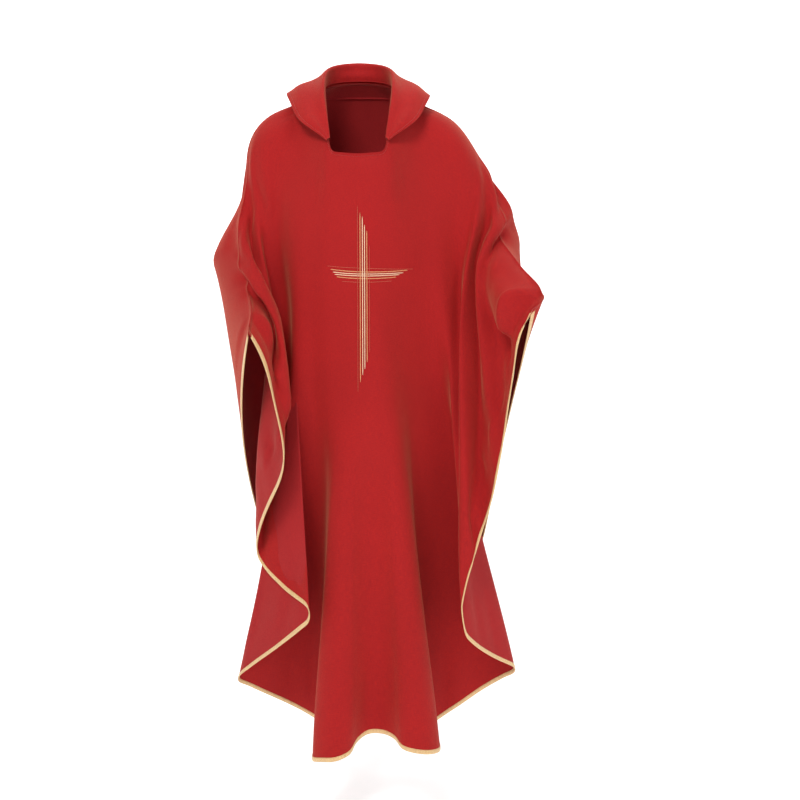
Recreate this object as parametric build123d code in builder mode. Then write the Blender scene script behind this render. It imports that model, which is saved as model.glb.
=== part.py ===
from build123d import *
import math
import os

os.makedirs("parts", exist_ok=True)

# Chasuble (sleeveless mass vestment) as it hangs on a wearer with both
# forearms held forward.  Millimetres, +Z up, the wearer faces -Y, the
# wearer's left arm is at +X.  Origin: centre of the base of the neck.

# ---- driving dimensions ------------------------------------------------
CLOTH_T = 1.2        # body cloth, both panels
GAP = 0.4            # clear distance kept between two layers of cloth
BIND_W = 9.0         # width of the satin binding on the edge
BIND_T = 2.2         # binding folded over both faces of the cloth
FACING_W = 38.0      # inner facing round the neck opening
FACING_T = 0.8
INNER_GAP = 1.0      # facing or tape to the panel over it
TAPE_W = 3.0         # seam tape, half width each side of the shoulder seam
TAPE_T = 0.8
TAPE_ROWS = (1, 2, 3)   # the tape stays on top of the shoulder
COLLAR_T = 1.0       # each outer ply of the roll collar
INTERFACING_T = 0.6  # stiffening ply between them
CORD_R = {0: 0.42, 1: 0.85, 2: 0.7}   # couched threads of the cross
EDGE_IN = 2.4        # each panel stops this far short of the shoulder seam
BIND_IN = 11.0        # and each binding, which is thicker
BIND_GAP = 2.2       # binding to the edge of the panel

# ---- shape tables ------------------------------------------------------
# Each row of a panel table runs from the neck opening down to the lower
# edge; the rows run from the wearer's right sleeve end, across the body, to
# the left sleeve end.
FRONT = [
    [(-66, 6, 22), (-115.2, 2.6, -1.8), (-165, -5.8, -22.6), (-201.9, -12.3, -59.2), (-214.8, -17.5, -109.3), (-218.3, -23.1, -155.2), (-225.3, -38, -194.7), (-233.5, -52.3, -238.7), (-231.9, -63.5, -282.4), (-230.5, -85.5, -311.8), (-212.3, -99.9, -337.5), (-211.2, -119.4, -357.9), (-203.1, -156.4, -374.4), (-201.1, -194.9, -396.4), (-201.6, -235, -417.2)],
    [(-65.7, 0.7, 19.2), (-114.6, -7.6, -4), (-162, -20.5, -27.8), (-198.7, -28.4, -64.1), (-210.7, -31.6, -114.3), (-208.1, -36.3, -162.1), (-209.7, -37.2, -205.3), (-217.4, -58.7, -243.7), (-217.5, -85.6, -279.9), (-213.1, -106.6, -315.8), (-200, -126.1, -345.8), (-181.9, -127.8, -372.8), (-173.4, -154.2, -399.7), (-180.7, -191.4, -429.2), (-184.6, -227.5, -452.8)],
    [(-65.5, -4.6, 16.3), (-111.7, -14, -11.1), (-157.3, -31.4, -35.2), (-192.4, -40.6, -72), (-202.2, -42.1, -122.5), (-196.6, -43.8, -172.5), (-202.3, -50.9, -215.8), (-209.4, -52.9, -261.8), (-204.5, -83.9, -292.5), (-189, -116.7, -321.1), (-183.3, -146.7, -356.2), (-166, -147.7, -395.6), (-160.8, -147.9, -438.7), (-167.3, -189.1, -463.4), (-171.4, -221, -490.3)],
    [(-65.2, -9.8, 13.5), (-110.4, -20.9, -14.9), (-152.9, -40.5, -42.8), (-184.3, -50.1, -82.2), (-189.5, -50.5, -133.8), (-186.1, -49.3, -183.8), (-194.6, -61, -226.5), (-198.4, -68, -272.5), (-198.9, -82.3, -315.4), (-179.2, -113.3, -343.3), (-158.9, -142.9, -375.5), (-152.6, -167.5, -416.6), (-153.6, -166.3, -465.6), (-159.9, -188.5, -499), (-162.1, -215.6, -529.9)],
    [(-65, -15.1, 10.7), (-108.2, -27.4, -19), (-146.7, -47.1, -51.3), (-174.5, -55.7, -93), (-178.8, -56.7, -144.1), (-178.7, -56.2, -194.3), (-188.1, -62.3, -240.1), (-187.1, -78, -283.6), (-183.6, -90.3, -329.9), (-171, -110.5, -368.9), (-150, -132.2, -404.1), (-139.6, -160.6, -444.4), (-139.3, -187, -487.2), (-151.7, -188.2, -534), (-154.2, -210.8, -570.5)],
    [(-64.7, -20.4, 7.8), (-106, -33.1, -23.9), (-141.1, -50.8, -60.6), (-166, -57.7, -104.5), (-170.4, -58.6, -155.6), (-173.2, -59.8, -206.1), (-184.9, -60.4, -254.5), (-182.1, -76.9, -299.3), (-172.2, -90.4, -345.9), (-164, -104.8, -391.5), (-155, -123.8, -433.3), (-144.1, -147.7, -476.9), (-130.8, -172.4, -521.5), (-142.1, -186.8, -568.2), (-146.6, -206, -611.1)],
    [(-64.5, -25.7, 5), (-104.3, -38.7, -29.1), (-136.8, -53.7, -69.9), (-159.5, -58.5, -116.2), (-164.2, -58.7, -168.1), (-169.6, -60.1, -219.5), (-182, -58.3, -269.8), (-179.7, -70.3, -317.3), (-169.7, -82.9, -365.9), (-166.6, -96.1, -414.2), (-163.7, -113.5, -461.2), (-155.2, -137.1, -508.3), (-143, -160.1, -555.9), (-139.5, -180.6, -603.5), (-141.9, -200, -651.3)],
    [(-64.2, -30.9, 2.1), (-102.9, -44.2, -34.7), (-133.5, -56.7, -79), (-154.4, -59.8, -127.8), (-159.7, -59, -181.2), (-166.9, -59.2, -234), (-177.9, -57.3, -285.8), (-176.1, -63.8, -336.1), (-170.1, -73.4, -387.4), (-171.8, -85.7, -437.9), (-173.1, -102.3, -487.9), (-165.7, -124.8, -538.1), (-158, -149.8, -588.4), (-147.9, -169.8, -638.8), (-144.4, -190.2, -690.3)],
    [(-63.8, -35.9, -1.2), (-101.6, -49.7, -40.4), (-130.4, -60.5, -87.9), (-150, -62.3, -139.1), (-156.2, -60.4, -194.2), (-163.8, -58.9, -248.5), (-172.5, -56.7, -302), (-171.1, -59.3, -354.9), (-169.5, -65.5, -408.9), (-175.2, -75.4, -461.8), (-181.1, -90.6, -514.1), (-177.8, -111.4, -566.8), (-168, -132.9, -620.1), (-162.1, -155.2, -672.6), (-155.4, -175.2, -726.3)],
    [(-63.4, -40.5, -4.9), (-100.3, -54.9, -46.6), (-127.4, -64.2, -97), (-146.1, -64.8, -150.6), (-153.1, -61.9, -207.3), (-160, -58.7, -263.3), (-166, -56.3, -318.5), (-165.4, -56, -374), (-168, -59.5, -430.4), (-176, -66, -485.8), (-185.5, -78.5, -540.5), (-189.8, -96.7, -595), (-185.9, -119.6, -649.7), (-178.2, -139.4, -704.8), (-170.4, -156.7, -760.2)],
    [(-62.8, -44.9, -8.9), (-99, -59.8, -53.2), (-124.8, -67.7, -106.2), (-142.8, -67.5, -162.2), (-150.3, -63.9, -220.7), (-155.7, -59, -278.5), (-158.8, -56.3, -335.5), (-159, -54.9, -393.2), (-164.5, -57, -451.7), (-173, -60.6, -509.6), (-183.6, -68.2, -567), (-194.8, -81.1, -623.8), (-199.4, -102, -680.3), (-192.5, -121.5, -737.3), (-184.4, -137.4, -794.4)],
    [(-62.3, -49.4, -12.9), (-97.6, -64.6, -59.9), (-122.4, -71.2, -115.5), (-139.8, -70.6, -173.7), (-147.3, -66.6, -234.2), (-151, -60.3, -293.8), (-151.7, -56.8, -352.6), (-152.6, -56.1, -412.4), (-159.6, -59, -472.7), (-167.3, -61.6, -532.7), (-177, -65.1, -592.9), (-189, -70.4, -652.8), (-201.1, -82.4, -712.2), (-202.5, -101.9, -771), (-196, -118.5, -829.7)],
    [(-61.8, -53.9, -16.8), (-96.2, -69.1, -66.7), (-120, -74.8, -124.7), (-137, -74.2, -185.1), (-144.3, -70.1, -247.4), (-146.4, -63.2, -309.1), (-145.4, -58.5, -369.8), (-147.3, -58.7, -431.6), (-154.8, -62.5, -493.8), (-162.1, -66.1, -555.7), (-170.5, -68.9, -618.1), (-180.2, -70.6, -680.9), (-192.3, -71.5, -743.9), (-203.5, -83.4, -805.8), (-203.4, -101, -866.5)],
    [(-61.3, -58.3, -20.8), (-94.7, -73.4, -73.4), (-117.7, -78.4, -133.7), (-134.1, -78.1, -196.3), (-141.2, -74.3, -260.4), (-142, -67.6, -324), (-140.3, -61.9, -386.9), (-142.8, -62.4, -450.9), (-150, -66.3, -515.2), (-156.6, -70.4, -579.1), (-164, -74.7, -643.4), (-171.9, -78.4, -708), (-180.9, -79.2, -773.3), (-189.3, -80.6, -838.6), (-196.6, -90.3, -903.5)],
    [(-60.8, -62.8, -24.8), (-93, -77.7, -80.2), (-115.3, -82.2, -142.6), (-131, -82.4, -207.1), (-138, -79.1, -273.1), (-138.2, -73.1, -338.6), (-136.3, -67.7, -403.4), (-138.1, -70, -469.2), (-143.1, -75.3, -535.1), (-147.8, -79.5, -600.6), (-153.2, -84.8, -666.2), (-158.9, -91.6, -732), (-165.3, -98.6, -797.9), (-169.7, -102.4, -863.7), (-171.1, -108.7, -929.6)],
    [(-60.2, -67.2, -28.8), (-91.2, -81.9, -86.9), (-112.6, -86, -151.4), (-127.5, -86.7, -217.8), (-134.7, -84.3, -285.4), (-135, -79.4, -352.8), (-133.2, -75.3, -419.3), (-133.4, -80.4, -485.9), (-135.2, -88.6, -552.3), (-136.9, -93.3, -618.9), (-139.3, -98.6, -685.5), (-141.9, -105.5, -752), (-142.9, -113.7, -818.4), (-141.2, -118.7, -884.5), (-143.6, -134.2, -948.4)],
    [(-59.7, -71.7, -32.8), (-89.2, -86.1, -93.5), (-109.6, -89.8, -160.1), (-123.9, -91, -228.3), (-131.3, -89.5, -297.6), (-132.4, -85.9, -366.6), (-130.9, -83.7, -434.5), (-128.4, -92.1, -501), (-125.7, -104.1, -566.9), (-124.1, -110.4, -633.8), (-122.9, -116.8, -700.7), (-121.7, -123.7, -767.5), (-118.7, -133.5, -833.4), (-115, -142.9, -901.3), (-113.7, -160.8, -962.3)],
    [(-59.2, -76.1, -36.8), (-87.1, -90.2, -100.1), (-106.4, -93.6, -168.7), (-119.9, -95.1, -238.6), (-127.7, -94.8, -309.5), (-130.1, -92.4, -380.2), (-129.7, -91.7, -449.7), (-125.4, -102.1, -517.3), (-119.6, -116.1, -584.1), (-115.8, -123.9, -652.3), (-112.2, -131.5, -720.5), (-108.6, -139.2, -788.6), (-104.3, -149.6, -855.8), (-100.5, -161.6, -923.5), (-96.9, -178.2, -987.9)],
    [(-58.6, -80.5, -40.8), (-84.8, -94.2, -106.7), (-102.8, -97.2, -177.2), (-115.7, -98.9, -248.9), (-123.8, -99.6, -321.3), (-128, -98.6, -393.6), (-129.9, -98.4, -464.9), (-128.1, -106.4, -534.3), (-124.4, -117.2, -603), (-122.3, -123.3, -672.9), (-120, -129.4, -743), (-117.5, -135.6, -812.8), (-115.7, -142.1, -882.4), (-117.5, -151.2, -952.5), (-116.4, -164.4, -1018.2)],
    [(-58.1, -84.5, -45.2), (-82.3, -97.9, -113.4), (-99, -100.6, -185.7), (-111.3, -102.4, -259), (-119.6, -104, -332.8), (-125.5, -104.2, -406.7), (-130.1, -104.4, -479.7), (-131.6, -109.2, -550.5), (-131.2, -115.5, -620.5), (-131.7, -119.3, -691.9), (-131.7, -123.2, -763.4), (-131.3, -127.5, -834.6), (-132.1, -131.1, -905.6), (-137.2, -134.1, -977.2), (-141.2, -143.5, -1044.6)],
    [(-57.4, -88.3, -49.8), (-79.7, -101.4, -120.1), (-94.9, -103.8, -194.1), (-106.5, -105.5, -268.8), (-114.8, -107.6, -344), (-122.2, -109, -419.4), (-129.4, -109.6, -494.1), (-134.5, -111.2, -566.2), (-138, -113, -637.5), (-141.8, -114.2, -710.4), (-144.9, -115.7, -783.3), (-147.4, -117.2, -856), (-151.1, -118.1, -927.9), (-158, -119.3, -999.6), (-166.1, -122, -1070.3)],
    [(-56.8, -92.1, -54.4), (-76.9, -104.8, -126.6), (-90.6, -106.9, -202.2), (-101.4, -108.3, -278.2), (-109.6, -110.5, -354.5), (-117.8, -112.8, -431.4), (-127.1, -113.7, -507.9), (-135.9, -112.1, -581.4), (-143.8, -109.5, -654), (-151.4, -108.1, -728.3), (-158.5, -106.8, -802.6), (-164.4, -104.8, -876.8), (-170.6, -101.7, -950.7), (-180.2, -100.1, -1023.1), (-190.9, -99.8, -1095.4)],
    [(-56.2, -95.9, -59), (-74.5, -108.1, -132.9), (-86.5, -109.9, -209.7), (-96.3, -111, -286.9), (-104, -112.7, -364.3), (-112.3, -115.3, -442.5), (-123, -116.3, -520.8), (-135.4, -111.8, -595.9), (-148, -105.1, -669.8), (-159.5, -101.3, -745.7), (-170.8, -97.2, -821.6), (-180.8, -91.3, -897.2), (-189.7, -83.9, -972.3), (-201.5, -79.5, -1046.4), (-215.6, -77, -1120.3)],
    [(-55.4, -99.4, -63.8), (-71.8, -111.2, -138.9), (-82.2, -112.8, -216.8), (-90.9, -113.6, -294.9), (-98, -114.6, -373.1), (-106, -116.8, -452.6), (-117.3, -117.3, -532.5), (-133.4, -110.3, -609.4), (-150.9, -100.5, -685.2), (-166, -94.6, -762.9), (-181.1, -88.2, -840.5), (-195.4, -79.5, -917.7), (-209.2, -68.9, -994), (-223.1, -60.1, -1070.8), (-241.3, -55.8, -1146)],
    [(-54.5, -102.3, -68.9), (-69.2, -114.5, -144.8), (-77.8, -115.8, -223.5), (-85.5, -116.3, -302.2), (-91.9, -116.4, -381), (-99.2, -117.7, -461.5), (-110.2, -116.9, -543.1), (-128, -106.9, -622.2), (-148.1, -93.5, -700.4), (-164.5, -85.3, -780.1), (-181.2, -76.6, -859.8), (-197.8, -65.9, -939.1), (-215.4, -54.3, -1017.7), (-234.5, -42.3, -1095.1), (-251.3, -29.2, -1173.6)],
    [(-53.4, -104.9, -74.1), (-66.4, -117.8, -150.6), (-73.2, -118.6, -229.7), (-79.9, -118.9, -308.9), (-85.8, -118.4, -388.1), (-92.3, -118.5, -469.3), (-101.8, -115.9, -552.3), (-117.1, -103.4, -632.9), (-134.3, -87.2, -712.8), (-148.1, -76.9, -794.1), (-162.3, -66.6, -875.3), (-177, -55.2, -956.3), (-192.8, -42, -1037.5), (-208.8, -25.4, -1116.5), (-224.7, -6.9, -1195.1)],
    [(-52.2, -107.5, -79.4), (-63.3, -120.9, -156.1), (-68.4, -121.3, -235.5), (-74.3, -121.5, -314.9), (-79.7, -120.7, -394.3), (-85.5, -119.7, -476.1), (-93.4, -115.5, -560.2), (-105.2, -101.6, -642.5), (-118.3, -84.3, -724.1), (-128.7, -72.6, -807), (-139.4, -61.6, -889.4), (-151, -50, -972), (-163.5, -35.1, -1055), (-176.5, -16.5, -1136.1), (-189.6, 2.9, -1215.8)],
    [(-50, -109.9, -84.2), (-59.4, -123.7, -161.1), (-63.1, -123.7, -240.7), (-68.3, -123.9, -320.2), (-73.5, -123.1, -399.7), (-79, -121.7, -481.9), (-85.5, -116.3, -567.1), (-93.7, -101.1, -651), (-102.5, -82.6, -734.4), (-109.7, -69.3, -818.6), (-117.3, -57.1, -902.6), (-126, -44, -986.4), (-135.2, -27.3, -1070.2), (-144.6, -8.1, -1152.7), (-153.5, 9.6, -1235.8)],
    [(-46.3, -111.8, -87.8), (-54.4, -126.1, -164.9), (-57.2, -125.8, -244.7), (-61.9, -126.1, -324.4), (-66.9, -125.6, -404.1), (-72.3, -124.3, -486.8), (-77.8, -118.5, -573), (-82.5, -102.7, -658.5), (-87, -83.4, -743.9), (-91.3, -69.1, -829.6), (-96.2, -55.7, -915.1), (-102, -41.1, -1000.3), (-107, -24.1, -1085.5), (-111.9, -8.2, -1171.2), (-117, 10, -1255.8)],
    [(-41.2, -113.2, -89.6), (-48.3, -128, -167.1), (-50.5, -127.5, -247.3), (-54.9, -127.9, -327.4), (-59.8, -128, -407.6), (-65.2, -127.2, -490.8), (-69.8, -122.3, -577.8), (-71.6, -108.1, -664.5), (-72.2, -90.5, -751.2), (-74.2, -77.4, -837.8), (-76.9, -64.7, -924.6), (-79.6, -51.3, -1010.9), (-80.5, -36.3, -1097.1), (-81.3, -21.6, -1183.5), (-83.2, -8.2, -1270.4)],
    [(-35.4, -114.2, -90.2), (-41.6, -129.4, -168.2), (-43.3, -128.9, -248.8), (-47.3, -129.5, -329.5), (-52, -130, -410), (-57.2, -130.2, -493.8), (-61.7, -127, -581.4), (-63.4, -116.8, -668.9), (-63.9, -103.7, -756.3), (-65.9, -94.2, -843.7), (-68.5, -85, -931.3), (-70.6, -75.7, -1018.6), (-70.8, -66.1, -1105.9), (-71.6, -55.8, -1193.3), (-73.3, -45.4, -1280.6)],
    [(-29.5, -115.2, -90.6), (-34.5, -130.6, -168.9), (-35.8, -130.3, -249.9), (-39.1, -131, -330.8), (-43.2, -131.9, -411.7), (-48, -132.8, -495.8), (-52.9, -131.7, -583.9), (-57.1, -125.6, -672.2), (-60.8, -117.7, -760.6), (-65.1, -112.4, -848.8), (-69.6, -107.3, -937.1), (-74.1, -102.3, -1025.3), (-78.1, -97, -1113.7), (-81.3, -90.9, -1202.1), (-84.7, -84.4, -1290.2)],
    [(-23.6, -116.1, -91), (-27.2, -131.7, -169.4), (-27.9, -131.6, -250.5), (-30.3, -132.4, -331.5), (-33.5, -133.8, -412.5), (-37.5, -135.4, -496.8), (-42.6, -136, -585.4), (-49.5, -134.3, -674.8), (-56.7, -131.7, -764.6), (-63.2, -130.6, -853.8), (-69.9, -129.7, -943.1), (-77, -128.7, -1032.4), (-84.4, -127.1, -1121.8), (-91.4, -125.4, -1211.3), (-96.1, -123.7, -1301.4)],
    [(-17.7, -117.1, -91.3), (-19.8, -132.8, -169.8), (-19.9, -132.8, -250.8), (-21, -133.8, -331.8), (-22.9, -135.7, -412.8), (-25.9, -138, -497), (-29.9, -140.2, -585.5), (-35.8, -141.9, -674.3), (-42.2, -143.4, -763.4), (-47.8, -145.5, -852.1), (-53.6, -147.7, -940.9), (-59.7, -149.8, -1029.8), (-65.6, -152.1, -1118.7), (-70.9, -154.3, -1207.6), (-75.3, -155.1, -1296.5)],
    [(-11.8, -118.1, -91.7), (-12.3, -133.7, -170.1), (-11.6, -133.9, -250.9), (-11.4, -135.1, -331.8), (-11.7, -137.6, -412.6), (-13.1, -140.7, -496.7), (-15.2, -143.9, -584.8), (-18.3, -146.1, -672.8), (-21.7, -148.1, -760.7), (-24.8, -150.8, -848.7), (-28, -153.7, -936.8), (-31, -156.6, -1024.8), (-33.5, -159.5, -1113), (-35.4, -161.8, -1201), (-37.7, -162.3, -1288.4)],
    [(-5.9, -119, -92.1), (-4.8, -134.6, -170.3), (-3.3, -134.7, -251), (-1.6, -136.1, -331.6), (-0.1, -139.1, -412.2), (0.5, -143.2, -496.1), (0.4, -146.4, -583.5), (-1.2, -145.4, -669.6), (-3.5, -143, -755.1), (-5.1, -143.1, -841.5), (-6.7, -143.2, -927.8), (-7.7, -143.3, -1014.2), (-8, -143.8, -1100.5), (-8.6, -141.8, -1186.5), (-11.8, -136.7, -1271)],
    [(0, -119.5, -92.3), (2.7, -135.1, -170.3), (4.9, -135.1, -250.9), (8.1, -136.4, -331.4), (11.5, -139.8, -411.8), (14.6, -144.7, -495.5), (16.9, -147.7, -582.3), (16.8, -143.5, -666.6), (15.8, -136.7, -750), (16, -134, -834.9), (16.2, -130.9, -919.8), (16.8, -127.1, -1004.6), (16.9, -122.7, -1088.9), (14.5, -115.4, -1171.9), (15.6, -110, -1255.5)],
    [(5.9, -119, -92.1), (10.1, -135.1, -170), (13, -134.8, -250.6), (17.5, -135.9, -331.1), (22.9, -139.2, -411.5), (28.4, -144.3, -495), (33.6, -147.6, -581.7), (36.4, -143.8, -666.2), (38.4, -137.4, -749.9), (41.7, -134.9, -834.8), (44.7, -131.6, -919.7), (47.6, -127.2, -1004.6), (49.9, -121.5, -1089.2), (51.9, -117.1, -1172.6), (54.2, -113.3, -1256.4)],
    [(11.8, -118.1, -91.7), (17.4, -134.6, -169.6), (21, -133.9, -250.3), (26.6, -134.4, -330.9), (33.6, -137.1, -411.3), (41.2, -141.5, -494.8), (48.5, -145.1, -581.7), (52.9, -144.8, -667.6), (56.2, -143.1, -753.1), (61.4, -143.3, -839.2), (66.3, -143, -925.3), (70.6, -142.2, -1011.4), (74.1, -141.3, -1097.5), (76.2, -142.4, -1183.3), (79.5, -141, -1268.5)],
    [(17.7, -117.1, -91.3), (24.7, -133.8, -169.2), (28.8, -132.5, -250), (35.2, -132.1, -330.7), (43.5, -133.4, -411.2), (52.4, -136.4, -494.7), (61.3, -139.4, -581.9), (68.1, -141.9, -668.8), (74.3, -144.1, -755.5), (81.9, -146.4, -842.4), (89.4, -148.8, -929.2), (96.4, -151.5, -1016.2), (102.5, -155.2, -1103.2), (107.2, -158.1, -1190.1), (112.2, -159.2, -1276.6)],
    [(23.6, -116.1, -91), (31.9, -132.7, -168.8), (36.4, -130.7, -249.7), (43.3, -129.2, -330.5), (52.4, -128.7, -411), (61.9, -129.5, -494.7), (71.7, -130.6, -582.1), (81.4, -132.6, -669.6), (91.2, -134.7, -757.2), (101.2, -136.4, -844.7), (111.2, -138.4, -932.2), (121.3, -140.8, -1019.7), (131.4, -143.6, -1107.3), (140.5, -145.8, -1194.9), (147.8, -147, -1282.5)],
    [(29.5, -115.2, -90.6), (38.9, -131.4, -168.4), (43.9, -128.7, -249.3), (51, -126, -330.1), (60.6, -123.5, -410.6), (70, -121.8, -494.3), (79.6, -120.1, -581.8), (89.8, -118.9, -669.7), (100.1, -117.9, -757.7), (110.1, -116.6, -845.6), (120, -115.4, -933.4), (130.3, -114.4, -1021.2), (141, -113.4, -1109), (151, -112.5, -1196.9), (161, -111.3, -1284.8)],
    [(35.4, -114.2, -90.2), (45.9, -129.8, -167.9), (51.2, -126.5, -248.7), (58.5, -122.6, -329.4), (68.2, -118.2, -409.8), (77.5, -114, -493.3), (86.2, -109.6, -580.7), (94.2, -105, -668.4), (101.9, -100.4, -756.3), (109.7, -95.6, -844.1), (117.3, -90.8, -931.8), (125, -86, -1019.6), (132.9, -81.2, -1107.3), (142.5, -76.8, -1194.8), (151, -73, -1282.3)],
    [(41.2, -113.2, -89.6), (52.7, -128.1, -167.1), (58.4, -124.1, -247.7), (65.7, -119.3, -328.1), (75.5, -113.2, -408.2), (84.9, -106.8, -491.4), (92.9, -99.8, -578.6), (98.5, -91.8, -666.5), (103.1, -83.4, -754.7), (108.8, -75.3, -842.5), (114.3, -67, -930.3), (119.8, -58.6, -1018.2), (124.9, -50.1, -1106), (130.2, -42.3, -1193.9), (138, -35, -1281.5)],
    [(46.3, -111.8, -87.8), (59, -126, -165.1), (65.3, -121.7, -245.6), (72.7, -116.1, -325.8), (82.7, -108.6, -405.6), (92.4, -100.2, -488.3), (100.9, -90.9, -575), (106.6, -79.7, -662.7), (111.3, -67.7, -750.8), (117.2, -56.6, -838.4), (123.1, -45.4, -925.9), (129, -34, -1013.4), (135.4, -22.9, -1101.1), (141.8, -11.9, -1188.8), (147.2, 0.2, -1276.5)],
    [(50, -109.9, -84.2), (64.3, -123.5, -161.5), (71.7, -119.1, -241.9), (79.6, -113, -322.1), (89.8, -104.3, -401.9), (100.3, -94.3, -484.1), (110.1, -83.3, -569.6), (118.6, -71.2, -655.9), (126.6, -58.6, -742.4), (135, -46.4, -828.6), (143.3, -34.2, -914.7), (151.8, -21.9, -1000.9), (160.3, -9.5, -1087.1), (168.9, 3.7, -1173.2), (179, 14.5, -1259.3)],
    [(52.2, -107.5, -79.4), (68.5, -120.6, -156.6), (77.4, -116.2, -236.9), (86.2, -109.9, -317.2), (96.8, -100.4, -396.9), (108.2, -88.8, -478.5), (119.7, -76.7, -562.6), (131.1, -65.2, -646.9), (142.4, -53.8, -731.2), (153.5, -41.9, -815.5), (164.5, -30, -899.8), (175.7, -18.2, -984.1), (187.2, -6.7, -1068.4), (199.6, 3.7, -1152.6), (211.7, 14.8, -1236.5)],
    [(53.4, -104.9, -74.1), (71.8, -117.4, -151), (82.7, -113.2, -231.1), (92.7, -106.9, -311.2), (103.8, -96.7, -390.8), (116.1, -83.9, -471.5), (129.3, -71.1, -554.1), (143.5, -60.6, -636.4), (158.1, -50.8, -718.6), (171.9, -39.7, -801), (185.8, -28.6, -883.3), (199.9, -17.9, -965.7), (214.5, -7.6, -1048), (229.2, 2.9, -1130.2), (243.2, 11.5, -1212.2)],
    [(54.5, -102.3, -68.9), (74.9, -114, -145.1), (87.6, -110, -224.7), (99, -103.8, -304.3), (110.6, -93.4, -383.5), (123.8, -79.9, -463.2), (138.6, -67.1, -544.1), (155.6, -58.1, -624.7), (173.5, -50.6, -705.1), (190.2, -41, -785.8), (207.1, -31.6, -866.4), (224.2, -22.5, -947), (241.2, -13.5, -1027.7), (258.2, -4.5, -1108.2), (273.9, 2.3, -1188.7)],
    [(55.4, -99.4, -63.8), (77.7, -110.4, -139), (92.3, -106.6, -217.7), (105, -100.7, -296.6), (117.2, -90.6, -375.1), (131, -77.3, -453.8), (147.2, -65.4, -533.1), (166.8, -58.8, -612.2), (187.7, -54.4, -691.3), (207, -47.2, -770.4), (226.5, -40.3, -849.5), (246.1, -33.7, -928.6), (265.5, -27, -1007.8), (284.5, -20.6, -1087.1), (302.3, -15.1, -1166.4)],
    [(56.2, -95.9, -59), (80.4, -107, -132.8), (96.7, -103.3, -210.3), (110.8, -97.8, -288.1), (123.6, -88.4, -365.8), (137.7, -76.3, -443.3), (154.4, -66.4, -521), (174.7, -63.2, -598.7), (196.4, -62.5, -676.4), (216.3, -58.5, -754.1), (236.5, -54.8, -831.8), (256.8, -51.4, -909.5), (277.3, -48.1, -987.1), (297.1, -44.9, -1065), (315.2, -41.2, -1143)],
    [(56.8, -92.1, -54.4), (82.8, -103.2, -126.4), (100.7, -99.9, -202.5), (116.3, -95.1, -279), (129.7, -86.9, -355.6), (143.8, -76.9, -432), (159.4, -69.8, -508.3), (176.7, -69.5, -584.9), (194.5, -72, -661.7), (211.6, -71, -738.3), (228.7, -70.2, -814.9), (245.9, -69.4, -891.5), (263.2, -69, -968.2), (279.8, -68.8, -1044.9), (295.7, -66.9, -1121.5)],
    [(57.4, -88.3, -49.8), (85.6, -99.5, -119.7), (104.9, -96.5, -194.2), (121.5, -92.5, -269.3), (135.6, -85.9, -344.7), (149.3, -78.5, -420), (163.2, -74.4, -495.1), (176.8, -76.8, -571), (190.1, -81.6, -647.1), (203.5, -83.1, -722.9), (216.8, -84.6, -798.7), (229.9, -86.1, -874.6), (243, -87.5, -950.5), (256.5, -88.8, -1026.2), (270.6, -90.8, -1101.7)],
    [(58.1, -84.5, -45.2), (88.2, -95.6, -112.9), (108.9, -93, -185.7), (126.4, -89.9, -259.3), (141.2, -85.1, -333.4), (154.4, -80.2, -407.5), (166.5, -78.9, -481.4), (176.7, -83.8, -556.3), (186, -90.9, -631.6), (196.2, -94.8, -706.5), (206.2, -98.6, -781.4), (216, -102.5, -856.3), (225.4, -106.6, -931.3), (235.6, -110.7, -1006.1), (247.8, -115.5, -1080.3)],
    [(58.6, -80.5, -40.8), (90.6, -91.6, -106.1), (112.7, -89.5, -177.1), (131, -87.3, -249.1), (146.5, -84.1, -321.8), (159.3, -81.1, -394.5), (169.9, -81.7, -467.2), (176.9, -89.1, -540.9), (182.7, -98.8, -615.1), (190.2, -104.8, -688.7), (197.7, -110.9, -762.3), (205.1, -117.3, -835.9), (212.8, -124.3, -909.5), (220.6, -131.6, -983), (226.2, -139.2, -1056.5)],
    [(59.2, -76.1, -36.8), (92.9, -87.5, -99.5), (116.3, -85.9, -168.5), (135.4, -84.6, -238.8), (151.6, -82.4, -309.8), (164.2, -80.2, -381.1), (173.6, -81.7, -452.2), (178.1, -90.9, -524.1), (181, -102.9, -596.2), (186.4, -110.8, -667.9), (191.8, -118.9, -739.5), (197, -127.6, -811.2), (202.1, -137.3, -882.7), (205.4, -147.2, -954.4), (208.2, -156.2, -1026.4)],
    [(59.7, -71.7, -32.8), (95.1, -83.3, -92.8), (119.7, -82.4, -159.7), (139.7, -81.6, -228.2), (156.5, -80, -297.6), (168.9, -77.5, -367.2), (178, -78.6, -436.4), (182, -88.1, -505.4), (184.1, -100.9, -574.2), (188.6, -109.7, -643.1), (192.4, -119.2, -711.9), (195.1, -129.5, -780.7), (196.4, -140, -849.6), (197.1, -150.4, -918.6), (202.4, -160.5, -987.1)],
    [(60.2, -67.2, -28.8), (97, -79.2, -86), (123, -78.9, -150.8), (143.9, -78.4, -217.3), (161.1, -76.6, -284.9), (173.6, -73.4, -352.8), (182.9, -73.4, -419.9), (188, -82.4, -486.2), (190.8, -95.7, -552), (194.2, -105.8, -618), (195.6, -117.1, -684.1), (195.3, -129, -750.2), (194.6, -140.9, -816.4), (198.5, -153.4, -882.2), (206.1, -158.4, -947.6)],
    [(60.8, -62.8, -24.8), (98.8, -75, -79.2), (126.1, -75.5, -141.6), (148.1, -75.1, -206.1), (165.6, -72.6, -271.9), (178.1, -68.5, -337.9), (187.9, -67.8, -403), (194.5, -76.9, -466.6), (197.3, -91.3, -529.5), (198.1, -104, -592.9), (196.4, -117.5, -656.3), (195.3, -131.3, -719.8), (198.7, -145.2, -783.2), (208.9, -153.4, -846.1), (215.4, -153.5, -909.1)],
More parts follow.
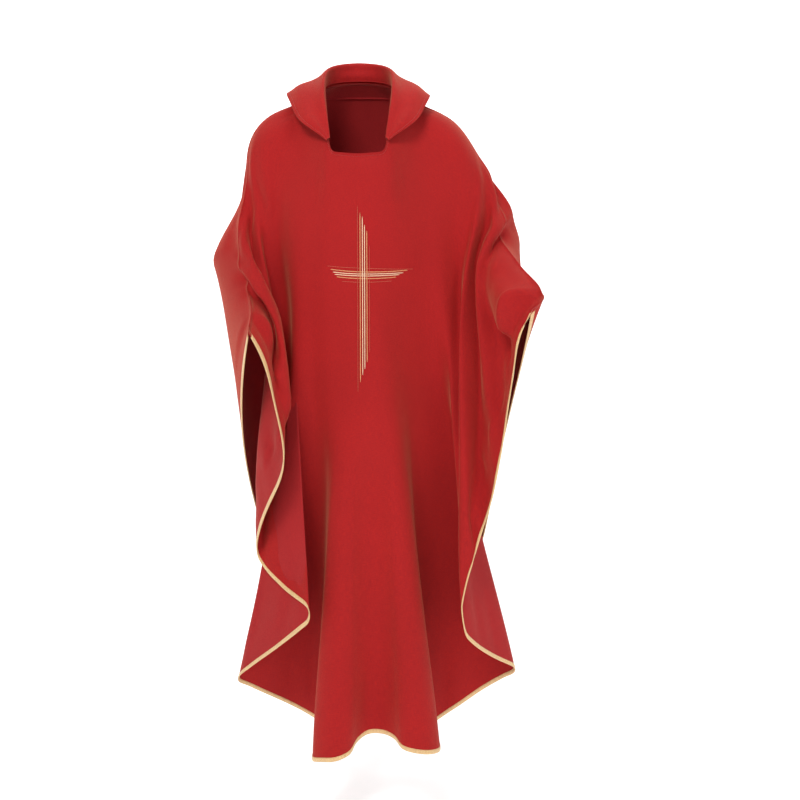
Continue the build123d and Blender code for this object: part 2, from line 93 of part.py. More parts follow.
    [(61.3, -58.3, -20.8), (100.4, -70.9, -72.4), (129.2, -72.3, -132.2), (152.2, -71.7, -194.5), (169.9, -68.4, -258.4), (182.5, -63.9, -322.5), (192.4, -63.4, -385.4), (199.4, -74.4, -446.2), (200.3, -91.3, -506.4), (197.4, -106.8, -567.3), (194.9, -122, -628.3), (197.9, -135.7, -689.5), (208.2, -145.4, -750.6), (217.1, -144.7, -812.2), (226.4, -149.6, -871)],
    [(61.8, -53.9, -16.8), (101.7, -66.7, -65.5), (132.1, -69.2, -122.6), (156.4, -68.4, -182.6), (174.3, -64.5, -244.7), (186.8, -60.2, -306.8), (196, -61.4, -367.2), (201.4, -76.4, -424.9), (199.2, -95.7, -482.7), (194.8, -112.5, -541.3), (196.2, -126.2, -600.4), (205.8, -134.3, -659.9), (216.6, -133.5, -719.8), (225.5, -133.4, -778), (237.3, -149.5, -832.7)],
    [(62.3, -49.4, -12.9), (102.9, -62.4, -58.7), (135, -66.1, -112.9), (160.7, -65.4, -170.4), (178.9, -61.1, -230.6), (191.3, -57.6, -290.7), (198.9, -61.9, -348.4), (200.9, -81.5, -403.1), (196.5, -101.3, -458.8), (195.5, -115.9, -515.7), (203.5, -123.2, -573.5), (216.8, -121.6, -631.9), (227.3, -115.4, -690.1), (243.1, -125, -745.2), (247.9, -151.8, -794.3)],
    [(62.8, -44.9, -8.9), (104.1, -57.9, -52), (138, -63.1, -102.9), (165.1, -62.6, -158), (183.7, -58.5, -216.3), (196, -55.9, -274.4), (201.4, -64.1, -329.1), (199.6, -86.6, -381.1), (196.2, -103.7, -435.3), (202.1, -112.4, -491), (215.3, -111.6, -547.6), (228.6, -105.1, -604.4), (238.4, -108.8, -659), (251.7, -132.1, -708.7), (257.9, -155.5, -755.9)],
    [(63.4, -40.5, -4.9), (105.2, -53.2, -45.4), (140.8, -59.9, -93), (169.5, -59.9, -145.4), (188.8, -56.4, -201.9), (201, -54.9, -258), (204.2, -66.4, -309.7), (200.3, -88.6, -359.8), (200.7, -100.6, -412.9), (212.9, -102.9, -467), (227.1, -99, -521.6), (237.5, -99, -575.7), (249.5, -116.3, -626.5), (254.5, -142.7, -670.5), (266, -160, -717.1)],
    [(63.8, -35.9, -1.2), (106.2, -48.1, -39.1), (143.6, -56.2, -83.2), (173.9, -57, -133), (194.1, -54.4, -187.7), (206.2, -53.9, -241.8), (208.1, -67.8, -290.9), (203.6, -86.7, -339.5), (207.9, -93.3, -391.2), (223.2, -92.6, -443.2), (234.6, -93.4, -494.8), (240, -105.7, -545.2), (251.9, -125.9, -591.7), (262.2, -147.3, -632.7), (272.2, -165, -678)],
    [(64.2, -30.9, 2.1), (107.2, -42.8, -33.2), (146.4, -52.3, -73.6), (178.3, -54, -120.6), (199.5, -52.4, -173.5), (211.5, -52.9, -225.7), (212.7, -68.3, -272.4), (208.9, -81.8, -320.2), (216, -84.2, -370), (230.8, -84.9, -419), (236.8, -95.8, -466.9), (238.5, -117, -513.3), (257.9, -128, -555.8), (274.2, -148, -595.8), (277.5, -170.3, -638.9)],
    [(64.5, -25.7, 5), (108.3, -37.6, -27.4), (149.3, -49, -63.6), (182.9, -51.9, -107.7), (205.2, -51.3, -158.9), (216.9, -52.2, -209.3), (218.1, -68.3, -254.1), (215.7, -73.8, -301.7), (224, -74.1, -349.1), (234.8, -81.7, -394), (233.9, -104.6, -438), (238.8, -125.2, -480.3), (268.6, -129.3, -519.5), (282.2, -151.7, -558.4), (282.3, -175.8, -599.7)],
    [(64.7, -20.4, 7.8), (109.5, -31.9, -21.7), (152.5, -45.1, -53.3), (187.7, -49.6, -94.7), (211, -49.6, -144.4), (222.5, -51.4, -193.4), (225.6, -64.9, -237.4), (224.8, -61, -284.8), (229.7, -67.5, -327.1), (232.2, -87.4, -367.4), (228, -114.9, -408.3), (246.5, -124.5, -446.7), (276.4, -132.1, -482.7), (287.6, -158.6, -520.8), (287, -181.3, -560.4)],
    [(65, -15.1, 10.7), (111, -25.6, -16.1), (155.7, -39.2, -43.4), (192.4, -45.2, -82.3), (216.6, -45.9, -130.7), (228.9, -50, -178.7), (234.7, -55.1, -223.1), (234.9, -48.3, -268.5), (233, -68.9, -303.2), (226.1, -95.9, -339.9), (229.4, -117.8, -379.1), (257, -118.9, -414.9), (288, -134.9, -447.2), (291.7, -167, -484.7), (291.6, -186.8, -521.2)],
    [(65.2, -9.8, 13.5), (112.2, -18, -11.2), (158.7, -30.2, -35.1), (196.7, -36.7, -71.7), (221.7, -39.1, -119.1), (236, -44.6, -166.3), (243, -40.8, -210), (246.7, -44.2, -251.1), (236.7, -72.6, -279.4), (229, -96.8, -314.9), (239, -110.6, -350.8), (254.6, -126.2, -384.9), (278.2, -144.8, -419.8), (291.8, -177.9, -449), (296.4, -192.4, -482.1)],
    [(65.5, -4.6, 16.3), (112.8, -9.5, -7.3), (160.2, -18.5, -29.2), (199.8, -24.2, -63.3), (226.1, -28.4, -109.1), (242.4, -32.9, -155.4), (253.1, -33.6, -196.3), (257.4, -48.7, -232.9), (249.5, -72.4, -261), (244.9, -85.3, -297.2), (249.5, -107.8, -320.1), (253.1, -142.4, -346.2), (258.2, -171, -386.9), (295.3, -188.8, -413), (302.6, -198.6, -444.1)],
    [(65.7, 0.7, 19.2), (111.8, -0.7, -5.5), (160, -5.4, -25.2), (200.6, -9.2, -57.2), (228.2, -14.5, -101.1), (250.4, -21.6, -144.1), (266.8, -30.7, -185.7), (268.8, -46.5, -222.3), (269.3, -59.4, -253.8), (258.9, -67.5, -283.5), (268.5, -105.7, -296.5), (283, -142.6, -318.4), (280.7, -180.2, -339.3), (313.4, -196.1, -380.2), (312.3, -206.1, -408.5)],
    [(66, 6, 22), (110.8, 6.9, -4.2), (159.4, 7, -22.6), (200.3, 6.5, -53.6), (229, -0.5, -96.1), (255.5, -7.1, -137.6), (265.6, -11.1, -181.3), (281.5, -28.1, -215.6), (278.4, -38.1, -244), (279.1, -56.1, -267.5), (296.8, -89.4, -289.1), (316.9, -123.5, -312.9), (338.1, -162.1, -332.9), (346.5, -198.8, -348.7), (325.4, -215, -375.2)],
]

BACK = [
    [(-66, 6, 22), (-115.2, 2.6, -1.8), (-165, -5.8, -22.6), (-201.9, -12.3, -59.2), (-214.8, -17.5, -109.3), (-218.3, -23.1, -155.2), (-225.3, -38, -194.7), (-233.5, -52.3, -238.7), (-231.9, -63.5, -282.4), (-230.5, -85.5, -311.8), (-212.3, -99.9, -337.5), (-211.2, -119.4, -357.9), (-203.1, -156.4, -374.4), (-201.1, -194.9, -396.4), (-201.6, -235, -417.2)],
    [(-65.9, 10, 22.5), (-113, 7.5, -5.5), (-164.3, 6.9, -24.4), (-203.9, 4.7, -58.6), (-219.2, -2, -107.7), (-225.2, -9.7, -154.9), (-231.9, -21.4, -199.6), (-240, -31.2, -247.2), (-246.6, -46.5, -287.4), (-242.8, -67.7, -319.1), (-233.4, -88.1, -347.5), (-229.3, -112.6, -372.8), (-222.7, -145.2, -397.5), (-213.2, -177.2, -425.9), (-208.5, -211, -452.3)],
    [(-65.7, 13.3, 23), (-114.7, 14.7, -2.5), (-163.9, 19.6, -26.7), (-202.3, 21.3, -63), (-219.3, 15.4, -111.6), (-226, 6.6, -160.1), (-236.3, -3.4, -206.8), (-253.3, -14.5, -253.5), (-261.4, -30.7, -293), (-255.5, -51.3, -330), (-247.6, -74.1, -362.9), (-241.6, -100, -393.4), (-234.2, -130, -423.8), (-223.4, -158.6, -456.5), (-214.9, -187.2, -487.7)],
    [(-65.4, 16.6, 23.6), (-113.9, 20.8, -3.8), (-161.5, 29.4, -31.2), (-198.7, 34.1, -68.7), (-216.6, 30.4, -117.4), (-225.5, 23.1, -166.6), (-243.4, 15.2, -213.5), (-266.1, 3.2, -259.5), (-274.4, -13.7, -302), (-265.8, -34.6, -344.1), (-257.3, -58.3, -381.5), (-249.7, -84.4, -416.9), (-241.1, -112.4, -452.2), (-230.3, -138.6, -488.5), (-220.2, -163.6, -523.8)],
    [(-65, 19.7, 24.1), (-112.6, 26.3, -5.1), (-158, 36.9, -36.5), (-193.5, 44.5, -75.5), (-210.8, 43.5, -124.6), (-223.3, 39, -174.3), (-246.9, 33.9, -222.1), (-275.2, 23.6, -269.2), (-284, 5.4, -315.8), (-272.2, -17.3, -361.1), (-262.7, -41.2, -402.6), (-253.8, -66.6, -442.5), (-244.4, -93, -482), (-234.3, -117.5, -521.6), (-224.3, -140, -560.3)],
    [(-64.4, 22.6, 24.6), (-111.1, 31.7, -6.5), (-154, 42.9, -42), (-186.9, 52.1, -83.5), (-202.7, 53.6, -133.4), (-218, 52.4, -184), (-246.4, 50.2, -233.4), (-278.4, 44, -282.9), (-287, 24.8, -333.1), (-273.9, 0.3, -380.6), (-264.1, -23.1, -425.7), (-254.7, -47.3, -469.5), (-245.2, -72.1, -512.7), (-236.2, -95.3, -555.5), (-227, -116.3, -597.1)],
    [(-63.8, 25.6, 25.1), (-109.3, 36.6, -8.3), (-149.8, 47.8, -47.7), (-179.9, 57.2, -92.2), (-193.4, 60.7, -143.3), (-210.9, 61.9, -195.4), (-241.7, 62.3, -246.6), (-273.8, 59.7, -298.8), (-282.2, 41.2, -351.7), (-271.2, 17.3, -401.4), (-262.2, -4.9, -449.8), (-253.2, -27.4, -497.2), (-244.4, -50.5, -543.9), (-236.6, -72.5, -589.6), (-228.2, -92.3, -634.2)],
    [(-62.9, 28.4, 25.6), (-107.2, 41.2, -10.5), (-145.8, 52.5, -53.3), (-173.4, 61.3, -100.9), (-184.4, 65.8, -153.7), (-203.8, 68.6, -207.5), (-235, 70.6, -260.9), (-264, 69.9, -315.6), (-272.5, 54.1, -370.5), (-265.2, 33, -423), (-257.9, 13, -474.6), (-250.2, -7.4, -525.3), (-242.5, -28.6, -575.2), (-235.7, -49.2, -623.9), (-228, -68.2, -671.3)],
    [(-62, 31.1, 26.1), (-105.2, 46.1, -12.4), (-142, 57.7, -58.4), (-167.5, 66.1, -108.9), (-177, 71.1, -163.6), (-197.9, 74.8, -219.4), (-228.1, 78, -275.1), (-253, 78.2, -332.2), (-260.9, 64.9, -389.5), (-257, 47.2, -444.9), (-252, 29.9, -499.6), (-246, 12, -553.5), (-239.7, -6.9, -606.5), (-233.7, -25.8, -658.1), (-226.4, -44.1, -708.5)],
    [(-61, 33.8, 26.6), (-103.1, 50.8, -14.3), (-138.2, 62.8, -63.4), (-162, 70.5, -116.9), (-170.9, 75.8, -173.7), (-192.2, 80.1, -231.5), (-220.1, 83.8, -289.5), (-240.4, 84.5, -349.1), (-248.1, 73.9, -408.7), (-247.4, 59.8, -466.9), (-244.9, 45.5, -524.7), (-240.9, 30.3, -581.7), (-236, 14.1, -637.8), (-230.7, -2.9, -692.4), (-223.4, -20.4, -745.6)],
    [(-59.8, 36.4, 27.1), (-100.8, 55.4, -16.4), (-134.4, 67.5, -68.5), (-156.8, 74.4, -124.9), (-166, 79.5, -183.9), (-187.1, 83.9, -243.9), (-211.1, 87.7, -304.2), (-226.8, 88.6, -366.1), (-234.8, 81.4, -428), (-237, 70.8, -489), (-236.9, 59.6, -549.7), (-234.9, 47.4, -609.9), (-231.4, 33.9, -669.1), (-226.7, 19.1, -726.7), (-219.2, 2.3, -782.8)],
    [(-58.5, 38.9, 27.5), (-98.4, 59.7, -18.4), (-130.5, 72.1, -73.5), (-152, 78, -132.7), (-162, 82.7, -194), (-182.4, 86.9, -256.3), (-201.9, 90.4, -318.8), (-213.5, 91.5, -382.9), (-221.6, 87.6, -447.2), (-226.3, 80.3, -511), (-228.2, 72, -574.6), (-228, 62.7, -637.9), (-225.8, 52, -700.2), (-221.6, 39.5, -761), (-213.7, 23.6, -819.8)],
    [(-57.2, 41.4, 28), (-95.9, 63.9, -20.5), (-126.6, 76.5, -78.3), (-147.4, 81.6, -140.3), (-158.6, 85.6, -203.9), (-177.6, 89.5, -268.5), (-192.9, 92.5, -333.2), (-201.5, 94.1, -399.5), (-209.3, 92.9, -466.3), (-215.5, 88.3, -532.8), (-218.9, 82.6, -599.2), (-220.1, 76.1, -665.5), (-219.1, 68.1, -731.1), (-215.3, 57.9, -795.1), (-206.8, 43, -856.2)],
    [(-55.7, 43.7, 28.4), (-93.4, 67.9, -22.5), (-122.6, 80.8, -83), (-142.9, 85.1, -147.6), (-155.2, 88.5, -213.5), (-172.1, 91.9, -280.4), (-184.3, 94.3, -347.4), (-191.1, 96.5, -415.9), (-198.3, 97.2, -485.2), (-204.8, 94.7, -554.3), (-208.9, 91.3, -623.4), (-211.2, 87.3, -692.6), (-211.1, 81.7, -761.4), (-207.6, 73.6, -828.5), (-198.1, 60.1, -891.7)],
    [(-54.1, 46, 28.9), (-90.7, 71.8, -24.4), (-118.5, 84.9, -87.5), (-138.3, 88.6, -154.6), (-151.4, 91.4, -222.7), (-166, 94.4, -291.8), (-176, 96.2, -361.3), (-182, 98.6, -432.2), (-188.5, 100.4, -504), (-194, 99.4, -575.2), (-198.1, 97.9, -646.7), (-200.8, 95.9, -718.7), (-201.2, 92.4, -790.4), (-197.7, 86.3, -860.5), (-187.1, 74.9, -925.6)],
    [(-52.4, 48.2, 29.3), (-87.9, 75.5, -26.2), (-114.2, 88.9, -91.9), (-133.3, 92, -161.4), (-147.1, 94.4, -231.6), (-159.5, 96.9, -302.8), (-167.9, 98.3, -374.7), (-173.8, 100.5, -448.4), (-179.2, 102.3, -522.5), (-182.9, 102.5, -595.3), (-186.1, 102.7, -669), (-188.4, 102.2, -743.3), (-188.7, 100.3, -817.6), (-185, 96.1, -890.3), (-173.7, 87.6, -957.4)],
    [(-50.6, 50.3, 29.7), (-85.1, 79.1, -27.9), (-109.9, 92.5, -96.2), (-127.7, 95.4, -167.9), (-142, 97.3, -240.2), (-152.7, 99.5, -313.4), (-159.9, 100.6, -387.7), (-165.4, 102.1, -463.9), (-169.2, 103.1, -539.9), (-170.7, 104.7, -614.3), (-172.6, 106.1, -689.8), (-174, 106.7, -766.2), (-173.3, 106.1, -842.6), (-169, 103.7, -917.5), (-157.9, 99.1, -986.9)],
    [(-48.7, 52.4, 30.1), (-82.1, 82.3, -29.7), (-105.3, 96, -100.4), (-122, 98.7, -174.2), (-136.2, 100.1, -248.5), (-145.8, 102.2, -323.6), (-151.6, 102.8, -399.8), (-155.2, 102.4, -477.4), (-157.2, 103.1, -555.3), (-157.3, 107, -631.9), (-157.7, 109.3, -709.3), (-157.4, 110.7, -787.3), (-155.2, 111.1, -865.3), (-150.1, 110.5, -942.1), (-140, 109.8, -1014)],
    [(-46.7, 54.3, 30.5), (-78.9, 85.3, -31.4), (-100.6, 99.1, -104.5), (-116.2, 101.8, -180.3), (-129.8, 102.8, -256.6), (-138.7, 104.7, -333.4), (-143.1, 105.7, -411.4), (-144.5, 105.3, -490.7), (-144, 106, -570.2), (-142.8, 110.5, -648.4), (-141.5, 113.5, -727.3), (-139.2, 115.5, -806.7), (-135.3, 116.9, -886), (-129.2, 118, -964.4), (-120.5, 120.7, -1038.8)],
    [(-44.6, 56.2, 30.8), (-75.6, 88, -33.2), (-95.6, 102, -108.5), (-110.3, 104.8, -186.2), (-123.1, 105.2, -264.4), (-131.5, 107, -342.9), (-134.3, 109, -422.4), (-133.3, 110.3, -503.3), (-130.4, 112.2, -584.1), (-127.6, 116.1, -663.8), (-124.4, 119.5, -743.9), (-120.3, 122.3, -824.5), (-114.7, 124.8, -905), (-107.7, 127.5, -984.7), (-99.9, 132.3, -1061.6)],
    [(-42.4, 57.9, 31.2), (-72, 90.5, -35), (-90.5, 104.7, -112.4), (-104.4, 107.6, -192), (-116.4, 107.3, -271.9), (-124.1, 108.6, -352.1), (-125.3, 112.2, -432.9), (-122, 116.8, -514.9), (-116.9, 119.9, -597), (-112.2, 123.4, -677.9), (-107.1, 127.5, -759.3), (-101.3, 131.6, -840.9), (-94.4, 135.6, -922.4), (-86.7, 139.6, -1003.5), (-78.6, 144.9, -1082.5)],
    [(-40.2, 59.6, 31.5), (-68.2, 92.8, -36.9), (-85.3, 107.1, -116.2), (-98.5, 110.2, -197.5), (-109.7, 109.1, -279.2), (-116.4, 109.6, -360.9), (-116.1, 114.6, -442.8), (-111, 120.8, -525.8), (-103.8, 126.7, -608.8), (-96.8, 131.4, -690.9), (-89.7, 136.8, -773.4), (-82.5, 142.5, -856), (-74.9, 148.3, -938.6), (-66.6, 153.8, -1020.9), (-56.8, 158.1, -1101.8)],
    [(-37.9, 61.2, 31.8), (-64.2, 94.9, -38.6), (-79.9, 109.4, -119.8), (-92.5, 112.5, -202.8), (-103, 110.6, -286.1), (-108.4, 109.8, -369.4), (-106.8, 115.6, -452.4), (-100.1, 123.6, -536.1), (-90.6, 132.3, -619.6), (-81.3, 138.6, -703), (-72.1, 145.5, -786.5), (-63.2, 153, -870), (-54.6, 160.6, -953.5), (-45.8, 167.7, -1037), (-34, 170.5, -1120.1)],
    [(-35.5, 62.6, 32.1), (-60, 97, -40.3), (-74.4, 111.5, -123.2), (-86.4, 114.7, -207.7), (-96.2, 112.2, -292.6), (-100.2, 109.7, -377.4), (-97.4, 115.1, -461.6), (-89.1, 124.6, -546), (-77.1, 135.2, -630.1), (-66.1, 143, -714.6), (-54.3, 151.2, -799.1), (-42.4, 159.9, -883.5), (-31.3, 168.6, -967.9), (-21, 176.9, -1052.5), (-9.5, 179.2, -1137.8)],
    [(-33, 64, 32.4), (-55.7, 99, -41.8), (-68.8, 113.5, -126.3), (-80.3, 116.7, -212.3), (-89.3, 113.8, -298.6), (-91.8, 109.7, -384.8), (-88, 113.3, -470.4), (-79, 123.1, -555.9), (-65.8, 133.5, -641.2), (-53.2, 142.3, -726.8), (-38.5, 150.9, -812.3), (-22.7, 159.3, -897.8), (-6.6, 167.4, -983.3), (6.7, 175.2, -1069.2), (16.4, 179.9, -1156.1)],
    [(-30.5, 65.2, 32.6), (-51.2, 101.1, -43), (-63.2, 115.4, -129), (-74.1, 118.5, -216.3), (-82.3, 115.8, -303.9), (-83.3, 110.2, -391.5), (-78.5, 111.1, -478.7), (-70.5, 120.2, -565.7), (-58.9, 128.2, -652.7), (-47.3, 135.7, -740), (-32.6, 142.9, -827.2), (-15.7, 149.6, -914.4), (3.5, 154.7, -1001.8), (19.2, 160, -1089.5), (32.4, 166.2, -1177.2)],
    [(-27.9, 66.4, 32.9), (-46.6, 103.1, -44), (-57.5, 117.2, -131.3), (-67.8, 119.4, -219.7), (-75.2, 117.9, -308.4), (-74.7, 111.7, -397.2), (-69.1, 109.9, -485.9), (-63.1, 116.6, -574.8), (-55.8, 122.6, -663.7), (-48.9, 127.3, -753.1), (-40.2, 132, -842.5), (-30.1, 137.2, -932), (-18.3, 142.5, -1021.5), (-5.1, 147, -1110.8), (7.8, 151.3, -1200.1)],
    [(-25.3, 67.5, 33.1), (-42, 105, -44.7), (-51.8, 118.3, -133), (-61.3, 120.5, -222.3), (-68, 119.3, -312), (-66.2, 114.3, -401.8), (-59.6, 110.6, -491.8), (-55, 113.7, -582.3), (-51.6, 118.6, -673.1), (-49, 120.6, -764.2), (-46.4, 122.9, -855.5), (-44.3, 126.2, -946.9), (-43.5, 131.5, -1038.2), (-38, 137.4, -1129.1), (-29.5, 141.8, -1219.8)],
    [(-22.6, 68.4, 33.3), (-37.3, 106.9, -45.2), (-46, 119.4, -134.3), (-54.7, 121.5, -224.3), (-60.8, 120.8, -314.7), (-58.1, 117.9, -405.2), (-50.3, 113.6, -496.1), (-45, 113.1, -587.9), (-41.7, 113.8, -680), (-39.5, 113.2, -772.3), (-38.6, 112.8, -864.8), (-39, 113.9, -957.4), (-41, 114.5, -1049.9), (-41.3, 116.1, -1142.2), (-39.3, 119.1, -1234.4)],
    [(-19.8, 69.2, 33.4), (-32.5, 108.5, -45.4), (-40.1, 120.2, -135.1), (-47.9, 122.6, -225.7), (-53.4, 122.5, -316.5), (-50.7, 120.7, -407.5), (-42.2, 118.5, -499), (-33.7, 117.3, -591.5), (-26.3, 116.3, -684.3), (-20.3, 113.9, -777.1), (-15.7, 111.4, -870.1), (-12.4, 109.4, -963.2), (-8.3, 106.3, -1056.2), (-4.5, 104.6, -1149.1), (-2, 104.4, -1242)],
    [(-17.1, 70, 33.6), (-27.7, 109.9, -45.6), (-34.1, 120.9, -135.6), (-40.8, 123.8, -226.4), (-45.7, 124.4, -317.5), (-43.9, 124.2, -408.7), (-36.2, 123.5, -500.5), (-25.5, 123.6, -593.4), (-14.2, 123.7, -686.5), (-4.1, 123.4, -779.5), (5.2, 123.3, -872.5), (13.2, 123.5, -965.7), (20.7, 123.9, -1058.9), (26.6, 124.8, -1152.2), (31.2, 125.7, -1245.4)],
    [(-14.3, 70.6, 33.7), (-22.9, 110.9, -45.6), (-28, 121.5, -135.7), (-33.5, 125, -226.6), (-37.7, 126.7, -317.8), (-37.4, 128.4, -409), (-32.1, 129.8, -500.8), (-21.7, 131.7, -593.8), (-9.1, 133.6, -686.9), (2.7, 135.2, -780), (14.5, 137.3, -873), (25.4, 140, -965.9), (33.7, 143.1, -1059), (39, 145.8, -1152.3), (45.5, 148.2, -1245.6)],
    [(-11.5, 71.1, 33.8), (-18.1, 111.7, -45.5), (-21.8, 122.2, -135.6), (-25.8, 126.3, -226.5), (-29.1, 129.2, -317.6), (-30.3, 133.1, -408.5), (-28.3, 137.2, -500.2), (-20, 141.3, -592.9), (-8.9, 145.5, -685.9), (1.5, 149.2, -778.8), (12.7, 153.3, -871.7), (24.4, 158, -964.5), (35.6, 163.2, -1057), (44.7, 167.6, -1149.8), (52.8, 171.7, -1242.7)],
    [(-8.6, 71.5, 33.9), (-13.3, 112.2, -45.5), (-15.5, 122.8, -135.4), (-18, 127.7, -226), (-19.8, 131.8, -316.8), (-21.9, 138.2, -407.4), (-22.8, 144.9, -498.8), (-18, 151.5, -591.1), (-10.7, 158.1, -683.6), (-4.2, 164, -776.3), (3.2, 169.9, -869), (12, 175.7, -961.8), (23.3, 181.9, -1054.2), (33.8, 188.5, -1146.3), (42.5, 194.5, -1238.8)],
    [(-5.8, 71.8, 34), (-8.6, 112.5, -45.4), (-9.3, 123.4, -135), (-10.1, 129, -225.4), (-9.9, 134.4, -315.9), (-11.8, 142.9, -405.9), (-14.3, 152.1, -497), (-13, 161, -588.7), (-10.3, 169.9, -680.6), (-8, 178.1, -772.7), (-5.7, 185.9, -865), (-2.6, 193, -957.6), (1.9, 199, -1050.6), (8.9, 205.9, -1143), (15.3, 213.3, -1235.2)],
    [(-2.9, 71.9, 34), (-3.9, 112.7, -45.4), (-3.1, 124, -134.7), (-2.1, 130.1, -224.8), (0.3, 136.7, -314.9), (-0.1, 146.8, -404.5), (-2.5, 158, -495.1), (-3.1, 169, -586.1), (-3.2, 180.1, -677.1), (-3.1, 190.7, -768.3), (-3.5, 200.9, -859.7), (-4.5, 210.6, -951.2), (-7.5, 219.6, -1043.3), (-7.8, 227.8, -1135.6), (-5.4, 236.4, -1227.6)],
    [(0, 72, 34), (0.8, 112.9, -45.3), (3, 124.5, -134.4), (5.7, 130.8, -224.4), (10.5, 138.1, -314), (12.3, 149.1, -403.3), (11.7, 161.5, -493.7), (12, 174.1, -584), (12.9, 187, -674.2), (14.5, 199.2, -764.6), (15.8, 211.3, -855), (16.5, 223.6, -945.4), (15.9, 237.1, -1035.1), (15.5, 249.9, -1125.1), (16.5, 261.1, -1216)],
    [(2.9, 71.9, 34), (5.5, 113.2, -45.2), (9, 124.8, -134.1), (13.2, 130.9, -224.1), (20.2, 138.4, -313.6), (24.3, 149.4, -402.8), (25.8, 161.7, -493.3), (28.5, 173.9, -583.9), (32.4, 186, -674.4), (37.3, 197.7, -765), (42.6, 209.3, -855.7), (48.3, 220.8, -946.3), (56.3, 232.7, -1036.8), (63.1, 243.5, -1127.9), (67.6, 253.7, -1219.3)],
    [(5.8, 71.8, 34), (10.1, 113.4, -45), (14.9, 125, -133.9), (20.3, 130.4, -224.1), (28.9, 137.4, -313.6), (34.8, 147.6, -403.1), (37.5, 158.6, -494), (40.6, 169, -585.4), (45, 178.9, -676.9), (50.8, 188.4, -768.5), (57.5, 197.6, -860.3), (64.7, 206.3, -952.2), (73.1, 213.8, -1044.6), (79.3, 221.5, -1136.9), (83.7, 229.8, -1229)],
    [(8.6, 71.5, 33.9), (14.8, 113.5, -44.8), (20.6, 124.9, -133.8), (27.1, 129.3, -224.2), (36.5, 135.3, -313.9), (43.3, 143.6, -404), (45.9, 152.7, -495.5), (48, 160.9, -587.7), (50.6, 168.3, -680.3), (54.5, 175.3, -772.9), (59.6, 182, -865.8), (64.9, 188.2, -958.8), (69.1, 193.9, -1051.8), (74.5, 200.2, -1144.5), (82.1, 206.5, -1236.9)],
    [(11.5, 71.1, 33.8), (19.4, 113.4, -44.7), (26.3, 124.5, -133.8), (33.4, 127.8, -224.3), (42.9, 132.2, -314.5), (49.7, 138.2, -405.1), (51.8, 144.7, -497.3), (52.3, 150.7, -590.3), (52.2, 155.8, -683.7), (52.6, 160.4, -777), (54.4, 165, -870.4), (57.4, 169.5, -963.9), (60.8, 174.2, -1057.1), (66.7, 178.8, -1150.2), (75.2, 183.3, -1243)],
    [(14.3, 70.6, 33.7), (24.1, 113, -44.6), (31.8, 124, -133.7), (39.5, 126.2, -224.4), (48.5, 128.8, -314.9), (54.8, 132.1, -406.1), (56.4, 135.8, -498.8), (55.7, 139.5, -592.3), (53.5, 142.6, -686), (50.7, 145.1, -779.5), (49.1, 147.8, -873.1), (50.3, 150.9, -966.6), (54.9, 154.2, -1060), (60, 157.2, -1153.2), (66, 160.1, -1246.4)],
    [(17.1, 70, 33.6), (28.7, 112.3, -44.4), (37.3, 123.3, -133.6), (45.5, 124.6, -224.3), (53.7, 125.4, -315), (59.5, 126.1, -406.4), (61.3, 126.9, -499.2), (60.4, 128.5, -592.8), (57.6, 129.8, -686.5), (53.6, 130.5, -779.9), (49.7, 131.1, -873.3), (48.2, 132.3, -966.6), (49.8, 134, -1060), (52.4, 135.6, -1153.4), (56.3, 136.9, -1246.6)],
    [(19.8, 69.2, 33.4), (33.4, 111.2, -44.3), (42.8, 122.5, -133.3), (51.5, 123.3, -223.8), (59.1, 122.7, -314.5), (64.6, 121.2, -405.8), (67.3, 119.1, -498.3), (67.1, 118.2, -591.6), (65.6, 117.4, -684.9), (62.9, 115.9, -777.8), (58.9, 113.7, -870.7), (55, 111.6, -963.6), (51.5, 110.7, -1056.7), (50.8, 110.2, -1149.8), (51.7, 109.5, -1242.8)],
    [(22.6, 68.4, 33.3), (38.1, 109.7, -43.9), (48.2, 121.5, -132.6), (57.5, 122.2, -222.7), (64.8, 120.8, -313), (70.5, 117.4, -403.9), (74.6, 110.8, -495.8), (76, 106.3, -588.3), (76.9, 102.1, -680.9), (77.5, 97, -773.3), (76.1, 90.5, -865.5), (73.2, 83.3, -957.7), (68.5, 76.2, -1049.9), (65, 70.6, -1142.2), (63.2, 65.3, -1234.6)],
    [(25.3, 67.5, 33.1), (42.7, 108, -43.4), (53.6, 120.6, -131.5), (63.7, 121.5, -220.9), (71.1, 119.8, -310.6), (77.3, 114.8, -400.8), (83, 106.6, -491.7), (86.3, 100.5, -583.4), (90.3, 94.9, -675.1), (94.4, 88.8, -766.7), (96.9, 81.2, -858.3), (98.8, 73.2, -949.8), (100.8, 63.7, -1041.2), (101.3, 54.9, -1132.7), (102.2, 48.7, -1224.2)],
    [(27.9, 66.4, 32.9), (47.4, 106.1, -42.6), (59.1, 119.6, -129.8), (69.9, 120.9, -218.3), (77.8, 119.6, -307.1), (84.7, 115.5, -396.5), (91.3, 108.7, -486.3), (94.9, 104.5, -576.9), (99.3, 101.1, -667.7), (104, 97, -758.5), (107.7, 92.2, -849.3), (112, 88, -940.1), (119.2, 85.7, -1031), (123.8, 84.9, -1122), (124.8, 83.3, -1212.8)],
    [(30.5, 65.2, 32.6), (52, 104.1, -41.6), (64.5, 118.3, -127.6), (76, 120.4, -215), (84.7, 119.9, -302.8), (92.2, 118.2, -391.1), (98.6, 115.6, -479.7), (99.9, 114.5, -569), (100.7, 114.2, -658.7), (101.7, 113.3, -748.4), (101.4, 112.4, -838.1), (101.1, 112.4, -927.9), (100.7, 113.4, -1017.7), (98.4, 114.1, -1107.5), (95.1, 113.2, -1197.1)],
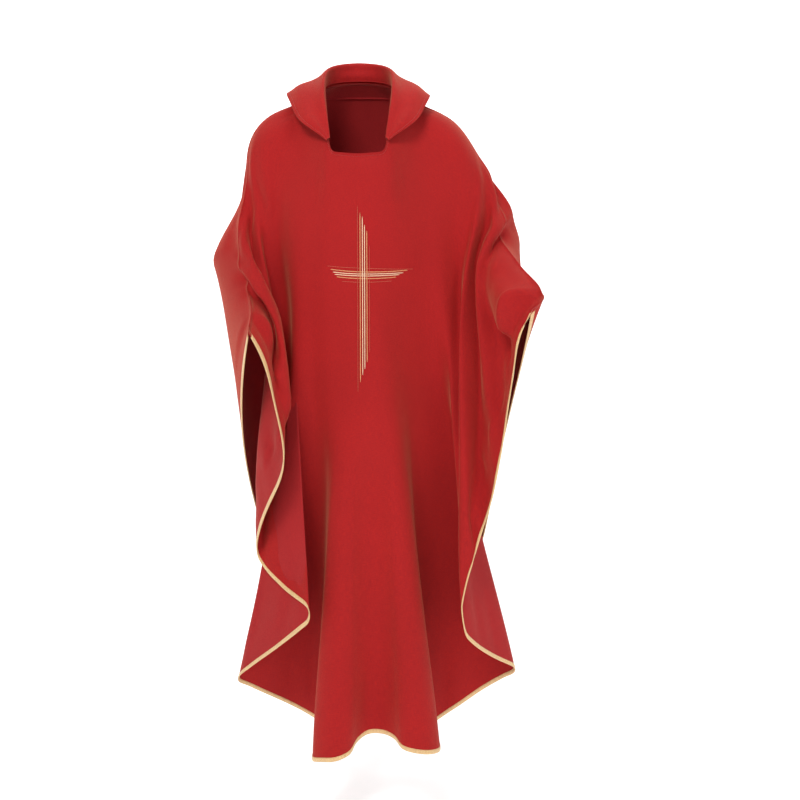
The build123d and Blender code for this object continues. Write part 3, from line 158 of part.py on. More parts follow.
    [(33, 64, 32.4), (56.5, 101.9, -40.4), (69.8, 116.8, -125.2), (82, 119.7, -211.3), (91.4, 120.2, -297.9), (99.5, 120.4, -384.9), (105.4, 121, -472.1), (104.4, 122.4, -560), (101.5, 124, -648.3), (99.4, 125.2, -736.4), (95.2, 126.4, -824.7), (89.7, 127.9, -912.9), (82.5, 128.7, -1001.2), (76.3, 128.8, -1089.3), (77.6, 128.8, -1177.2)],
    [(35.5, 62.6, 32.1), (60.9, 99.6, -39.1), (75.1, 114.4, -122.4), (87.8, 118.9, -207.1), (97.7, 120.2, -292.3), (106.3, 122.1, -378), (112.1, 125, -463.8), (111.4, 128.6, -550.2), (108.1, 132.1, -636.9), (106.2, 134.1, -723.3), (102.1, 136.3, -809.9), (96.2, 139, -896.6), (89.8, 141.3, -983.2), (85, 143.3, -1069.8), (88.9, 142.2, -1155.8)],
    [(37.9, 61.2, 31.8), (65.1, 97.1, -37.6), (80.3, 111.9, -119.3), (93.3, 117.3, -202.6), (103.5, 119.5, -286.3), (112.5, 122.7, -370.5), (118.8, 127.1, -454.9), (120.3, 132.3, -539.7), (119.5, 136.9, -624.6), (119.3, 138.8, -709.4), (117.4, 141.6, -794.4), (114.2, 145.3, -879.4), (110.9, 149, -964.3), (108.7, 152.3, -1049.2), (111.3, 150.5, -1133.2)],
    [(40.2, 59.6, 31.5), (69.1, 94.4, -36.1), (85.4, 109.2, -116.1), (98.6, 114.4, -197.8), (108.8, 118.1, -280), (118.1, 121.8, -362.5), (125.5, 126.7, -445.5), (130.2, 132.3, -528.6), (133.1, 137.2, -611.8), (135, 139.1, -694.9), (136, 142.2, -778.2), (136.5, 146.4, -861.5), (136.8, 151, -944.7), (137.1, 155.2, -1027.7), (137.4, 153.6, -1109.8)],
    [(42.4, 57.9, 31.2), (72.8, 91.6, -34.6), (90.3, 106.2, -112.6), (103.6, 110.9, -192.6), (113.8, 114.5, -273.2), (123.3, 119.6, -354.2), (131.9, 124, -435.6), (139.8, 129.2, -517.1), (146.4, 133.8, -598.5), (150.4, 135.7, -679.9), (154.4, 138.8, -761.5), (158.4, 143.3, -843.1), (162, 148.2, -924.7), (164.7, 152.9, -1005.8), (163, 151.9, -1085.4)],
    [(44.6, 56.2, 30.8), (76.3, 88.5, -33), (95, 103, -108.9), (108.7, 107.1, -187.2), (118.7, 109.8, -266.1), (128.4, 115, -345.4), (137.9, 120, -425.2), (148.3, 123.9, -505.1), (157.8, 127.6, -584.8), (163.9, 129.4, -664.4), (170.4, 132.6, -744.2), (177.3, 136.9, -824.2), (183.8, 141.8, -904.1), (188.4, 146.4, -983.2), (186.1, 146.3, -1059.7)],
    [(46.7, 54.3, 30.5), (79.6, 85.4, -31.3), (99.7, 99.6, -105.1), (113.7, 103.2, -181.4), (123.9, 104.9, -258.6), (133.7, 108.4, -336.1), (143.9, 112.3, -414.4), (155.5, 117.3, -492.6), (166.7, 119.4, -570.8), (175.2, 121.5, -648.3), (184, 125, -726.1), (193.1, 128.9, -804.4), (201.6, 133.2, -882.5), (207.7, 137.2, -959.4), (205.6, 137.7, -1032.4)],
    [(48.7, 52.4, 30.1), (82.7, 82, -29.7), (104.3, 96.1, -101), (119, 99.2, -175.4), (129.6, 100.1, -250.6), (139.7, 101.9, -326.4), (150.2, 103.5, -402.9), (161.8, 105.5, -480), (173.8, 108.8, -556.4), (185.2, 113.4, -631.1), (196, 117.1, -706.8), (206.5, 120.4, -783.2), (216.2, 123.5, -859.4), (223, 126.4, -933.9), (221.7, 127, -1003.2)],
    [(50.6, 50.3, 29.7), (85.6, 78.6, -27.9), (108.8, 92.4, -96.8), (124.4, 95.4, -169.1), (135.8, 95.7, -242.3), (146.6, 96.3, -316.1), (157.4, 96.4, -390.7), (168.5, 96.7, -466), (181, 99.8, -540.4), (195.1, 106.2, -612.6), (207.4, 109.8, -686.2), (218.7, 112, -760.5), (228.8, 113.5, -834.5), (235.6, 114.7, -906.3), (234.6, 114.7, -971.9)],
    [(52.4, 48.2, 29.3), (88.4, 75, -26.1), (113.2, 88.7, -92.4), (130, 91.8, -162.4), (142.7, 91.8, -233.5), (154.5, 91.7, -305.1), (166.2, 91.3, -377.4), (177.7, 91.5, -450), (190.6, 94.7, -522.1), (206, 100.7, -592.6), (219.2, 103.3, -663.9), (230.7, 103.8, -735.9), (240.4, 103, -807.3), (246.2, 102.1, -876.1), (244.8, 101.3, -938.3)],
    [(54.1, 46, 28.9), (91, 71.3, -24.3), (117.6, 84.8, -87.8), (135.8, 88.3, -155.5), (150.1, 88.4, -224.2), (163.5, 88.2, -293.6), (176.6, 88, -363.4), (189.1, 89, -433.2), (202.7, 92.7, -502.6), (218.4, 96.8, -571.1), (231.6, 97.3, -640.2), (242.8, 95.3, -709.6), (251.4, 91.6, -778.2), (255.4, 88.6, -843.7), (252.8, 87, -902.5)],
    [(55.7, 43.7, 28.4), (93.5, 67.5, -22.4), (121.8, 80.8, -83), (141.6, 84.9, -148.2), (157.8, 85.3, -214.6), (173.1, 85.5, -281.4), (188.2, 86.4, -348.6), (202.2, 88.6, -415.7), (216.9, 92.6, -482.4), (232, 93.4, -548.7), (244.6, 90.7, -615.3), (254.8, 85.5, -682), (261.7, 78.7, -747.5), (263.5, 73.7, -809.4), (259.3, 71.9, -864.8)],
    [(57.2, 41.4, 28), (95.8, 63.5, -20.5), (125.8, 76.8, -78.1), (147.5, 81.6, -140.6), (165.6, 82.6, -204.5), (183.2, 83.6, -268.7), (200.4, 85.9, -333.1), (216.5, 89.6, -397.7), (232.2, 92.8, -461.8), (246.1, 89.4, -525.7), (257.4, 82.8, -589.7), (266.2, 73.8, -653.6), (271.2, 63.7, -715.9), (270.7, 57.2, -773.9), (265, 56, -825.6)],
    [(58.5, 38.9, 27.5), (97.9, 59.4, -18.6), (129.7, 72.6, -73.1), (153.3, 78.3, -132.8), (173.5, 80.1, -194.1), (193.3, 82.1, -255.5), (212.8, 86.1, -317), (230.9, 90.7, -379.1), (247.6, 91.7, -440.8), (259.8, 83.5, -502.2), (269.6, 72.8, -563.7), (276.7, 59.9, -624.7), (279.7, 46.9, -683.8), (277.2, 39.4, -737.8), (270.4, 39.3, -785.7)],
    [(59.8, 36.4, 27.1), (100, 55.1, -16.7), (133.3, 68.2, -68.1), (159.1, 74.9, -124.8), (181.3, 77.5, -183.4), (203.2, 80.7, -242), (224.8, 86, -300.6), (245, 90.6, -360.2), (262, 88.1, -419.6), (272.6, 75.4, -478.5), (280.7, 60.6, -537.3), (286, 44.2, -595.5), (287.2, 28.6, -651.3), (283.1, 20.5, -701.4), (275.8, 21.4, -745.4)],
    [(61, 33.8, 26.6), (101.8, 50.5, -14.9), (136.8, 63.6, -63.1), (164.8, 71.3, -116.6), (188.8, 74.7, -172.6), (212.7, 78.7, -228.3), (236.1, 84.8, -284), (258, 88.4, -341), (274.9, 81.7, -398.2), (284.1, 65.1, -454.7), (290.7, 46.8, -510.8), (294.3, 27.2, -566.1), (293.8, 9.5, -618.6), (288.8, 0.9, -665.1), (281.5, 2.5, -705.4)],
    [(62, 31.1, 26.1), (103.5, 45.7, -13.2), (140.2, 58.7, -58.1), (170.3, 67.3, -108.4), (196, 71.1, -161.8), (221.5, 75.5, -214.9), (246.4, 81.5, -267.8), (269.8, 83.6, -321.9), (286.3, 72.8, -376.8), (294.4, 53, -430.8), (299.6, 31.8, -484.1), (301.6, 9.6, -536.5), (299.7, -10, -585.8), (294.3, -19.3, -628.8), (287.5, -17.6, -665.7)],
    [(62.9, 28.4, 25.6), (105.1, 40.8, -11.6), (143.4, 53.6, -53.1), (175.6, 63.1, -100.1), (202.9, 67.1, -151.1), (229.8, 71.4, -201.6), (256, 76.6, -251.8), (280.8, 76.8, -303.2), (296.5, 62.2, -355.5), (303.4, 39.8, -406.9), (307.3, 16.2, -457.4), (308.1, -8, -506.8), (305.2, -29.3, -552.9), (299.8, -39.7, -592.7), (293.6, -38.9, -626.6)],
    [(63.8, 25.6, 25.1), (106.7, 36.1, -9.9), (146.6, 48.9, -47.9), (181.1, 59.3, -91.4), (210, 63.3, -139.9), (238.1, 66.9, -188), (265.3, 70.6, -235.8), (291.5, 68.4, -284.4), (305.9, 50.3, -334.4), (311, 25.8, -383.1), (313.8, 0.7, -430.8), (313.5, -25.2, -477.1), (310.3, -48.1, -520.1), (305.4, -60.2, -557), (299.7, -61.2, -588.1)],
    [(64.4, 22.6, 24.6), (108.1, 31, -8.3), (149.8, 43.9, -42.5), (186.3, 54.8, -82.5), (216.5, 57.7, -128.9), (245.4, 59.5, -175.1), (273, 60.3, -220.7), (300.2, 56.3, -266.5), (313.5, 37.1, -313.7), (316.5, 11.5, -359.7), (318.4, -14.7, -404.5), (318, -41.9, -447.8), (315.2, -66.4, -487.7), (311.3, -80.9, -521.6), (305.6, -84.6, -550.5)],
    [(65, 19.7, 24.1), (109.5, 25.5, -6.6), (152.8, 38, -36.9), (190.9, 48.5, -74), (221.8, 49, -118.8), (251, 48.3, -163.4), (277.9, 45.8, -207.3), (305.3, 40.2, -250.3), (317.4, 22.4, -293.9), (318.7, -2.9, -337.1), (320.8, -29.8, -378.9), (321.5, -58, -419), (320.2, -84.3, -455.6), (317.6, -102, -486.6), (311, -108.9, -513.7)],
    [(65.4, 16.6, 23.6), (110.5, 20, -5), (155.4, 31, -31.8), (194.6, 40.2, -66.6), (225.7, 38.4, -110.1), (254.5, 35.2, -153.1), (280.2, 29.1, -195.2), (305.7, 21.7, -236), (314.8, 6.8, -276), (316.7, -17.4, -315.9), (320.4, -44.7, -354.2), (323.8, -73.9, -390.9), (325.4, -102.2, -424.1), (324.4, -124, -452.1), (315.7, -134.2, -477.8)],
    [(65.7, 13.3, 23), (110.7, 13.8, -4.5), (156.6, 22.5, -28.7), (197.7, 30.8, -60.1), (228.5, 27.4, -102.6), (255.3, 21.9, -144.6), (282.1, 13.1, -183.2), (302.9, 3, -223.2), (305.3, -8.8, -260.7), (309.8, -31.5, -296.8), (316.8, -59.5, -330.8), (324.5, -90, -363.7), (330.6, -120.8, -393.2), (331.7, -147.5, -417.6), (319.6, -160.5, -442.8)],
    [(65.9, 10, 22.5), (112.5, 8.6, -1.4), (159.3, 14.1, -24.2), (200, 20.1, -56.1), (228.9, 14.7, -99.1), (251, 8.3, -142.4), (274.7, 1.8, -180.3), (295.9, -14.1, -215.3), (292.1, -23.6, -249.6), (297.8, -44.6, -280.2), (309.5, -74.3, -308.8), (323, -106.4, -337.5), (335.3, -140.4, -362.9), (339.1, -172.6, -383.2), (322.8, -187.5, -408.7)],
    [(66, 6, 22), (110.8, 6.9, -4.2), (159.4, 7, -22.6), (200.3, 6.5, -53.6), (229, -0.5, -96.1), (255.5, -7.1, -137.6), (265.6, -11.1, -181.3), (281.5, -28.1, -215.6), (278.4, -38.1, -244), (279.1, -56.1, -267.5), (296.8, -89.4, -289.1), (316.9, -123.5, -312.9), (338.1, -162.1, -332.9), (346.5, -198.8, -348.7), (325.4, -215, -375.2)],
]

COLLAR = [
    [(-55.5, -102, -62), (-54.59, -103.72, -62.63), (-53.74, -105.12, -64.38), (-54.13, -106.24, -63.57), (-55.77, -107.43, -64.82), (-57.45, -108.59, -65.95), (-58.03, -109, -68.23)],
    [(-58.91, -85.68, -43.41), (-57.12, -91.71, -41.88), (-59.97, -94.53, -39.19), (-66.84, -96.87, -42.95), (-74.48, -99.15, -41.19), (-82.04, -101.32, -41.73), (-88.48, -103.26, -46.51)],
    [(-61.56, -68.56, -25.42), (-60.61, -77.42, -20.38), (-66.01, -80.29, -15.75), (-77.59, -81.01, -21.3), (-90.25, -81.27, -18.65), (-102.53, -81.45, -20.54), (-112.87, -81.72, -28.45)],
    [(-63.75, -50.23, -8.61), (-63.58, -60.17, -0.18), (-69.74, -63.09, 6.59), (-83.62, -60.7, -0.06), (-98.7, -57.55, 2.84), (-113.29, -54.43, 0.21), (-125.84, -51.88, -8.97)],
    [(-65.72, -30.33, 6.35), (-65.66, -41.01, 17.86), (-73.03, -41.91, 24.67), (-88.51, -36.57, 18.09), (-104.99, -30.32, 21.13), (-120.83, -24.34, 16.9), (-135.08, -19.06, 7.42)],
    [(-67.05, -8.62, 18.56), (-65.73, -19.3, 33.09), (-74.57, -16.13, 37.28), (-90.71, -7.66, 31.06), (-107.76, 1.76, 32.39), (-123.32, 10.26, 24.87), (-137.56, 17.97, 13.97)],
    [(-66.39, 14.85, 26.95), (-64.23, 5.59, 43.97), (-72.04, 10.63, 48.7), (-86.39, 21.97, 40.52), (-101.72, 34.42, 36.57), (-114.04, 44.35, 24.32), (-125.15, 53.27, 10.06)],
    [(-60.79, 38.54, 32.02), (-59.27, 31.24, 51.19), (-64.88, 36.76, 59.02), (-76.09, 50.46, 48.22), (-87.38, 64.46, 37.97), (-95.31, 74.25, 21.55), (-102.32, 82.88, 4.01)],
    [(-45.85, 57.96, 35.49), (-46.09, 53.97, 56.16), (-50.19, 60.86, 65.85), (-57.86, 76.2, 53.41), (-64.64, 89.91, 38.9), (-69.02, 98.72, 20.18), (-72.82, 106.37, 0.8)],
    [(-24.4, 70.36, 37.48), (-25.46, 70.55, 58.45), (-27.82, 78.81, 70.1), (-31.68, 94.93, 56.48), (-34.52, 106.91, 39.04), (-36.23, 114.07, 18.89), (-37.66, 120.07, -1.68)],
    [(-0, 75, 38), (-0, 77.4, 58.8), (0, 86.3, 71.97), (0, 102.66, 57.8), (0, 113.2, 39), (0, 119.17, 18.15), (0, 124, -3)],
    [(24.4, 70.36, 37.48), (25.46, 70.55, 58.45), (27.82, 78.81, 70.1), (31.68, 94.93, 56.48), (34.52, 106.91, 39.04), (36.23, 114.07, 18.89), (37.66, 120.07, -1.68)],
    [(45.85, 57.96, 35.49), (46.09, 53.97, 56.16), (50.19, 60.86, 65.85), (57.86, 76.2, 53.41), (64.64, 89.91, 38.9), (69.02, 98.72, 20.18), (72.82, 106.37, 0.8)],
    [(60.79, 38.54, 32.02), (59.27, 31.24, 51.19), (64.88, 36.76, 59.02), (76.09, 50.46, 48.22), (87.38, 64.46, 37.97), (95.31, 74.25, 21.55), (102.32, 82.88, 4.01)],
    [(66.39, 14.85, 26.95), (64.23, 5.59, 43.97), (72.04, 10.63, 48.7), (86.39, 21.97, 40.52), (101.72, 34.42, 36.57), (114.04, 44.35, 24.32), (125.15, 53.27, 10.06)],
    [(67.05, -8.62, 18.56), (65.73, -19.3, 33.09), (74.57, -16.13, 37.28), (90.71, -7.66, 31.06), (107.76, 1.76, 32.39), (123.32, 10.26, 24.87), (137.56, 17.97, 13.97)],
    [(65.72, -30.33, 6.35), (65.66, -41.01, 17.86), (73.03, -41.91, 24.67), (88.51, -36.57, 18.09), (104.99, -30.32, 21.13), (120.83, -24.34, 16.9), (135.08, -19.06, 7.42)],
    [(63.75, -50.23, -8.61), (63.58, -60.17, -0.18), (69.74, -63.09, 6.59), (83.62, -60.7, -0.06), (98.7, -57.55, 2.84), (113.29, -54.43, 0.21), (125.84, -51.88, -8.97)],
    [(61.56, -68.56, -25.42), (60.61, -77.42, -20.38), (66.01, -80.29, -15.75), (77.59, -81.01, -21.3), (90.25, -81.27, -18.65), (102.53, -81.45, -20.54), (112.87, -81.72, -28.45)],
    [(58.91, -85.68, -43.41), (57.12, -91.71, -41.88), (59.97, -94.53, -39.19), (66.84, -96.87, -42.95), (74.48, -99.15, -41.19), (82.04, -101.32, -41.73), (88.48, -103.26, -46.51)],
    [(55.5, -102, -62), (54.59, -103.72, -62.63), (53.74, -105.12, -64.38), (54.13, -106.24, -63.57), (55.77, -107.43, -64.82), (57.45, -108.59, -65.95), (58.03, -109, -68.23)],
]
COLLAR_OUT = 1.0

# the twelve threads: (weight, [(point, outward normal) ...])
CROSS = {
    'cross_upright_fine_left': (0, [
        (-0.41, -134.88, -189.14, -0.058, -0.998, 0.002),
        (-0.43, -134.76, -218.48, -0.055, -0.998, 0.001),
        (-0.44, -134.91, -247.90, -0.053, -0.999, 0.007),
        (-0.45, -135.19, -277.39, -0.053, -0.999, 0.012),
        (-0.46, -135.62, -306.96, -0.055, -0.998, 0.020),
        (-0.46, -136.33, -336.59, -0.062, -0.998, 0.028),
        (-0.46, -137.30, -366.27, -0.074, -0.997, 0.035),
        (-0.45, -138.44, -396.01, -0.090, -0.995, 0.040),
        (-0.44, -139.68, -425.82, -0.108, -0.993, 0.043),
        (-0.43, -141.05, -455.69, -0.126, -0.991, 0.048),
        (-0.41, -142.54, -485.61, -0.143, -0.988, 0.050),
        (-0.39, -144.09, -515.60, -0.157, -0.986, 0.047),
        (-0.38, -145.42, -545.71, -0.160, -0.987, 0.033),
    ]),
    'cross_upright_gold_left': (1, [
        (4.30, -134.95, -202.30, -0.017, -1.000, -0.004),
        (4.29, -134.95, -229.00, -0.013, -1.000, 0.003),
        (4.28, -135.13, -255.76, -0.012, -1.000, 0.009),
        (4.28, -135.41, -282.59, -0.013, -1.000, 0.014),
        (4.28, -135.86, -309.47, -0.017, -1.000, 0.021),
        (4.29, -136.55, -336.40, -0.025, -0.999, 0.030),
        (4.30, -137.48, -363.37, -0.038, -0.999, 0.037),
        (4.31, -138.58, -390.39, -0.054, -0.998, 0.042),
        (4.33, -139.77, -417.46, -0.072, -0.996, 0.046),
        (4.35, -141.06, -444.57, -0.091, -0.995, 0.049),
        (4.37, -142.47, -471.73, -0.109, -0.993, 0.052),
        (4.40, -143.94, -498.95, -0.125, -0.991, 0.051),
        (4.42, -145.37, -526.23, -0.135, -0.990, 0.043),
    ]),
    'cross_upright_pale_left': (2, [
        (8.63, -134.92, -209.83, 0.025, -1.000, -0.002),
        (8.63, -134.96, -234.82, 0.028, -1.000, 0.004),
        (8.63, -135.14, -259.86, 0.029, -1.000, 0.009),
        (8.63, -135.42, -284.96, 0.027, -1.000, 0.015),
        (8.64, -135.87, -310.11, 0.021, -1.000, 0.023),
        (8.65, -136.55, -335.29, 0.012, -0.999, 0.032),
        (8.67, -137.46, -360.50, 0.000, -0.999, 0.039),
        (8.69, -138.55, -385.75, -0.014, -0.999, 0.045),
        (8.71, -139.73, -411.05, -0.031, -0.998, 0.048),
        (8.74, -140.98, -436.38, -0.049, -0.997, 0.052),
        (8.76, -142.35, -461.76, -0.067, -0.996, 0.055),
        (8.79, -143.77, -487.17, -0.084, -0.995, 0.056),
        (8.82, -145.22, -512.64, -0.098, -0.994, 0.051),
    ]),
    'cross_upright_pale_right': (2, [
        (12.59, -134.73, -224.93, 0.065, -0.998, 0.001),
        (12.59, -134.85, -247.75, 0.068, -0.998, 0.007),
        (12.60, -135.06, -270.61, 0.067, -0.998, 0.012),
        (12.61, -135.38, -293.51, 0.064, -0.998, 0.018),
        (12.62, -135.87, -316.46, 0.060, -0.998, 0.026),
        (12.64, -136.57, -339.43, 0.051, -0.998, 0.035),
        (12.66, -137.48, -362.42, 0.039, -0.998, 0.042),
        (12.68, -138.54, -385.44, 0.024, -0.999, 0.047),
        (12.71, -139.67, -408.49, 0.008, -0.999, 0.051),
        (12.74, -140.88, -431.58, -0.011, -0.998, 0.054),
        (12.77, -142.18, -454.69, -0.030, -0.998, 0.057),
        (12.80, -143.52, -477.85, -0.046, -0.997, 0.058),
        (12.83, -144.90, -501.04, -0.060, -0.997, 0.055),
    ]),
    'cross_upright_gold_right': (1, [
        (16.93, -134.38, -236.29, 0.107, -0.994, 0.004),
        (16.94, -134.52, -257.08, 0.111, -0.994, 0.009),
        (16.95, -134.75, -277.91, 0.111, -0.994, 0.014),
        (16.96, -135.10, -298.78, 0.108, -0.994, 0.021),
        (16.98, -135.60, -319.67, 0.104, -0.994, 0.029),
        (17.00, -136.30, -340.58, 0.097, -0.995, 0.037),
        (17.03, -137.17, -361.50, 0.086, -0.995, 0.044),
        (17.05, -138.18, -382.45, 0.074, -0.996, 0.050),
        (17.08, -139.28, -403.42, 0.060, -0.997, 0.054),
        (17.11, -140.43, -424.42, 0.044, -0.997, 0.057),
        (17.14, -141.66, -445.44, 0.026, -0.998, 0.060),
        (17.17, -142.95, -466.49, 0.008, -0.998, 0.062),
        (17.21, -144.27, -487.57, -0.009, -0.998, 0.062),
    ]),
    'cross_upright_fine_right': (0, [
        (21.66, -133.95, -264.72, 0.153, -0.988, 0.010),
        (21.67, -134.15, -281.62, 0.156, -0.988, 0.015),
        (21.69, -134.44, -298.54, 0.157, -0.987, 0.021),
        (21.71, -134.85, -315.47, 0.157, -0.987, 0.028),
        (21.73, -135.39, -332.41, 0.153, -0.988, 0.035),
        (21.75, -136.07, -349.37, 0.147, -0.988, 0.042),
        (21.77, -136.86, -366.33, 0.140, -0.989, 0.048),
        (21.80, -137.75, -383.31, 0.130, -0.990, 0.053),
        (21.83, -138.70, -400.30, 0.119, -0.991, 0.057),
        (21.86, -139.68, -417.31, 0.105, -0.993, 0.060),
        (21.89, -140.72, -434.33, 0.090, -0.994, 0.063),
        (21.92, -141.83, -451.37, 0.074, -0.995, 0.065),
        (21.95, -142.95, -468.43, 0.060, -0.996, 0.066),
    ]),
    'cross_beam_fine_top': (0, [
        (-59.28, -126.48, -304.38, -0.260, -0.965, 0.018),
        (-42.72, -129.90, -305.70, -0.172, -0.985, 0.017),
        (-26.20, -132.56, -306.59, -0.150, -0.989, 0.017),
        (-9.71, -134.82, -307.15, -0.107, -0.994, 0.018),
        (6.72, -135.84, -307.67, 0.004, -1.000, 0.022),
        (23.11, -134.43, -308.43, 0.171, -0.985, 0.025),
        (39.48, -130.16, -309.50, 0.318, -0.948, 0.017),
        (55.88, -123.86, -310.70, 0.381, -0.924, -0.009),
        (72.34, -116.78, -311.82, 0.409, -0.912, -0.033),
        (88.87, -108.80, -312.78, 0.451, -0.892, -0.038),
        (105.48, -99.99, -313.52, 0.463, -0.885, -0.033),
    ]),
    'cross_beam_gold_top': (1, [
        (-52.43, -128.17, -310.66, -0.208, -0.978, 0.017),
        (-37.68, -130.86, -312.26, -0.162, -0.987, 0.018),
        (-22.96, -133.17, -313.44, -0.145, -0.989, 0.018),
        (-8.26, -135.11, -314.23, -0.101, -0.995, 0.020),
        (6.39, -135.99, -314.74, -0.000, -1.000, 0.024),
        (21.01, -134.95, -315.10, 0.150, -0.988, 0.028),
        (35.61, -131.55, -315.41, 0.293, -0.956, 0.023),
        (50.22, -126.18, -315.62, 0.376, -0.927, 0.004),
        (64.87, -119.95, -315.65, 0.399, -0.916, -0.023),
        (79.58, -113.28, -315.46, 0.427, -0.903, -0.037),
        (94.34, -105.86, -315.11, 0.461, -0.887, -0.038),
    ]),
    'cross_beam_pale_upper': (2, [
        (-48.25, -129.09, -315.70, -0.190, -0.982, 0.017),
        (-34.71, -131.42, -317.08, -0.159, -0.987, 0.018),
        (-21.19, -133.52, -317.98, -0.143, -0.990, 0.019),
        (-7.69, -135.26, -318.50, -0.100, -0.995, 0.021),
        (5.77, -136.09, -318.78, -0.007, -1.000, 0.025),
        (19.20, -135.32, -318.97, 0.129, -0.991, 0.029),
        (32.61, -132.54, -319.18, 0.268, -0.963, 0.027),
        (46.03, -127.91, -319.41, 0.366, -0.930, 0.014),
        (59.47, -122.24, -319.59, 0.400, -0.916, -0.011),
        (72.96, -116.20, -319.65, 0.416, -0.909, -0.033),
        (86.50, -109.71, -319.63, 0.446, -0.894, -0.040),
    ]),
    'cross_beam_pale_lower': (2, [
        (-44.84, -129.79, -320.20, -0.178, -0.984, 0.018),
        (-32.40, -131.87, -321.04, -0.157, -0.987, 0.019),
        (-19.99, -133.77, -321.72, -0.141, -0.990, 0.020),
        (-7.60, -135.35, -322.22, -0.100, -0.995, 0.022),
        (4.77, -136.17, -322.55, -0.016, -1.000, 0.026),
        (17.11, -135.68, -322.73, 0.104, -0.994, 0.030),
        (29.43, -133.50, -322.82, 0.238, -0.971, 0.031),
        (41.74, -129.63, -322.88, 0.345, -0.938, 0.022),
        (54.08, -124.57, -322.92, 0.398, -0.918, 0.001),
        (66.45, -119.06, -322.89, 0.411, -0.911, -0.023),
        (78.85, -113.32, -322.83, 0.431, -0.902, -0.038),
    ]),
    'cross_beam_gold_bottom': (1, [
        (-40.85, -130.56, -324.69, -0.168, -0.986, 0.018),
        (-29.41, -132.43, -325.82, -0.155, -0.988, 0.019),
        (-17.99, -134.16, -326.63, -0.136, -0.990, 0.021),
        (-6.59, -135.57, -327.16, -0.097, -0.995, 0.024),
        (4.79, -136.30, -327.49, -0.018, -0.999, 0.027),
        (16.15, -135.93, -327.66, 0.092, -0.995, 0.032),
        (27.49, -134.12, -327.75, 0.218, -0.975, 0.034),
        (38.82, -130.82, -327.78, 0.326, -0.945, 0.028),
        (50.16, -126.31, -327.72, 0.395, -0.919, 0.012),
        (61.53, -121.21, -327.50, 0.415, -0.910, -0.011),
        (72.94, -115.94, -327.11, 0.424, -0.905, -0.031),
    ]),
    'cross_beam_fine_bottom': (0, [
        (-30.58, -132.40, -333.44, -0.157, -0.987, 0.020),
        (-21.10, -133.87, -333.85, -0.145, -0.989, 0.022),
        (-11.63, -135.18, -334.20, -0.119, -0.993, 0.024),
        (-2.17, -136.15, -334.46, -0.071, -0.997, 0.027),
        (7.27, -136.54, -334.61, 0.000, -1.000, 0.031),
        (16.70, -136.11, -334.63, 0.095, -0.995, 0.035),
        (26.11, -134.67, -334.56, 0.202, -0.979, 0.037),
        (35.51, -132.16, -334.46, 0.304, -0.952, 0.035),
        (44.92, -128.68, -334.37, 0.377, -0.926, 0.025),
        (54.35, -124.51, -334.30, 0.418, -0.909, 0.008),
        (63.79, -120.07, -334.26, 0.428, -0.903, -0.013),
    ]),
}


# ---- small vector helpers ----------------------------------------------
def sub(a, b):
    return (a[0] - b[0], a[1] - b[1], a[2] - b[2])


def mad(a, b, k):
    return (a[0] + b[0] * k, a[1] + b[1] * k, a[2] + b[2] * k)


def cross(a, b):
    return (a[1] * b[2] - a[2] * b[1], a[2] * b[0] - a[0] * b[2], a[0] * b[1] - a[1] * b[0])


def norm(a):
    return math.sqrt(a[0] ** 2 + a[1] ** 2 + a[2] ** 2)


def unit(a):
    n = norm(a) or 1.0
    return (a[0] / n, a[1] / n, a[2] / n)


def chord(col):
    s = [0.0]
    for a, b in zip(col, col[1:]):
        s.append(s[-1] + norm(sub(a, b)))
    return s


def along(col, s, x):
    """Point at distance x down one column (cubic through the samples)."""
    n = len(col)
    k = 0
    while k < n - 2 and s[k + 1] < x:
        k += 1
    p0, p1, p2, p3 = col[max(k - 1, 0)], col[k], col[k + 1], col[min(k + 2, n - 1)]
    h = s[k + 1] - s[k] or 1.0
    t = (x - s[k]) / h
    d1 = (s[k + 1] - s[max(k - 1, 0)]) / h or 1.0
    d2 = (s[min(k + 2, n - 1)] - s[k]) / h or 1.0
    out = []
    for c in range(3):
        m1 = (p2[c] - p0[c]) / d1
        m2 = (p3[c] - p1[c]) / d2
        out.append((2 * t ** 3 - 3 * t ** 2 + 1) * p1[c] + (t ** 3 - 2 * t ** 2 + t) * m1
                   + (-2 * t ** 3 + 3 * t ** 2) * p2[c] + (t ** 3 - t ** 2) * m2)
    return tuple(out)


def normals(g, flip=1.0):
    n, m = len(g), len(g[0])
    out = []
    for i in range(n):
        row = []
        for j in range(m):
            du = sub(g[min(i + 1, n - 1)][j], g[max(i - 1, 0)][j])
            dv = sub(g[i][min(j + 1, m - 1)], g[i][max(j - 1, 0)])
            c = cross(du, dv)
            row.append(unit((c[0] * flip, c[1] * flip, c[2] * flip)))
        out.append(row)
    return out


def layer(grid, lo, hi, flip=1.0):
    """Closed solid between the offsets lo and hi of a grid of points.

    Every row of the grid is one smooth curve on each face of the layer and
    the faces run straight from one row to the next.
    """
    nn = normals(grid, flip)
    n, m = len(grid), len(grid[0])
    par = [i / (n - 1) for i in range(n)]
    curves, ends = [], []
    for off in (lo, hi):
        pts = [[mad(grid[i][j], nn[i][j], off) for i in range(n)] for j in range(m)]
        curves.append([Edge.make_spline([Vector(*p) for p in row], parameters=par) for row in pts])
        ends.append(pts)
    ruled = Face.make_surface_from_curves
    faces = [ruled(curves[0][0], curves[1][0]), ruled(curves[0][-1], curves[1][-1])]
    for j in range(m - 1):
        faces.append(ruled(curves[0][j], curves[0][j + 1]))
        faces.append(ruled(curves[1][j], curves[1][j + 1]))
        for k in (0, -1):
            a = Edge.make_line(Vector(*ends[0][j][k]), Vector(*ends[0][j + 1][k]))
            b = Edge.make_line(Vector(*ends[1][j][k]), Vector(*ends[1][j + 1][k]))
            faces.append(ruled(a, b))
    return Solid(Shell(faces))


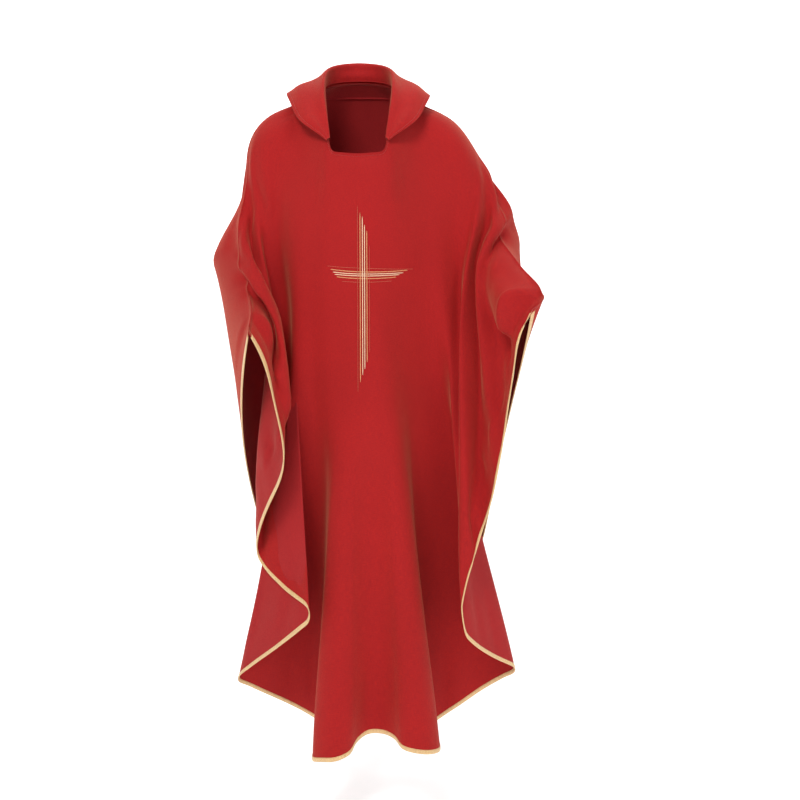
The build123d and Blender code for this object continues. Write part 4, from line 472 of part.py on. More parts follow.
def inset(table, d):
    """Pull the two outer columns in so the panels stay clear at the seam."""
    g = [list(c) for c in table]
    for a, b in ((0, 1), (-1, -2)):
        g[a] = [mad(p, unit(sub(q, p)), d) for p, q in zip(g[a], g[b])]
    return g


def band(table, s0, s1, rows, from_hem=False):
    """Grid between two distances measured down each column."""
    out = []
    for colm in table:
        s = chord(colm)
        lo, hi = (s[-1] - s1, s[-1] - s0) if from_hem else (s0, s1)
        out.append([along(colm, s, lo + (hi - lo) * k / (rows - 1)) for k in range(rows)])
    return out


def panel(table):
    """Rows of a panel: three over the facing, then down to the binding."""
    out = []
    for colm in table:
        s = chord(colm)
        hi = s[-1] - BIND_W - BIND_GAP
        at = [0.0, FACING_W / 2, FACING_W]
        rest = len(colm) - 2
        at += [FACING_W + (hi - FACING_W) * k / rest for k in range(1, rest + 1)]
        out.append([along(colm, s, x) for x in at])
    return out


def facing(table):
    return [[along(c, chord(c), x) for x in (0.0, FACING_W / 2, FACING_W)] for c in table]


front = inset(FRONT, EDGE_IN)
back = inset(BACK, EDGE_IN)
front_edge = inset(FRONT, BIND_IN)
back_edge = inset(BACK, BIND_IN)
half = CLOTH_T / 2
# +1 where the column-by-row normal of a panel points away from the wearer
FRONT_OUT = -1.0
BACK_OUT = 1.0

# ---- body cloth ---------------------------------------------------------
with BuildPart() as front_panel:
    add(layer(panel(front), -half, half, FRONT_OUT))
front_panel.part.label = "front_panel"
export_step(front_panel.part, "parts/front_panel.step")

with BuildPart() as back_panel:
    add(layer(panel(back), -half, half, BACK_OUT))
back_panel.part.label = "back_panel"
export_step(back_panel.part, "parts/back_panel.step")

# ---- satin binding on the lower edge, sleeve end to sleeve end ----------
with BuildPart() as front_hem_binding:
    add(layer(band(front_edge, 0.0, BIND_W, 3, True), -BIND_T / 2, BIND_T / 2, FRONT_OUT))
front_hem_binding.part.label = "front_hem_binding"
export_step(front_hem_binding.part, "parts/front_hem_binding.step")

with BuildPart() as back_hem_binding:
    add(layer(band(back_edge, 0.0, BIND_W, 3, True), -BIND_T / 2, BIND_T / 2, BACK_OUT))
back_hem_binding.part.label = "back_hem_binding"
export_step(back_hem_binding.part, "parts/back_hem_binding.step")

# ---- facings inside the neck opening ------------------------------------
fi = -(half + INNER_GAP)
with BuildPart() as front_neck_facing:
    add(layer(facing(front)[4:-4], fi - FACING_T, fi, FRONT_OUT))
front_neck_facing.part.label = "front_neck_facing"
export_step(front_neck_facing.part, "parts/front_neck_facing.step")

with BuildPart() as back_neck_facing:
    add(layer(facing(back)[4:-4], fi - FACING_T, fi, BACK_OUT))
back_neck_facing.part.label = "back_neck_facing"
export_step(back_neck_facing.part, "parts/back_neck_facing.step")


# ---- tapes under the two shoulder seams ---------------------------------
def tape(i, k):
    """Strip across the seam: front side, seam, back side."""
    rows = []
    f0, f1, b1 = FRONT[i], FRONT[k], BACK[k]
    for j in TAPE_ROWS:
        a = unit(sub(f1[j], f0[j]))
        b = unit(sub(b1[j], f0[j]))
        inner = unit((a[0] + b[0], a[1] + b[1], a[2] + b[2]))
        # the sharper the fold at the seam, the deeper the tape has to sit
        lean = norm(cross(a, inner))
        drop = (half + INNER_GAP + TAPE_T) / max(lean, 0.22) + 4.6
        c = mad(f0[j], inner, drop)
        rows.append([mad(c, a, TAPE_W), mad(c, inner, -0.2), mad(c, b, TAPE_W)])
    return rows


with BuildPart() as right_shoulder_seam_tape:
    add(layer(tape(0, 1), -TAPE_T / 2, TAPE_T / 2))
right_shoulder_seam_tape.part.label = "right_shoulder_seam_tape"
export_step(right_shoulder_seam_tape.part, "parts/right_shoulder_seam_tape.step")

with BuildPart() as left_shoulder_seam_tape:
    add(layer(tape(-1, -2), -TAPE_T / 2, TAPE_T / 2))
left_shoulder_seam_tape.part.label = "left_shoulder_seam_tape"
export_step(left_shoulder_seam_tape.part, "parts/left_shoulder_seam_tape.step")

# ---- roll collar: outer ply, stiffening ply, under ply -------------------
ci = INTERFACING_T / 2
with BuildPart() as collar_upper:
    add(layer(COLLAR, ci + GAP, ci + GAP + COLLAR_T, COLLAR_OUT))
collar_upper.part.label = "collar_upper"
export_step(collar_upper.part, "parts/collar_upper.step")

core = [r[1:-1] for r in COLLAR[1:-1]]
with BuildPart() as collar_interfacing:
    add(layer(core, -ci, ci, COLLAR_OUT))
collar_interfacing.part.label = "collar_interfacing"
export_step(collar_interfacing.part, "parts/collar_interfacing.step")

with BuildPart() as collar_under:
    add(layer(COLLAR, -ci - GAP - COLLAR_T, -ci - GAP, COLLAR_OUT))
collar_under.part.label = "collar_under"
export_step(collar_under.part, "parts/collar_under.step")

# ---- embroidered cross: couched threads lying on the front cloth ---------
for name, (kind, path) in CROSS.items():
    r = CORD_R[kind]
    # the uprights are laid over the finished cross beam
    over = 2 * CORD_R[1] + 0.3 if "upright" in name else 0.0
    pts = [mad(p[:3], p[3:], half + 0.9 + over + r) for p in path]
    with BuildPart() as thread:
        with BuildLine() as run:
            Spline(*pts)
        with BuildSketch(Plane(origin=run.line @ 0, z_dir=run.line % 0)):
            Circle(r)
        sweep(path=run.line)
    thread.part.label = name
    export_step(thread.part, "parts/" + name + ".step")
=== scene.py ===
import bpy
import math
import numpy as np
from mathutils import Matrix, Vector
from mathutils.bvhtree import BVHTree


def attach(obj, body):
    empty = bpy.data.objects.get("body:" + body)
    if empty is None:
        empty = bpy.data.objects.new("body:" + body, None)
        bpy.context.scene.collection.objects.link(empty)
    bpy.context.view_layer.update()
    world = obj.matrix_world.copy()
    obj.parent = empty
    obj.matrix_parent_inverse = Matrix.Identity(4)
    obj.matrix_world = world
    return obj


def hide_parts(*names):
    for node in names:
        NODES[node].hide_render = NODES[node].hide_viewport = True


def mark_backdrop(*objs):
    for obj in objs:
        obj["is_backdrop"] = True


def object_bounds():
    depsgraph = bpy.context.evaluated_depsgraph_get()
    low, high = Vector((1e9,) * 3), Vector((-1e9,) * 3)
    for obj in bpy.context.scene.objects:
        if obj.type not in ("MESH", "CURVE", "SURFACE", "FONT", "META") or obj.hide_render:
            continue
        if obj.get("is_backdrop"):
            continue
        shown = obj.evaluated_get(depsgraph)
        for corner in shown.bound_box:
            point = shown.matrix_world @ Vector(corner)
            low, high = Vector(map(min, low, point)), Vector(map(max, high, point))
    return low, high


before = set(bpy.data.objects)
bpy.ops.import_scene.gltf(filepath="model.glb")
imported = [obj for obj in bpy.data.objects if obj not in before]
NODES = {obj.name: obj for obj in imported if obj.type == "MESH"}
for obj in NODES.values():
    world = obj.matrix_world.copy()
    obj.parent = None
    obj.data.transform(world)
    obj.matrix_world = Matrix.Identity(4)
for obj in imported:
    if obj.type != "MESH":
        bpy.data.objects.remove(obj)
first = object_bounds()

# Shape of the cloth, tenths of a millimetre: one line per column, from the neck opening to the lower edge.
FRONT = (
(-660,60,220,-835,56,141,-1005,45,54,-1177,23,-30,-1352,-8,-101,-1528,-38,-169,-1697,-65,-252,-1846,-89,-363,-1966,-111,-502,-2052,-131,-662,-2107,-150,-836,-2139,-168,-1015,-2158,-184,-1197,-2169,-194,-1380,-2178,-219,-1516,-2198,-267,-1643,-2221,-320,-1778,-2249,-372,-1926,-2284,-428,-2077,-2317,-480,-2231,-2335,-523,-2387,-2336,-561,-2545,-2329,-599,-2700,-2318,-642,-2843,-2312,-708,-2960,-2318,-797,-3054,-2293,-874,-3144,-2213,-916,-3236,-2136,-959,-3328,-2122,-1031,-3408,-2136,-1100,-3475,-2124,-1158,-3547,-2093,-1251,-3618,-2063,-1384,-3673,-2037,-1525,-3726,-2017,-1659,-3795,-2007,-1791,-3875,-2010,-1929,-3953,-2019,-2073,-4027,-2021,-2215,-4101,-2016,-2350,-4172),
(-658,20,199,-835,2,127,-1008,-23,46,-1177,-59,-38,-1346,-101,-119,-1514,-144,-199,-1677,-182,-289,-1824,-213,-401,-1945,-237,-538,-2033,-254,-697,-2087,-266,-871,-2110,-277,-1053,-2116,-286,-1239,-2118,-304,-1424,-2107,-326,-1561,-2098,-342,-1698,-2103,-346,-1844,-2124,-358,-2000,-2153,-406,-2148,-2178,-497,-2279,-2202,-608,-2401,-2229,-708,-2533,-2242,-780,-2677,-2224,-828,-2824,-2189,-873,-2960,-2176,-947,-3076,-2181,-1043,-3179,-2148,-1121,-3280,-2064,-1170,-3377,-1985,-1207,-3472,-1940,-1228,-3563,-1904,-1237,-3650,-1865,-1277,-3737,-1832,-1376,-3822,-1800,-1512,-3897,-1758,-1659,-3961,-1712,-1808,-4021,-1846,-1905,-4192,-1845,-2043,-4272,-1856,-2173,-4354,-1886,-2293,-4437),
(-656,-19,178,-826,-44,94,-990,-76,2,-1151,-121,-90,-1315,-176,-172,-1479,-230,-252,-1637,-278,-342,-1780,-314,-455,-1900,-339,-590,-1991,-356,-744,-2052,-368,-912,-2081,-378,-1091,-2087,-385,-1275,-2064,-395,-1464,-2039,-412,-1626,-2029,-429,-1781,-2036,-432,-1934,-2048,-418,-2093,-2071,-409,-2254,-2106,-440,-2404,-2133,-521,-2534,-2130,-640,-2640,-2099,-773,-2732,-2066,-900,-2829,-2043,-1005,-2948,-2027,-1088,-3083,-2018,-1172,-3214,-2015,-1270,-3334,-1994,-1357,-3451,-1930,-1400,-3563,-1830,-1398,-3666,-1734,-1369,-3771,-1676,-1346,-3897,-1659,-1379,-4037,-1659,-1479,-4156,-1646,-1613,-4241,-1605,-1750,-4314,-1723,-1882,-4446,-1718,-2011,-4532,-1731,-2132,-4621,-1774,-2241,-4712),
(-654,-59,156,-822,-83,66,-980,-113,-37,-1135,-161,-139,-1293,-225,-227,-1452,-293,-309,-1606,-353,-399,-1746,-397,-513,-1858,-423,-654,-1935,-436,-816,-1976,-440,-991,-1988,-440,-1175,-1981,-439,-1363,-1953,-433,-1554,-1934,-440,-1710,-1942,-475,-1857,-1973,-523,-2001,-2005,-550,-2156,-2029,-549,-2324,-2050,-539,-2492,-2072,-550,-2653,-2087,-605,-2795,-2075,-708,-2910,-2029,-836,-3001,-1957,-964,-3083,-1881,-1083,-3172,-1824,-1197,-3275,-1791,-1313,-3392,-1773,-1427,-3517,-1753,-1521,-3654,-1719,-1564,-3803,-1664,-1552,-3956,-1607,-1513,-4107,-1574,-1477,-4269,-1581,-1474,-4435,-1611,-1536,-4574,-1622,-1659,-4676,-1649,-1867,-4711,-1649,-1982,-4808,-1658,-2093,-4905,-1688,-2195,-5001),
(-652,-98,135,-820,-130,48,-977,-166,-56,-1125,-218,-165,-1273,-286,-264,-1423,-358,-358,-1569,-422,-459,-1700,-466,-582,-1801,-492,-729,-1867,-504,-895,-1896,-508,-1073,-1898,-506,-1258,-1887,-503,-1446,-1870,-495,-1636,-1859,-491,-1794,-1874,-509,-1948,-1910,-552,-2095,-1943,-604,-2243,-1960,-644,-2397,-1970,-668,-2558,-1984,-680,-2725,-1998,-700,-2891,-2002,-751,-3043,-1985,-836,-3171,-1938,-946,-3276,-1860,-1059,-3368,-1765,-1162,-3461,-1675,-1259,-3565,-1612,-1365,-3683,-1575,-1477,-3812,-1549,-1580,-3949,-1531,-1655,-4098,-1521,-1689,-4260,-1519,-1686,-4431,-1528,-1667,-4607,-1568,-1661,-4775,-1646,-1700,-4917,-1600,-1867,-4977,-1612,-1963,-5088,-1615,-2062,-5196,-1621,-2156,-5299),
(-650,-138,114,-814,-174,25,-967,-214,-80,-1108,-268,-195,-1245,-338,-305,-1384,-411,-411,-1520,-473,-525,-1639,-515,-657,-1731,-539,-808,-1790,-550,-975,-1815,-554,-1151,-1816,-555,-1335,-1807,-557,-1521,-1798,-558,-1710,-1800,-550,-1870,-1820,-549,-2033,-1857,-572,-2192,-1890,-617,-2344,-1904,-672,-2495,-1901,-726,-2646,-1892,-767,-2803,-1886,-802,-2967,-1881,-842,-3130,-1872,-898,-3284,-1845,-973,-3421,-1790,-1057,-3545,-1711,-1136,-3662,-1620,-1210,-3777,-1540,-1292,-3895,-1483,-1387,-4024,-1447,-1491,-4162,-1421,-1593,-4304,-1400,-1692,-4451,-1396,-1782,-4602,-1422,-1854,-4756,-1476,-1902,-4911,-1542,-1931,-5068,-1539,-1877,-5234,-1563,-1953,-5362,-1569,-2037,-5485,-1562,-2120,-5603),
(-648,-178,93,-808,-218,0,-956,-259,-109,-1089,-311,-232,-1217,-379,-353,-1346,-449,-471,-1472,-506,-596,-1582,-543,-737,-1666,-564,-892,-1719,-573,-1059,-1743,-576,-1235,-1745,-579,-1417,-1741,-584,-1602,-1739,-597,-1789,-1751,-589,-1952,-1779,-575,-2120,-1820,-578,-2288,-1859,-609,-2449,-1875,-663,-2606,-1864,-727,-2758,-1839,-786,-2910,-1810,-836,-3068,-1784,-881,-3231,-1762,-924,-3395,-1734,-974,-3551,-1695,-1035,-3700,-1647,-1100,-3843,-1595,-1165,-3979,-1543,-1237,-4110,-1496,-1317,-4248,-1454,-1402,-4395,-1416,-1493,-4544,-1378,-1591,-4693,-1342,-1689,-4842,-1319,-1782,-4996,-1332,-1853,-5152,-1376,-1890,-5308,-1460,-1877,-5487,-1488,-1940,-5632,-1504,-2013,-5771,-1503,-2084,-5908),
(-646,-217,71,-802,-261,-26,-946,-304,-141,-1073,-353,-271,-1193,-415,-402,-1314,-478,-533,-1431,-528,-670,-1533,-559,-818,-1611,-575,-978,-1660,-581,-1148,-1682,-583,-1325,-1686,-586,-1507,-1688,-591,-1692,-1694,-608,-1879,-1713,-605,-2044,-1748,-588,-2216,-1795,-578,-2389,-1838,-593,-2558,-1857,-635,-2723,-1846,-694,-2881,-1815,-756,-3036,-1776,-811,-3195,-1738,-857,-3361,-1705,-896,-3530,-1678,-938,-3696,-1654,-989,-3857,-1632,-1044,-4016,-1610,-1104,-4170,-1587,-1172,-4319,-1559,-1249,-4469,-1525,-1330,-4624,-1486,-1413,-4782,-1441,-1499,-4939,-1389,-1582,-5097,-1335,-1662,-5257,-1291,-1743,-5418,-1280,-1821,-5580,-1396,-1849,-5746,-1417,-1912,-5903,-1438,-1980,-6058,-1451,-2047,-6212),
(-645,-257,50,-798,-304,-52,-937,-348,-174,-1060,-394,-312,-1174,-449,-453,-1288,-505,-595,-1399,-548,-742,-1494,-572,-898,-1566,-583,-1064,-1611,-585,-1237,-1631,-586,-1417,-1639,-586,-1601,-1647,-589,-1788,-1661,-603,-1977,-1686,-604,-2146,-1725,-591,-2321,-1773,-578,-2498,-1816,-581,-2673,-1836,-605,-2844,-1826,-649,-3010,-1797,-703,-3173,-1761,-753,-3338,-1725,-796,-3510,-1694,-834,-3684,-1676,-876,-3854,-1669,-925,-4022,-1665,-976,-4190,-1659,-1030,-4356,-1648,-1093,-4519,-1627,-1169,-4682,-1599,-1250,-4847,-1567,-1335,-5012,-1531,-1420,-5177,-1492,-1503,-5343,-1445,-1581,-5511,-1389,-1649,-5680,-1327,-1714,-5851,-1391,-1796,-6011,-1392,-1864,-6179,-1404,-1933,-6346,-1419,-2000,-6513),
(-643,-296,28,-794,-347,-80,-930,-391,-208,-1048,-435,-354,-1158,-483,-505,-1267,-531,-657,-1372,-568,-813,-1462,-588,-977,-1529,-594,-1148,-1571,-593,-1327,-1591,-590,-1511,-1601,-589,-1699,-1616,-588,-1888,-1636,-594,-2080,-1665,-595,-2253,-1704,-586,-2432,-1749,-576,-2612,-1787,-574,-2792,-1805,-585,-2969,-1796,-613,-3142,-1772,-652,-3314,-1745,-692,-3489,-1719,-727,-3667,-1699,-761,-3845,-1693,-802,-4021,-1700,-848,-4195,-1710,-898,-4369,-1718,-951,-4542,-1716,-1012,-4714,-1700,-1084,-4887,-1674,-1163,-5060,-1643,-1245,-5233,-1611,-1329,-5407,-1583,-1416,-5580,-1559,-1508,-5753,-1533,-1599,-5926,-1499,-1684,-6101,-1454,-1720,-6275,-1434,-1793,-6452,-1426,-1863,-6630,-1429,-1931,-6808),
(-640,-334,5,-790,-389,-109,-924,-434,-244,-1038,-475,-398,-1144,-519,-557,-1247,-561,-718,-1347,-593,-882,-1433,-609,-1053,-1497,-612,-1231,-1536,-608,-1414,-1557,-603,-1603,-1571,-598,-1795,-1591,-594,-1988,-1615,-594,-2183,-1645,-591,-2361,-1680,-583,-2544,-1718,-575,-2728,-1750,-570,-2913,-1764,-573,-3095,-1756,-588,-3275,-1737,-615,-3455,-1719,-644,-3639,-1705,-670,-3824,-1699,-698,-4007,-1705,-732,-4189,-1722,-773,-4369,-1743,-819,-4549,-1764,-870,-4729,-1774,-928,-4908,-1770,-995,-5087,-1753,-1070,-5267,-1728,-1148,-5448,-1697,-1228,-5629,-1664,-1309,-5811,-1634,-1390,-5993,-1610,-1474,-6175,-1592,-1558,-6357,-1552,-1619,-6533,-1525,-1693,-6717,-1503,-1765,-6902,-1489,-1833,-7087),
(-637,-370,-21,-785,-429,-140,-917,-476,-282,-1028,-516,-442,-1129,-556,-609,-1227,-594,-778,-1322,-621,-951,-1404,-634,-1129,-1465,-633,-1313,-1504,-626,-1501,-1526,-618,-1694,-1544,-611,-1890,-1568,-603,-2087,-1593,-597,-2285,-1620,-591,-2468,-1651,-583,-2655,-1682,-574,-2844,-1707,-567,-3034,-1718,-563,-3221,-1711,-568,-3408,-1698,-583,-3596,-1689,-603,-3788,-1688,-621,-3980,-1694,-641,-4169,-1710,-668,-4357,-1736,-701,-4544,-1766,-741,-4731,-1796,-789,-4916,-1819,-843,-5101,-1830,-903,-5287,-1829,-972,-5472,-1818,-1046,-5659,-1795,-1123,-5846,-1763,-1199,-6034,-1726,-1270,-6223,-1686,-1337,-6413,-1647,-1403,-6604,-1661,-1501,-6782,-1634,-1574,-6971,-1609,-1643,-7160,-1590,-1708,-7349),
(-634,-405,-49,-780,-467,-175,-910,-516,-323,-1018,-554,-490,-1115,-591,-665,-1209,-624,-841,-1299,-648,-1022,-1378,-657,-1206,-1437,-653,-1396,-1475,-644,-1589,-1500,-633,-1787,-1521,-623,-1987,-1546,-613,-2188,-1571,-600,-2390,-1593,-590,-2578,-1617,-580,-2770,-1640,-572,-2963,-1658,-564,-3157,-1666,-557,-3351,-1662,-554,-3543,-1654,-560,-3740,-1655,-571,-3939,-1665,-583,-4137,-1683,-597,-4332,-1707,-615,-4526,-1736,-638,-4720,-1770,-671,-4913,-1806,-712,-5105,-1839,-757,-5296,-1866,-807,-5487,-1886,-867,-5677,-1897,-936,-5868,-1896,-1011,-6060,-1883,-1091,-6251,-1864,-1172,-6442,-1848,-1254,-6632,-1837,-1336,-6822,-1787,-1385,-7020,-1759,-1454,-7214,-1731,-1516,-7409,-1704,-1567,-7602),
(-630,-438,-79,-775,-504,-211,-902,-554,-366,-1008,-591,-540,-1102,-624,-722,-1192,-653,-906,-1278,-673,-1093,-1354,-679,-1284,-1412,-674,-1480,-1450,-663,-1679,-1476,-650,-1881,-1499,-638,-2086,-1524,-626,-2291,-1546,-607,-2497,-1563,-592,-2691,-1579,-580,-2887,-1594,-571,-3085,-1605,-563,-3284,-1610,-555,-3482,-1608,-549,-3681,-1606,-549,-3884,-1614,-555,-4089,-1634,-563,-4293,-1660,-573,-4493,-1688,-584,-4693,-1717,-598,-4894,-1751,-620,-5094,-1787,-650,-5293,-1825,-682,-5491,-1864,-718,-5688,-1902,-764,-5885,-1935,-820,-6081,-1960,-888,-6277,-1974,-965,-6473,-1973,-1046,-6669,-1956,-1120,-6865,-1925,-1184,-7063,-1894,-1251,-7263,-1864,-1316,-7460,-1836,-1374,-7659,-1811,-1422,-7857),
(-626,-472,-109,-770,-541,-247,-895,-592,-410,-997,-627,-591,-1089,-656,-780,-1176,-682,-971,-1258,-699,-1165,-1332,-703,-1362,-1389,-697,-1563,-1427,-684,-1768,-1454,-671,-1975,-1477,-657,-2185,-1502,-643,-2394,-1520,-620,-2604,-1531,-600,-2804,-1540,-584,-3006,-1546,-573,-3208,-1551,-565,-3411,-1554,-559,-3615,-1554,-553,-3819,-1557,-553,-4028,-1571,-559,-4238,-1595,-568,-4446,-1626,-578,-4652,-1654,-586,-4857,-1681,-594,-5064,-1712,-608,-5271,-1746,-627,-5478,-1783,-645,-5683,-1824,-665,-5888,-1868,-692,-6093,-1911,-728,-6297,-1953,-774,-6500,-1990,-832,-6702,-2016,-900,-6904,-2026,-973,-7106,-2024,-1046,-7308,-1991,-1112,-7511,-1972,-1179,-7713,-1943,-1236,-7915,-1905,-1278,-8119),
(-622,-505,-139,-764,-577,-284,-887,-628,-455,-986,-661,-643,-1076,-688,-838,-1160,-710,-1035,-1240,-724,-1236,-1311,-728,-1439,-1367,-721,-1646,-1406,-709,-1856,-1433,-694,-2069,-1456,-680,-2283,-1478,-664,-2498,-1492,-639,-2712,-1498,-615,-2918,-1500,-595,-3124,-1500,-580,-3331,-1500,-572,-3539,-1501,-567,-3748,-1504,-565,-3958,-1512,-567,-4172,-1529,-575,-4386,-1556,-588,-4599,-1587,-600,-4809,-1614,-610,-5020,-1639,-618,-5232,-1667,-629,-5445,-1698,-641,-5658,-1731,-650,-5871,-1768,-659,-6084,-1807,-671,-6296,-1849,-686,-6509,-1893,-705,-6721,-1941,-731,-6932,-1986,-770,-7142,-2022,-824,-7351,-2042,-888,-7559,-2036,-960,-7767,-2030,-1024,-7973,-2011,-1084,-8179,-1984,-1139,-8387),
(-618,-539,-168,-758,-612,-322,-878,-664,-500,-975,-695,-695,-1062,-718,-896,-1145,-738,-1100,-1221,-751,-1306,-1290,-754,-1516,-1346,-748,-1728,-1385,-736,-1944,-1412,-722,-2162,-1434,-707,-2380,-1454,-691,-2600,-1464,-666,-2819,-1464,-639,-3030,-1461,-615,-3242,-1457,-596,-3455,-1454,-586,-3668,-1455,-582,-3882,-1461,-582,-4098,-1473,-587,-4316,-1494,-597,-4535,-1522,-613,-4752,-1552,-627,-4968,-1577,-640,-5185,-1602,-652,-5402,-1628,-664,-5619,-1657,-676,-5837,-1687,-685,-6056,-1718,-692,-6275,-1751,-699,-6495,-1786,-705,-6714,-1824,-708,-6934,-1866,-708,-7155,-1910,-712,-7376,-1956,-728,-7596,-2005,-764,-7813,-2031,-825,-8028,-2053,-883,-8242,-2053,-945,-8454,-2034,-1010,-8665),
(-614,-572,-198,-752,-647,-359,-869,-698,-545,-964,-727,-747,-1049,-748,-954,-1129,-766,-1164,-1204,-778,-1376,-1270,-781,-1591,-1324,-777,-1809,-1363,-766,-2030,-1391,-753,-2252,-1412,-738,-2476,-1429,-722,-2700,-1435,-698,-2924,-1432,-671,-3141,-1426,-644,-3359,-1419,-622,-3576,-1415,-609,-3795,-1416,-604,-4016,-1424,-606,-4238,-1440,-612,-4461,-1462,-623,-4685,-1490,-637,-4908,-1518,-652,-5131,-1542,-665,-5353,-1565,-679,-5575,-1591,-693,-5797,-1618,-707,-6020,-1645,-721,-6243,-1673,-734,-6468,-1701,-746,-6692,-1731,-755,-6917,-1763,-759,-7143,-1797,-759,-7370,-1829,-754,-7598,-1856,-748,-7827,-1883,-746,-8055,-1918,-762,-8281,-1957,-789,-8508,-1989,-835,-8731,-2010,-896,-8949),
(-610,-605,-228,-746,-682,-397,-859,-732,-590,-951,-759,-798,-1035,-778,-1011,-1113,-794,-1227,-1185,-806,-1444,-1248,-810,-1665,-1302,-807,-1889,-1341,-798,-2114,-1369,-786,-2342,-1388,-772,-2570,-1404,-758,-2799,-1408,-736,-3027,-1403,-710,-3250,-1394,-682,-3473,-1386,-659,-3696,-1382,-646,-3920,-1382,-642,-4147,-1389,-647,-4374,-1404,-657,-4603,-1424,-671,-4832,-1448,-687,-5060,-1470,-702,-5288,-1490,-715,-5515,-1510,-730,-5742,-1531,-746,-5969,-1554,-762,-6196,-1577,-780,-6424,-1601,-800,-6652,-1624,-820,-6881,-1649,-840,-7109,-1675,-858,-7338,-1704,-874,-7567,-1736,-890,-7798,-1771,-906,-8027,-1801,-921,-8256,-1822,-935,-8485,-1835,-947,-8715,-1842,-959,-8950,-1843,-971,-9187),
(-606,-639,-258,-739,-717,-434,-849,-766,-635,-938,-790,-850,-1019,-808,-1069,-1096,-823,-1289,-1165,-834,-1512,-1226,-839,-1738,-1277,-838,-1967,-1317,-831,-2197,-1345,-821,-2429,-1364,-809,-2662,-1380,-796,-2895,-1382,-777,-3129,-1376,-754,-3356,-1366,-727,-3585,-1358,-704,-3813,-1355,-695,-4042,-1353,-696,-4272,-1358,-706,-4503,-1369,-724,-4735,-1383,-745,-4966,-1399,-767,-5197,-1414,-785,-5429,-1428,-799,-5659,-1442,-814,-5890,-1457,-830,-6120,-1473,-848,-6350,-1490,-867,-6581,-1507,-889,-6812,-1525,-913,-7043,-1542,-939,-7274,-1560,-966,-7504,-1578,-995,-7735,-1596,-1022,-7967,-1611,-1044,-8199,-1620,-1058,-8430,-1625,-1064,-8660,-1633,-1069,-8889,-1642,-1096,-9118,-1643,-1152,-9345),
(-602,-672,-288,-731,-751,-472,-838,-799,-679,-924,-822,-901,-1003,-837,-1125,-1077,-852,-1351,-1144,-863,-1579,-1203,-868,-1810,-1252,-869,-2044,-1291,-865,-2279,-1320,-857,-2515,-1340,-847,-2753,-1355,-836,-2990,-1357,-821,-3228,-1352,-801,-3461,-1344,-775,-3694,-1336,-756,-3927,-1333,-753,-4160,-1329,-759,-4393,-1330,-777,-4626,-1334,-804,-4859,-1339,-835,-5091,-1346,-866,-5323,-1352,-889,-5556,-1358,-904,-5789,-1365,-921,-6022,-1371,-938,-6255,-1379,-955,-6488,-1388,-974,-6721,-1397,-995,-6954,-1407,-1018,-7188,-1416,-1043,-7420,-1423,-1072,-7652,-1428,-1102,-7884,-1429,-1130,-8117,-1428,-1153,-8350,-1423,-1172,-8582,-1413,-1185,-8813,-1408,-1204,-9040,-1417,-1256,-9263,-1436,-1342,-9484),
(-598,-706,-318,-724,-785,-509,-826,-832,-724,-909,-853,-951,-984,-867,-1181,-1057,-880,-1413,-1122,-891,-1646,-1178,-898,-1882,-1225,-900,-2120,-1263,-898,-2359,-1293,-893,-2600,-1314,-886,-2842,-1330,-877,-3084,-1334,-866,-3326,-1331,-849,-3564,-1325,-826,-3802,-1320,-811,-4039,-1315,-814,-4274,-1309,-827,-4508,-1303,-854,-4741,-1297,-891,-4973,-1292,-934,-5203,-1286,-974,-5434,-1282,-1005,-5667,-1280,-1025,-5901,-1277,-1045,-6135,-1275,-1065,-6369,-1273,-1085,-6603,-1273,-1106,-6837,-1273,-1127,-7071,-1273,-1149,-7305,-1272,-1174,-7538,-1270,-1203,-7770,-1263,-1236,-8001,-1253,-1269,-8232,-1240,-1297,-8467,-1227,-1322,-8707,-1216,-1351,-8947,-1211,-1396,-9178,-1212,-1460,-9390,-1216,-1539,-9588),
(-594,-739,-348,-716,-819,-547,-814,-865,-768,-892,-884,-1002,-965,-896,-1237,-1035,-909,-1474,-1097,-920,-1712,-1151,-927,-1953,-1197,-930,-2195,-1235,-931,-2439,-1264,-929,-2684,-1287,-924,-2930,-1304,-918,-3176,-1311,-910,-3423,-1312,-897,-3665,-1310,-878,-3908,-1308,-867,-4149,-1302,-877,-4387,-1292,-896,-4622,-1278,-931,-4855,-1262,-978,-5086,-1243,-1030,-5315,-1225,-1080,-5545,-1210,-1119,-5777,-1199,-1144,-6012,-1188,-1170,-6247,-1177,-1195,-6482,-1166,-1221,-6717,-1156,-1246,-6953,-1147,-1271,-7188,-1137,-1296,-7423,-1127,-1323,-7658,-1116,-1354,-7891,-1102,-1391,-8121,-1085,-1433,-8351,-1068,-1474,-8583,-1054,-1513,-8818,-1043,-1558,-9051,-1034,-1613,-9276,-1021,-1673,-9495,-1002,-1730,-9712),
(-591,-772,-378,-708,-852,-584,-801,-897,-813,-875,-914,-1052,-945,-925,-1293,-1011,-937,-1534,-1071,-948,-1778,-1123,-955,-2023,-1167,-959,-2270,-1204,-962,-2518,-1235,-962,-2768,-1259,-961,-3017,-1278,-958,-3268,-1288,-954,-3518,-1295,-944,-3765,-1298,-928,-4013,-1300,-921,-4258,-1297,-933,-4501,-1288,-954,-4742,-1274,-990,-4981,-1256,-1037,-5217,-1234,-1090,-5452,-1212,-1141,-5688,-1195,-1180,-5925,-1183,-1206,-6166,-1170,-1233,-6406,-1157,-1259,-6647,-1144,-1286,-6887,-1132,-1312,-7128,-1119,-1338,-7369,-1107,-1364,-7609,-1094,-1390,-7849,-1080,-1420,-8088,-1066,-1454,-8325,-1052,-1490,-8563,-1039,-1527,-8803,-1027,-1564,-9045,-1017,-1608,-9282,-1006,-1662,-9511,-994,-1721,-9737,-985,-1779,-9965),
